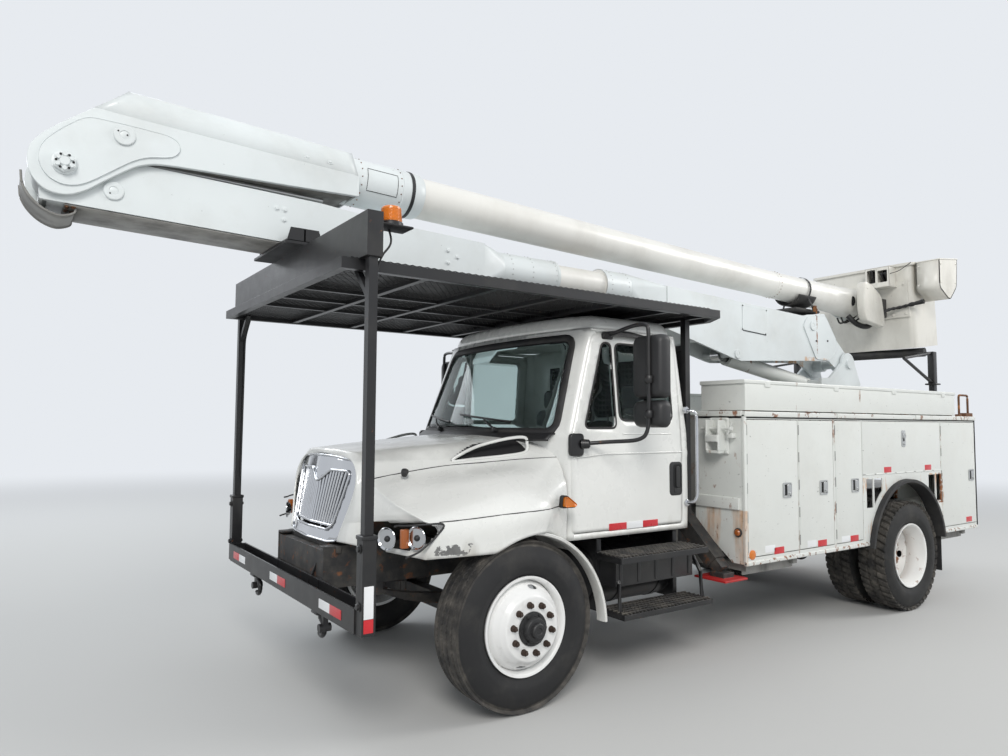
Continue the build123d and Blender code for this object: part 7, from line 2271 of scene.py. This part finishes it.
def makeTray(f, body):
    # the tool tray: a folded wall along line, two ends and a lip round the opening
    fx = axleX + faceX(3.4)
    line = rounded([(fx - 0.462, 3.664), (fx - 0.435, 3.335), (fx - 0.262, 3.165), (fx - 0.030, 3.290),
        (fx - 0.030, 3.612)], 0.05, 6)
    y0, y1 = f["trayY"]
    rows = [line3(line[:, 0], y, line[:, 1]) for y in (y0, y1)]
    wall = piece("toolTray", grid(np.stack(rows)), bucketShell, body, smooth=40)
    walled(wall, 0.010)
    ends = []
    for y in (y0, y1 - 0.010):
        ends.append(plate([tuple(p) for p in line.tolist()], (0, y + 0.010, 0), (1, 0, 0), (0, 0, 1), 0.010,
            0.002))
    for x, z in ((fx - 0.06, 3.56), (fx - 0.06, 3.35), (fx - 0.42, 3.60), (fx - 0.41, 3.38),
            (fx - 0.26, 3.20)):
        ends.append(bolt((x, y1 + 0.001, z), (0, 1, 0), 0.013, 0.006, 0.011))
    for z in (3.56, 3.34):
        ends.append(bolt((fx - 0.028, y0 + 0.03, z), (1, 0, 0), 0.013, 0.006, 0.011))
    piece("toolTrayEnds", ends, bucketShell, body, smooth=30)
    rim = np.array([(fx - 0.030, y0, 3.612), (fx - 0.030, y1, 3.612), (fx - 0.462, y1, 3.664),
        (fx - 0.462, y0, 3.664)])
    lip = np.concatenate([np.linspace(rim[k], rim[(k + 1) % 4], 8, endpoint=False) for k in range(4)])
    piece("toolTrayLip", tube(lip, 0.008, 8, closed=True), bucketShell, body, smooth=60)


def makeHoses(body):
    # each hose is a tube along its rounded route; the wrapped one swells by 4 mm as a sine
    wrap = rounded([at(-5.76, 0.30, 3.02), at(-5.84, 0.36, 3.095), at(faceX(3.11) + 0.055, 0.46, 3.108),
        at(faceX(3.13) + 0.045, 0.60, 3.130), at(faceX(3.15) + 0.030, 0.735, 3.150)], 0.06, 6)
    n = len(wrap)
    swell = 0.017 + 0.004 * np.sin(np.arange(n) * 2.1) + 0.006 * (np.arange(n) > n - 6)
    parts = [tube(wrap, swell, 14)]
    boot = rounded([at(-5.46, 0.09, 3.02), at(-5.50, 0.15, 2.93), at(-5.60, 0.19, 2.890),
        at(-5.72, 0.20, 2.905), at(-5.82, 0.19, 2.98)], 0.10, 7)
    parts.append(tube(boot, 0.030, 16))
    for y in (-0.10, -0.05, 0.04):
        run = rounded([at(-5.56, y, 3.02), at(-5.66, y - 0.03, 2.96), at(-5.80, y, 3.02),
            at(-5.90, y + 0.02, 3.10)], 0.06, 5)
        parts.append(tube(run, 0.010, 10))
    cord = rounded([at(faceX(3.55) + 0.12, 0.435, 3.50), at(faceX(3.55) + 0.09, 0.52, 3.52),
        at(faceX(3.60) + 0.02, 0.63, 3.612)], 0.04, 5)
    parts.append(tube(cord, 0.004, 8))
    piece("bucketHoses", parts, hoseBlack, body, smooth=60)


makeBucket(bucketForm)
print("bucket ready")


# Chassis: treads and straps of the steps, feet, hangers, springs' clamps, brakes and the rest's posts
chassisForm = {
    "steps": [(-1.600, -0.735, 0.930, 1.200, 0.850), (-1.640, -0.760, 0.930, 1.200, 0.476)],
    "tank": (0.700, 0.660, 0.215),
    "restX": -5.850, "restY": 0.830,
}


def makeSteps(f):
    # treads in two directions, tank straps, skirt ribs and step stays
    softened("side_steps", blackPaint, 0.006)
    treads = []
    for x0, x1, y0, y1, z in f["steps"]:
        for y in np.arange(y0 + 0.02, y1 - 0.005, 0.042):
            treads.append(padBox(at(x0 + 0.01, y, z), at(x1 - 0.01, y + 0.008, z + 0.010), 0.002, axis=0))
        for x in np.arange(x0 + 0.02, x1 - 0.01, 0.034):
            treads.append(padBox(at(x, y0 + 0.01, z), at(x + 0.010, y1 - 0.006, z + 0.007), 0.002, axis=1))
    piece("stepTreads", [sided(t, d) for t in treads for d in (1, -1)], stepPlate)
    y, z, r = f["tank"]
    straps, fittings = [], []
    for x in (-1.42, -1.02):
        straps.append(spun([(-0.022, r), (-0.022, r + 0.005), (0.022, r + 0.005), (0.022, r)], at(x, y, z),
            (1, 0, 0), 48))
    for d in (1, -1):
        # side skirt with its ribs between the two steps
        for k in range(5):
            x = -1.52 + 0.17 * k
            fittings.append(sided(padBox(at(x, 1.098, 0.655), at(x + 0.03, 1.104, 0.800), 0.004, axis=1), d))
        for x in (-1.62, -0.80):
            fittings.append(sided(tube([at(x, 1.00, 0.81), at(x - 0.005, 1.10, 0.66), at(x, 1.12, 0.476)],
                0.016, 10), d))
    piece("tankStraps", joined([sided(s, d) for s in straps for d in (1, -1)] + fittings), blackPaint,
        smooth=40)


def makeRunning():
    # axle details: spring clamps, brake chambers, tie rod, shock absorbers
    parts, dark = [], []
    for d in (1, -1):
        for ax, y, z in ((axleX, 0.395, 0.47), (rearAxleX, 0.49, 0.512)):
            for dx in (-0.045, 0.045):
                for dy in (-0.046, 0.046):
                    dark.append(tube([(ax + dx, (y + dy) * d, z - 0.09), (ax + dx, (y + dy) * d, z + 0.19)],
                        0.010, 8))
                    dark.append(bolt((ax + dx, (y + dy) * d, z - 0.075), (0, 0, -1), 0.030, 0.018))
            dark.append(padBox((ax - 0.07, (y - 0.065) * d, z - 0.085), (ax + 0.07, (y + 0.065) * d,
                z - 0.062), 0.01, axis=2))
        # brake chambers ahead of the rear axle and behind the front one
        chamber = [(0, 0.060), (0.012, 0.078), (0.050, 0.082), (0.058, 0.088), (0.066, 0.088), (0.072, 0.082),
            (0.150, 0.078), (0.165, 0.060), (0.168, 0.001)]
        parts.append(turned(chamber, (rearAxleX + 0.16, 0.30 * d, 0.60), (1, 0.15 * d, 0.1), 28))
        parts.append(turned(chamber[:7] + [(0.10, 0.06), (0.102, 0.001)], at(-0.14, 0.60 * d, 0.60),
            (-1, 0, 0.15), 28))
        shock = [(0, 0.028), (0.16, 0.028), (0.17, 0.020), (0.18, 0.014), (0.33, 0.014), (0.335, 0.026),
            (0.36, 0.026), (0.362, 0.001)]
        parts.append(turned(shock, at(-0.10, 0.52 * d, 0.48), (-0.25, 0, 1), 16))
    parts.append(tube([at(-0.17, -0.70, 0.45), at(-0.17, 0.70, 0.45)], 0.018, 12))
    piece("brakesAndRods", parts, chassisBlack, smooth=40)
    piece("springClamps", dark, chassisBlack, smooth=40)
    # liners over the front wheels and the hangers of the side packs
    a = np.radians(np.linspace(60, 142, 30))
    rows = [line3(axleX - 0.02 + r * np.cos(a), y, 0.500 + r * np.sin(a)) for y,
        r in ((0.66, 0.612), (0.68, 0.632), (0.985, 0.634))]
    shape = grid(np.stack(rows))
    liner = piece("wheelLiners", both(shape), underGrey, "hood", "trim_grey", smooth=60)
    walled(liner, 0.005)
    hangers = []
    for x in (-2.12, -2.72, -5.05, -5.70):
        hangers.append(padBox(at(x, 0.435, 0.615), at(x + 0.06, 1.175, 0.678), 0.006, axis=1))
        hangers.append(padBox(at(x - 0.005, 0.434, 0.61), at(x + 0.065, 0.446, 0.95), 0.006, axis=1))
    for x0, x1 in ((-2.70, -2.06), (-5.68, -5.05)):
        hangers.append(padBox(at(x0, 1.130, 0.585), at(x1, 1.142, 0.678), 0.004, axis=1))
    piece("packHangers", [sided(s, d) for s in hangers for d in (1, -1)], underGrey, slot="grey_paint")


def makeFeet():
    # each outrigger leg in black with its pad, below 0.6065 m, in red
    for side, _ in sides:
        for which in ("front", "rear"):
            obj = softened("outrigger_%s_%s" % (which, side), chassisBlack, 0.004)
            repainted(obj, padRed, lambda m: m[:, 2] < 0.6065)


def makeRest(f):
    # posts, cross arms and stays that carry the bucket's rest
    x, y = f["restX"], f["restY"]
    parts = []
    for d in (1, -1):
        parts += [padBox(at(x - 0.035, y - 0.035, 2.205), at(x + 0.035, y + 0.035, 2.560), 0.006, axis=2),
            padBox(at(x - 0.03, 0.690, 2.525), at(x + 0.03, y + 0.03, 2.562), 0.005, axis=1),
            padBox(at(x - 0.06, y - 0.06, 2.190), at(x + 0.06, y + 0.06, 2.208), 0.01, axis=2),
            tube([at(x + 0.02, y, 2.215), at(x + 0.62, y, 2.455)], 0.017, 10),
            tube([at(x + 0.62, y, 2.455), at(x + 0.02, y, 2.545)], 0.014, 10)]
        parts[-5:] = [sided(p, d) for p in parts[-5:]]
    piece("restPosts", parts, blackPaint)
    softened("bucket_rest", blackPaint, 0.003)


makeSteps(chassisForm)
makeRunning()
makeFeet()
makeRest(chassisForm)
print("chassis ready")


# Everything else keeps the frame's own solid, given its surface and rounded edges
carried = {
    "frame": (chassisBlack, 0.004), "front_axle": (chassisBlack, 0.006), "rear_axle": (chassisBlack, 0.006),
    "powertrain": (ironCast, 0.02), "boom_rest": (blackPaint, 0.004), "bed": (galvanised, 0.003),
    "arch_flares": (rubberBlack, 0.006), "pedestal": (packPaint, 0.01), "turntable": (boomPaint, 0.004),
    "elbow_disc": (boomPaint, 0.004), "lift_barrel": (packPaint, 0.004), "lift_rod": (rodSteel, 0.0),
    "knuckle_left": (chassisBlack, 0.003), "knuckle_right": (chassisBlack, 0.003),
}
for node, (material, width) in carried.items():
    softened(node, material, width)
print("carried over")
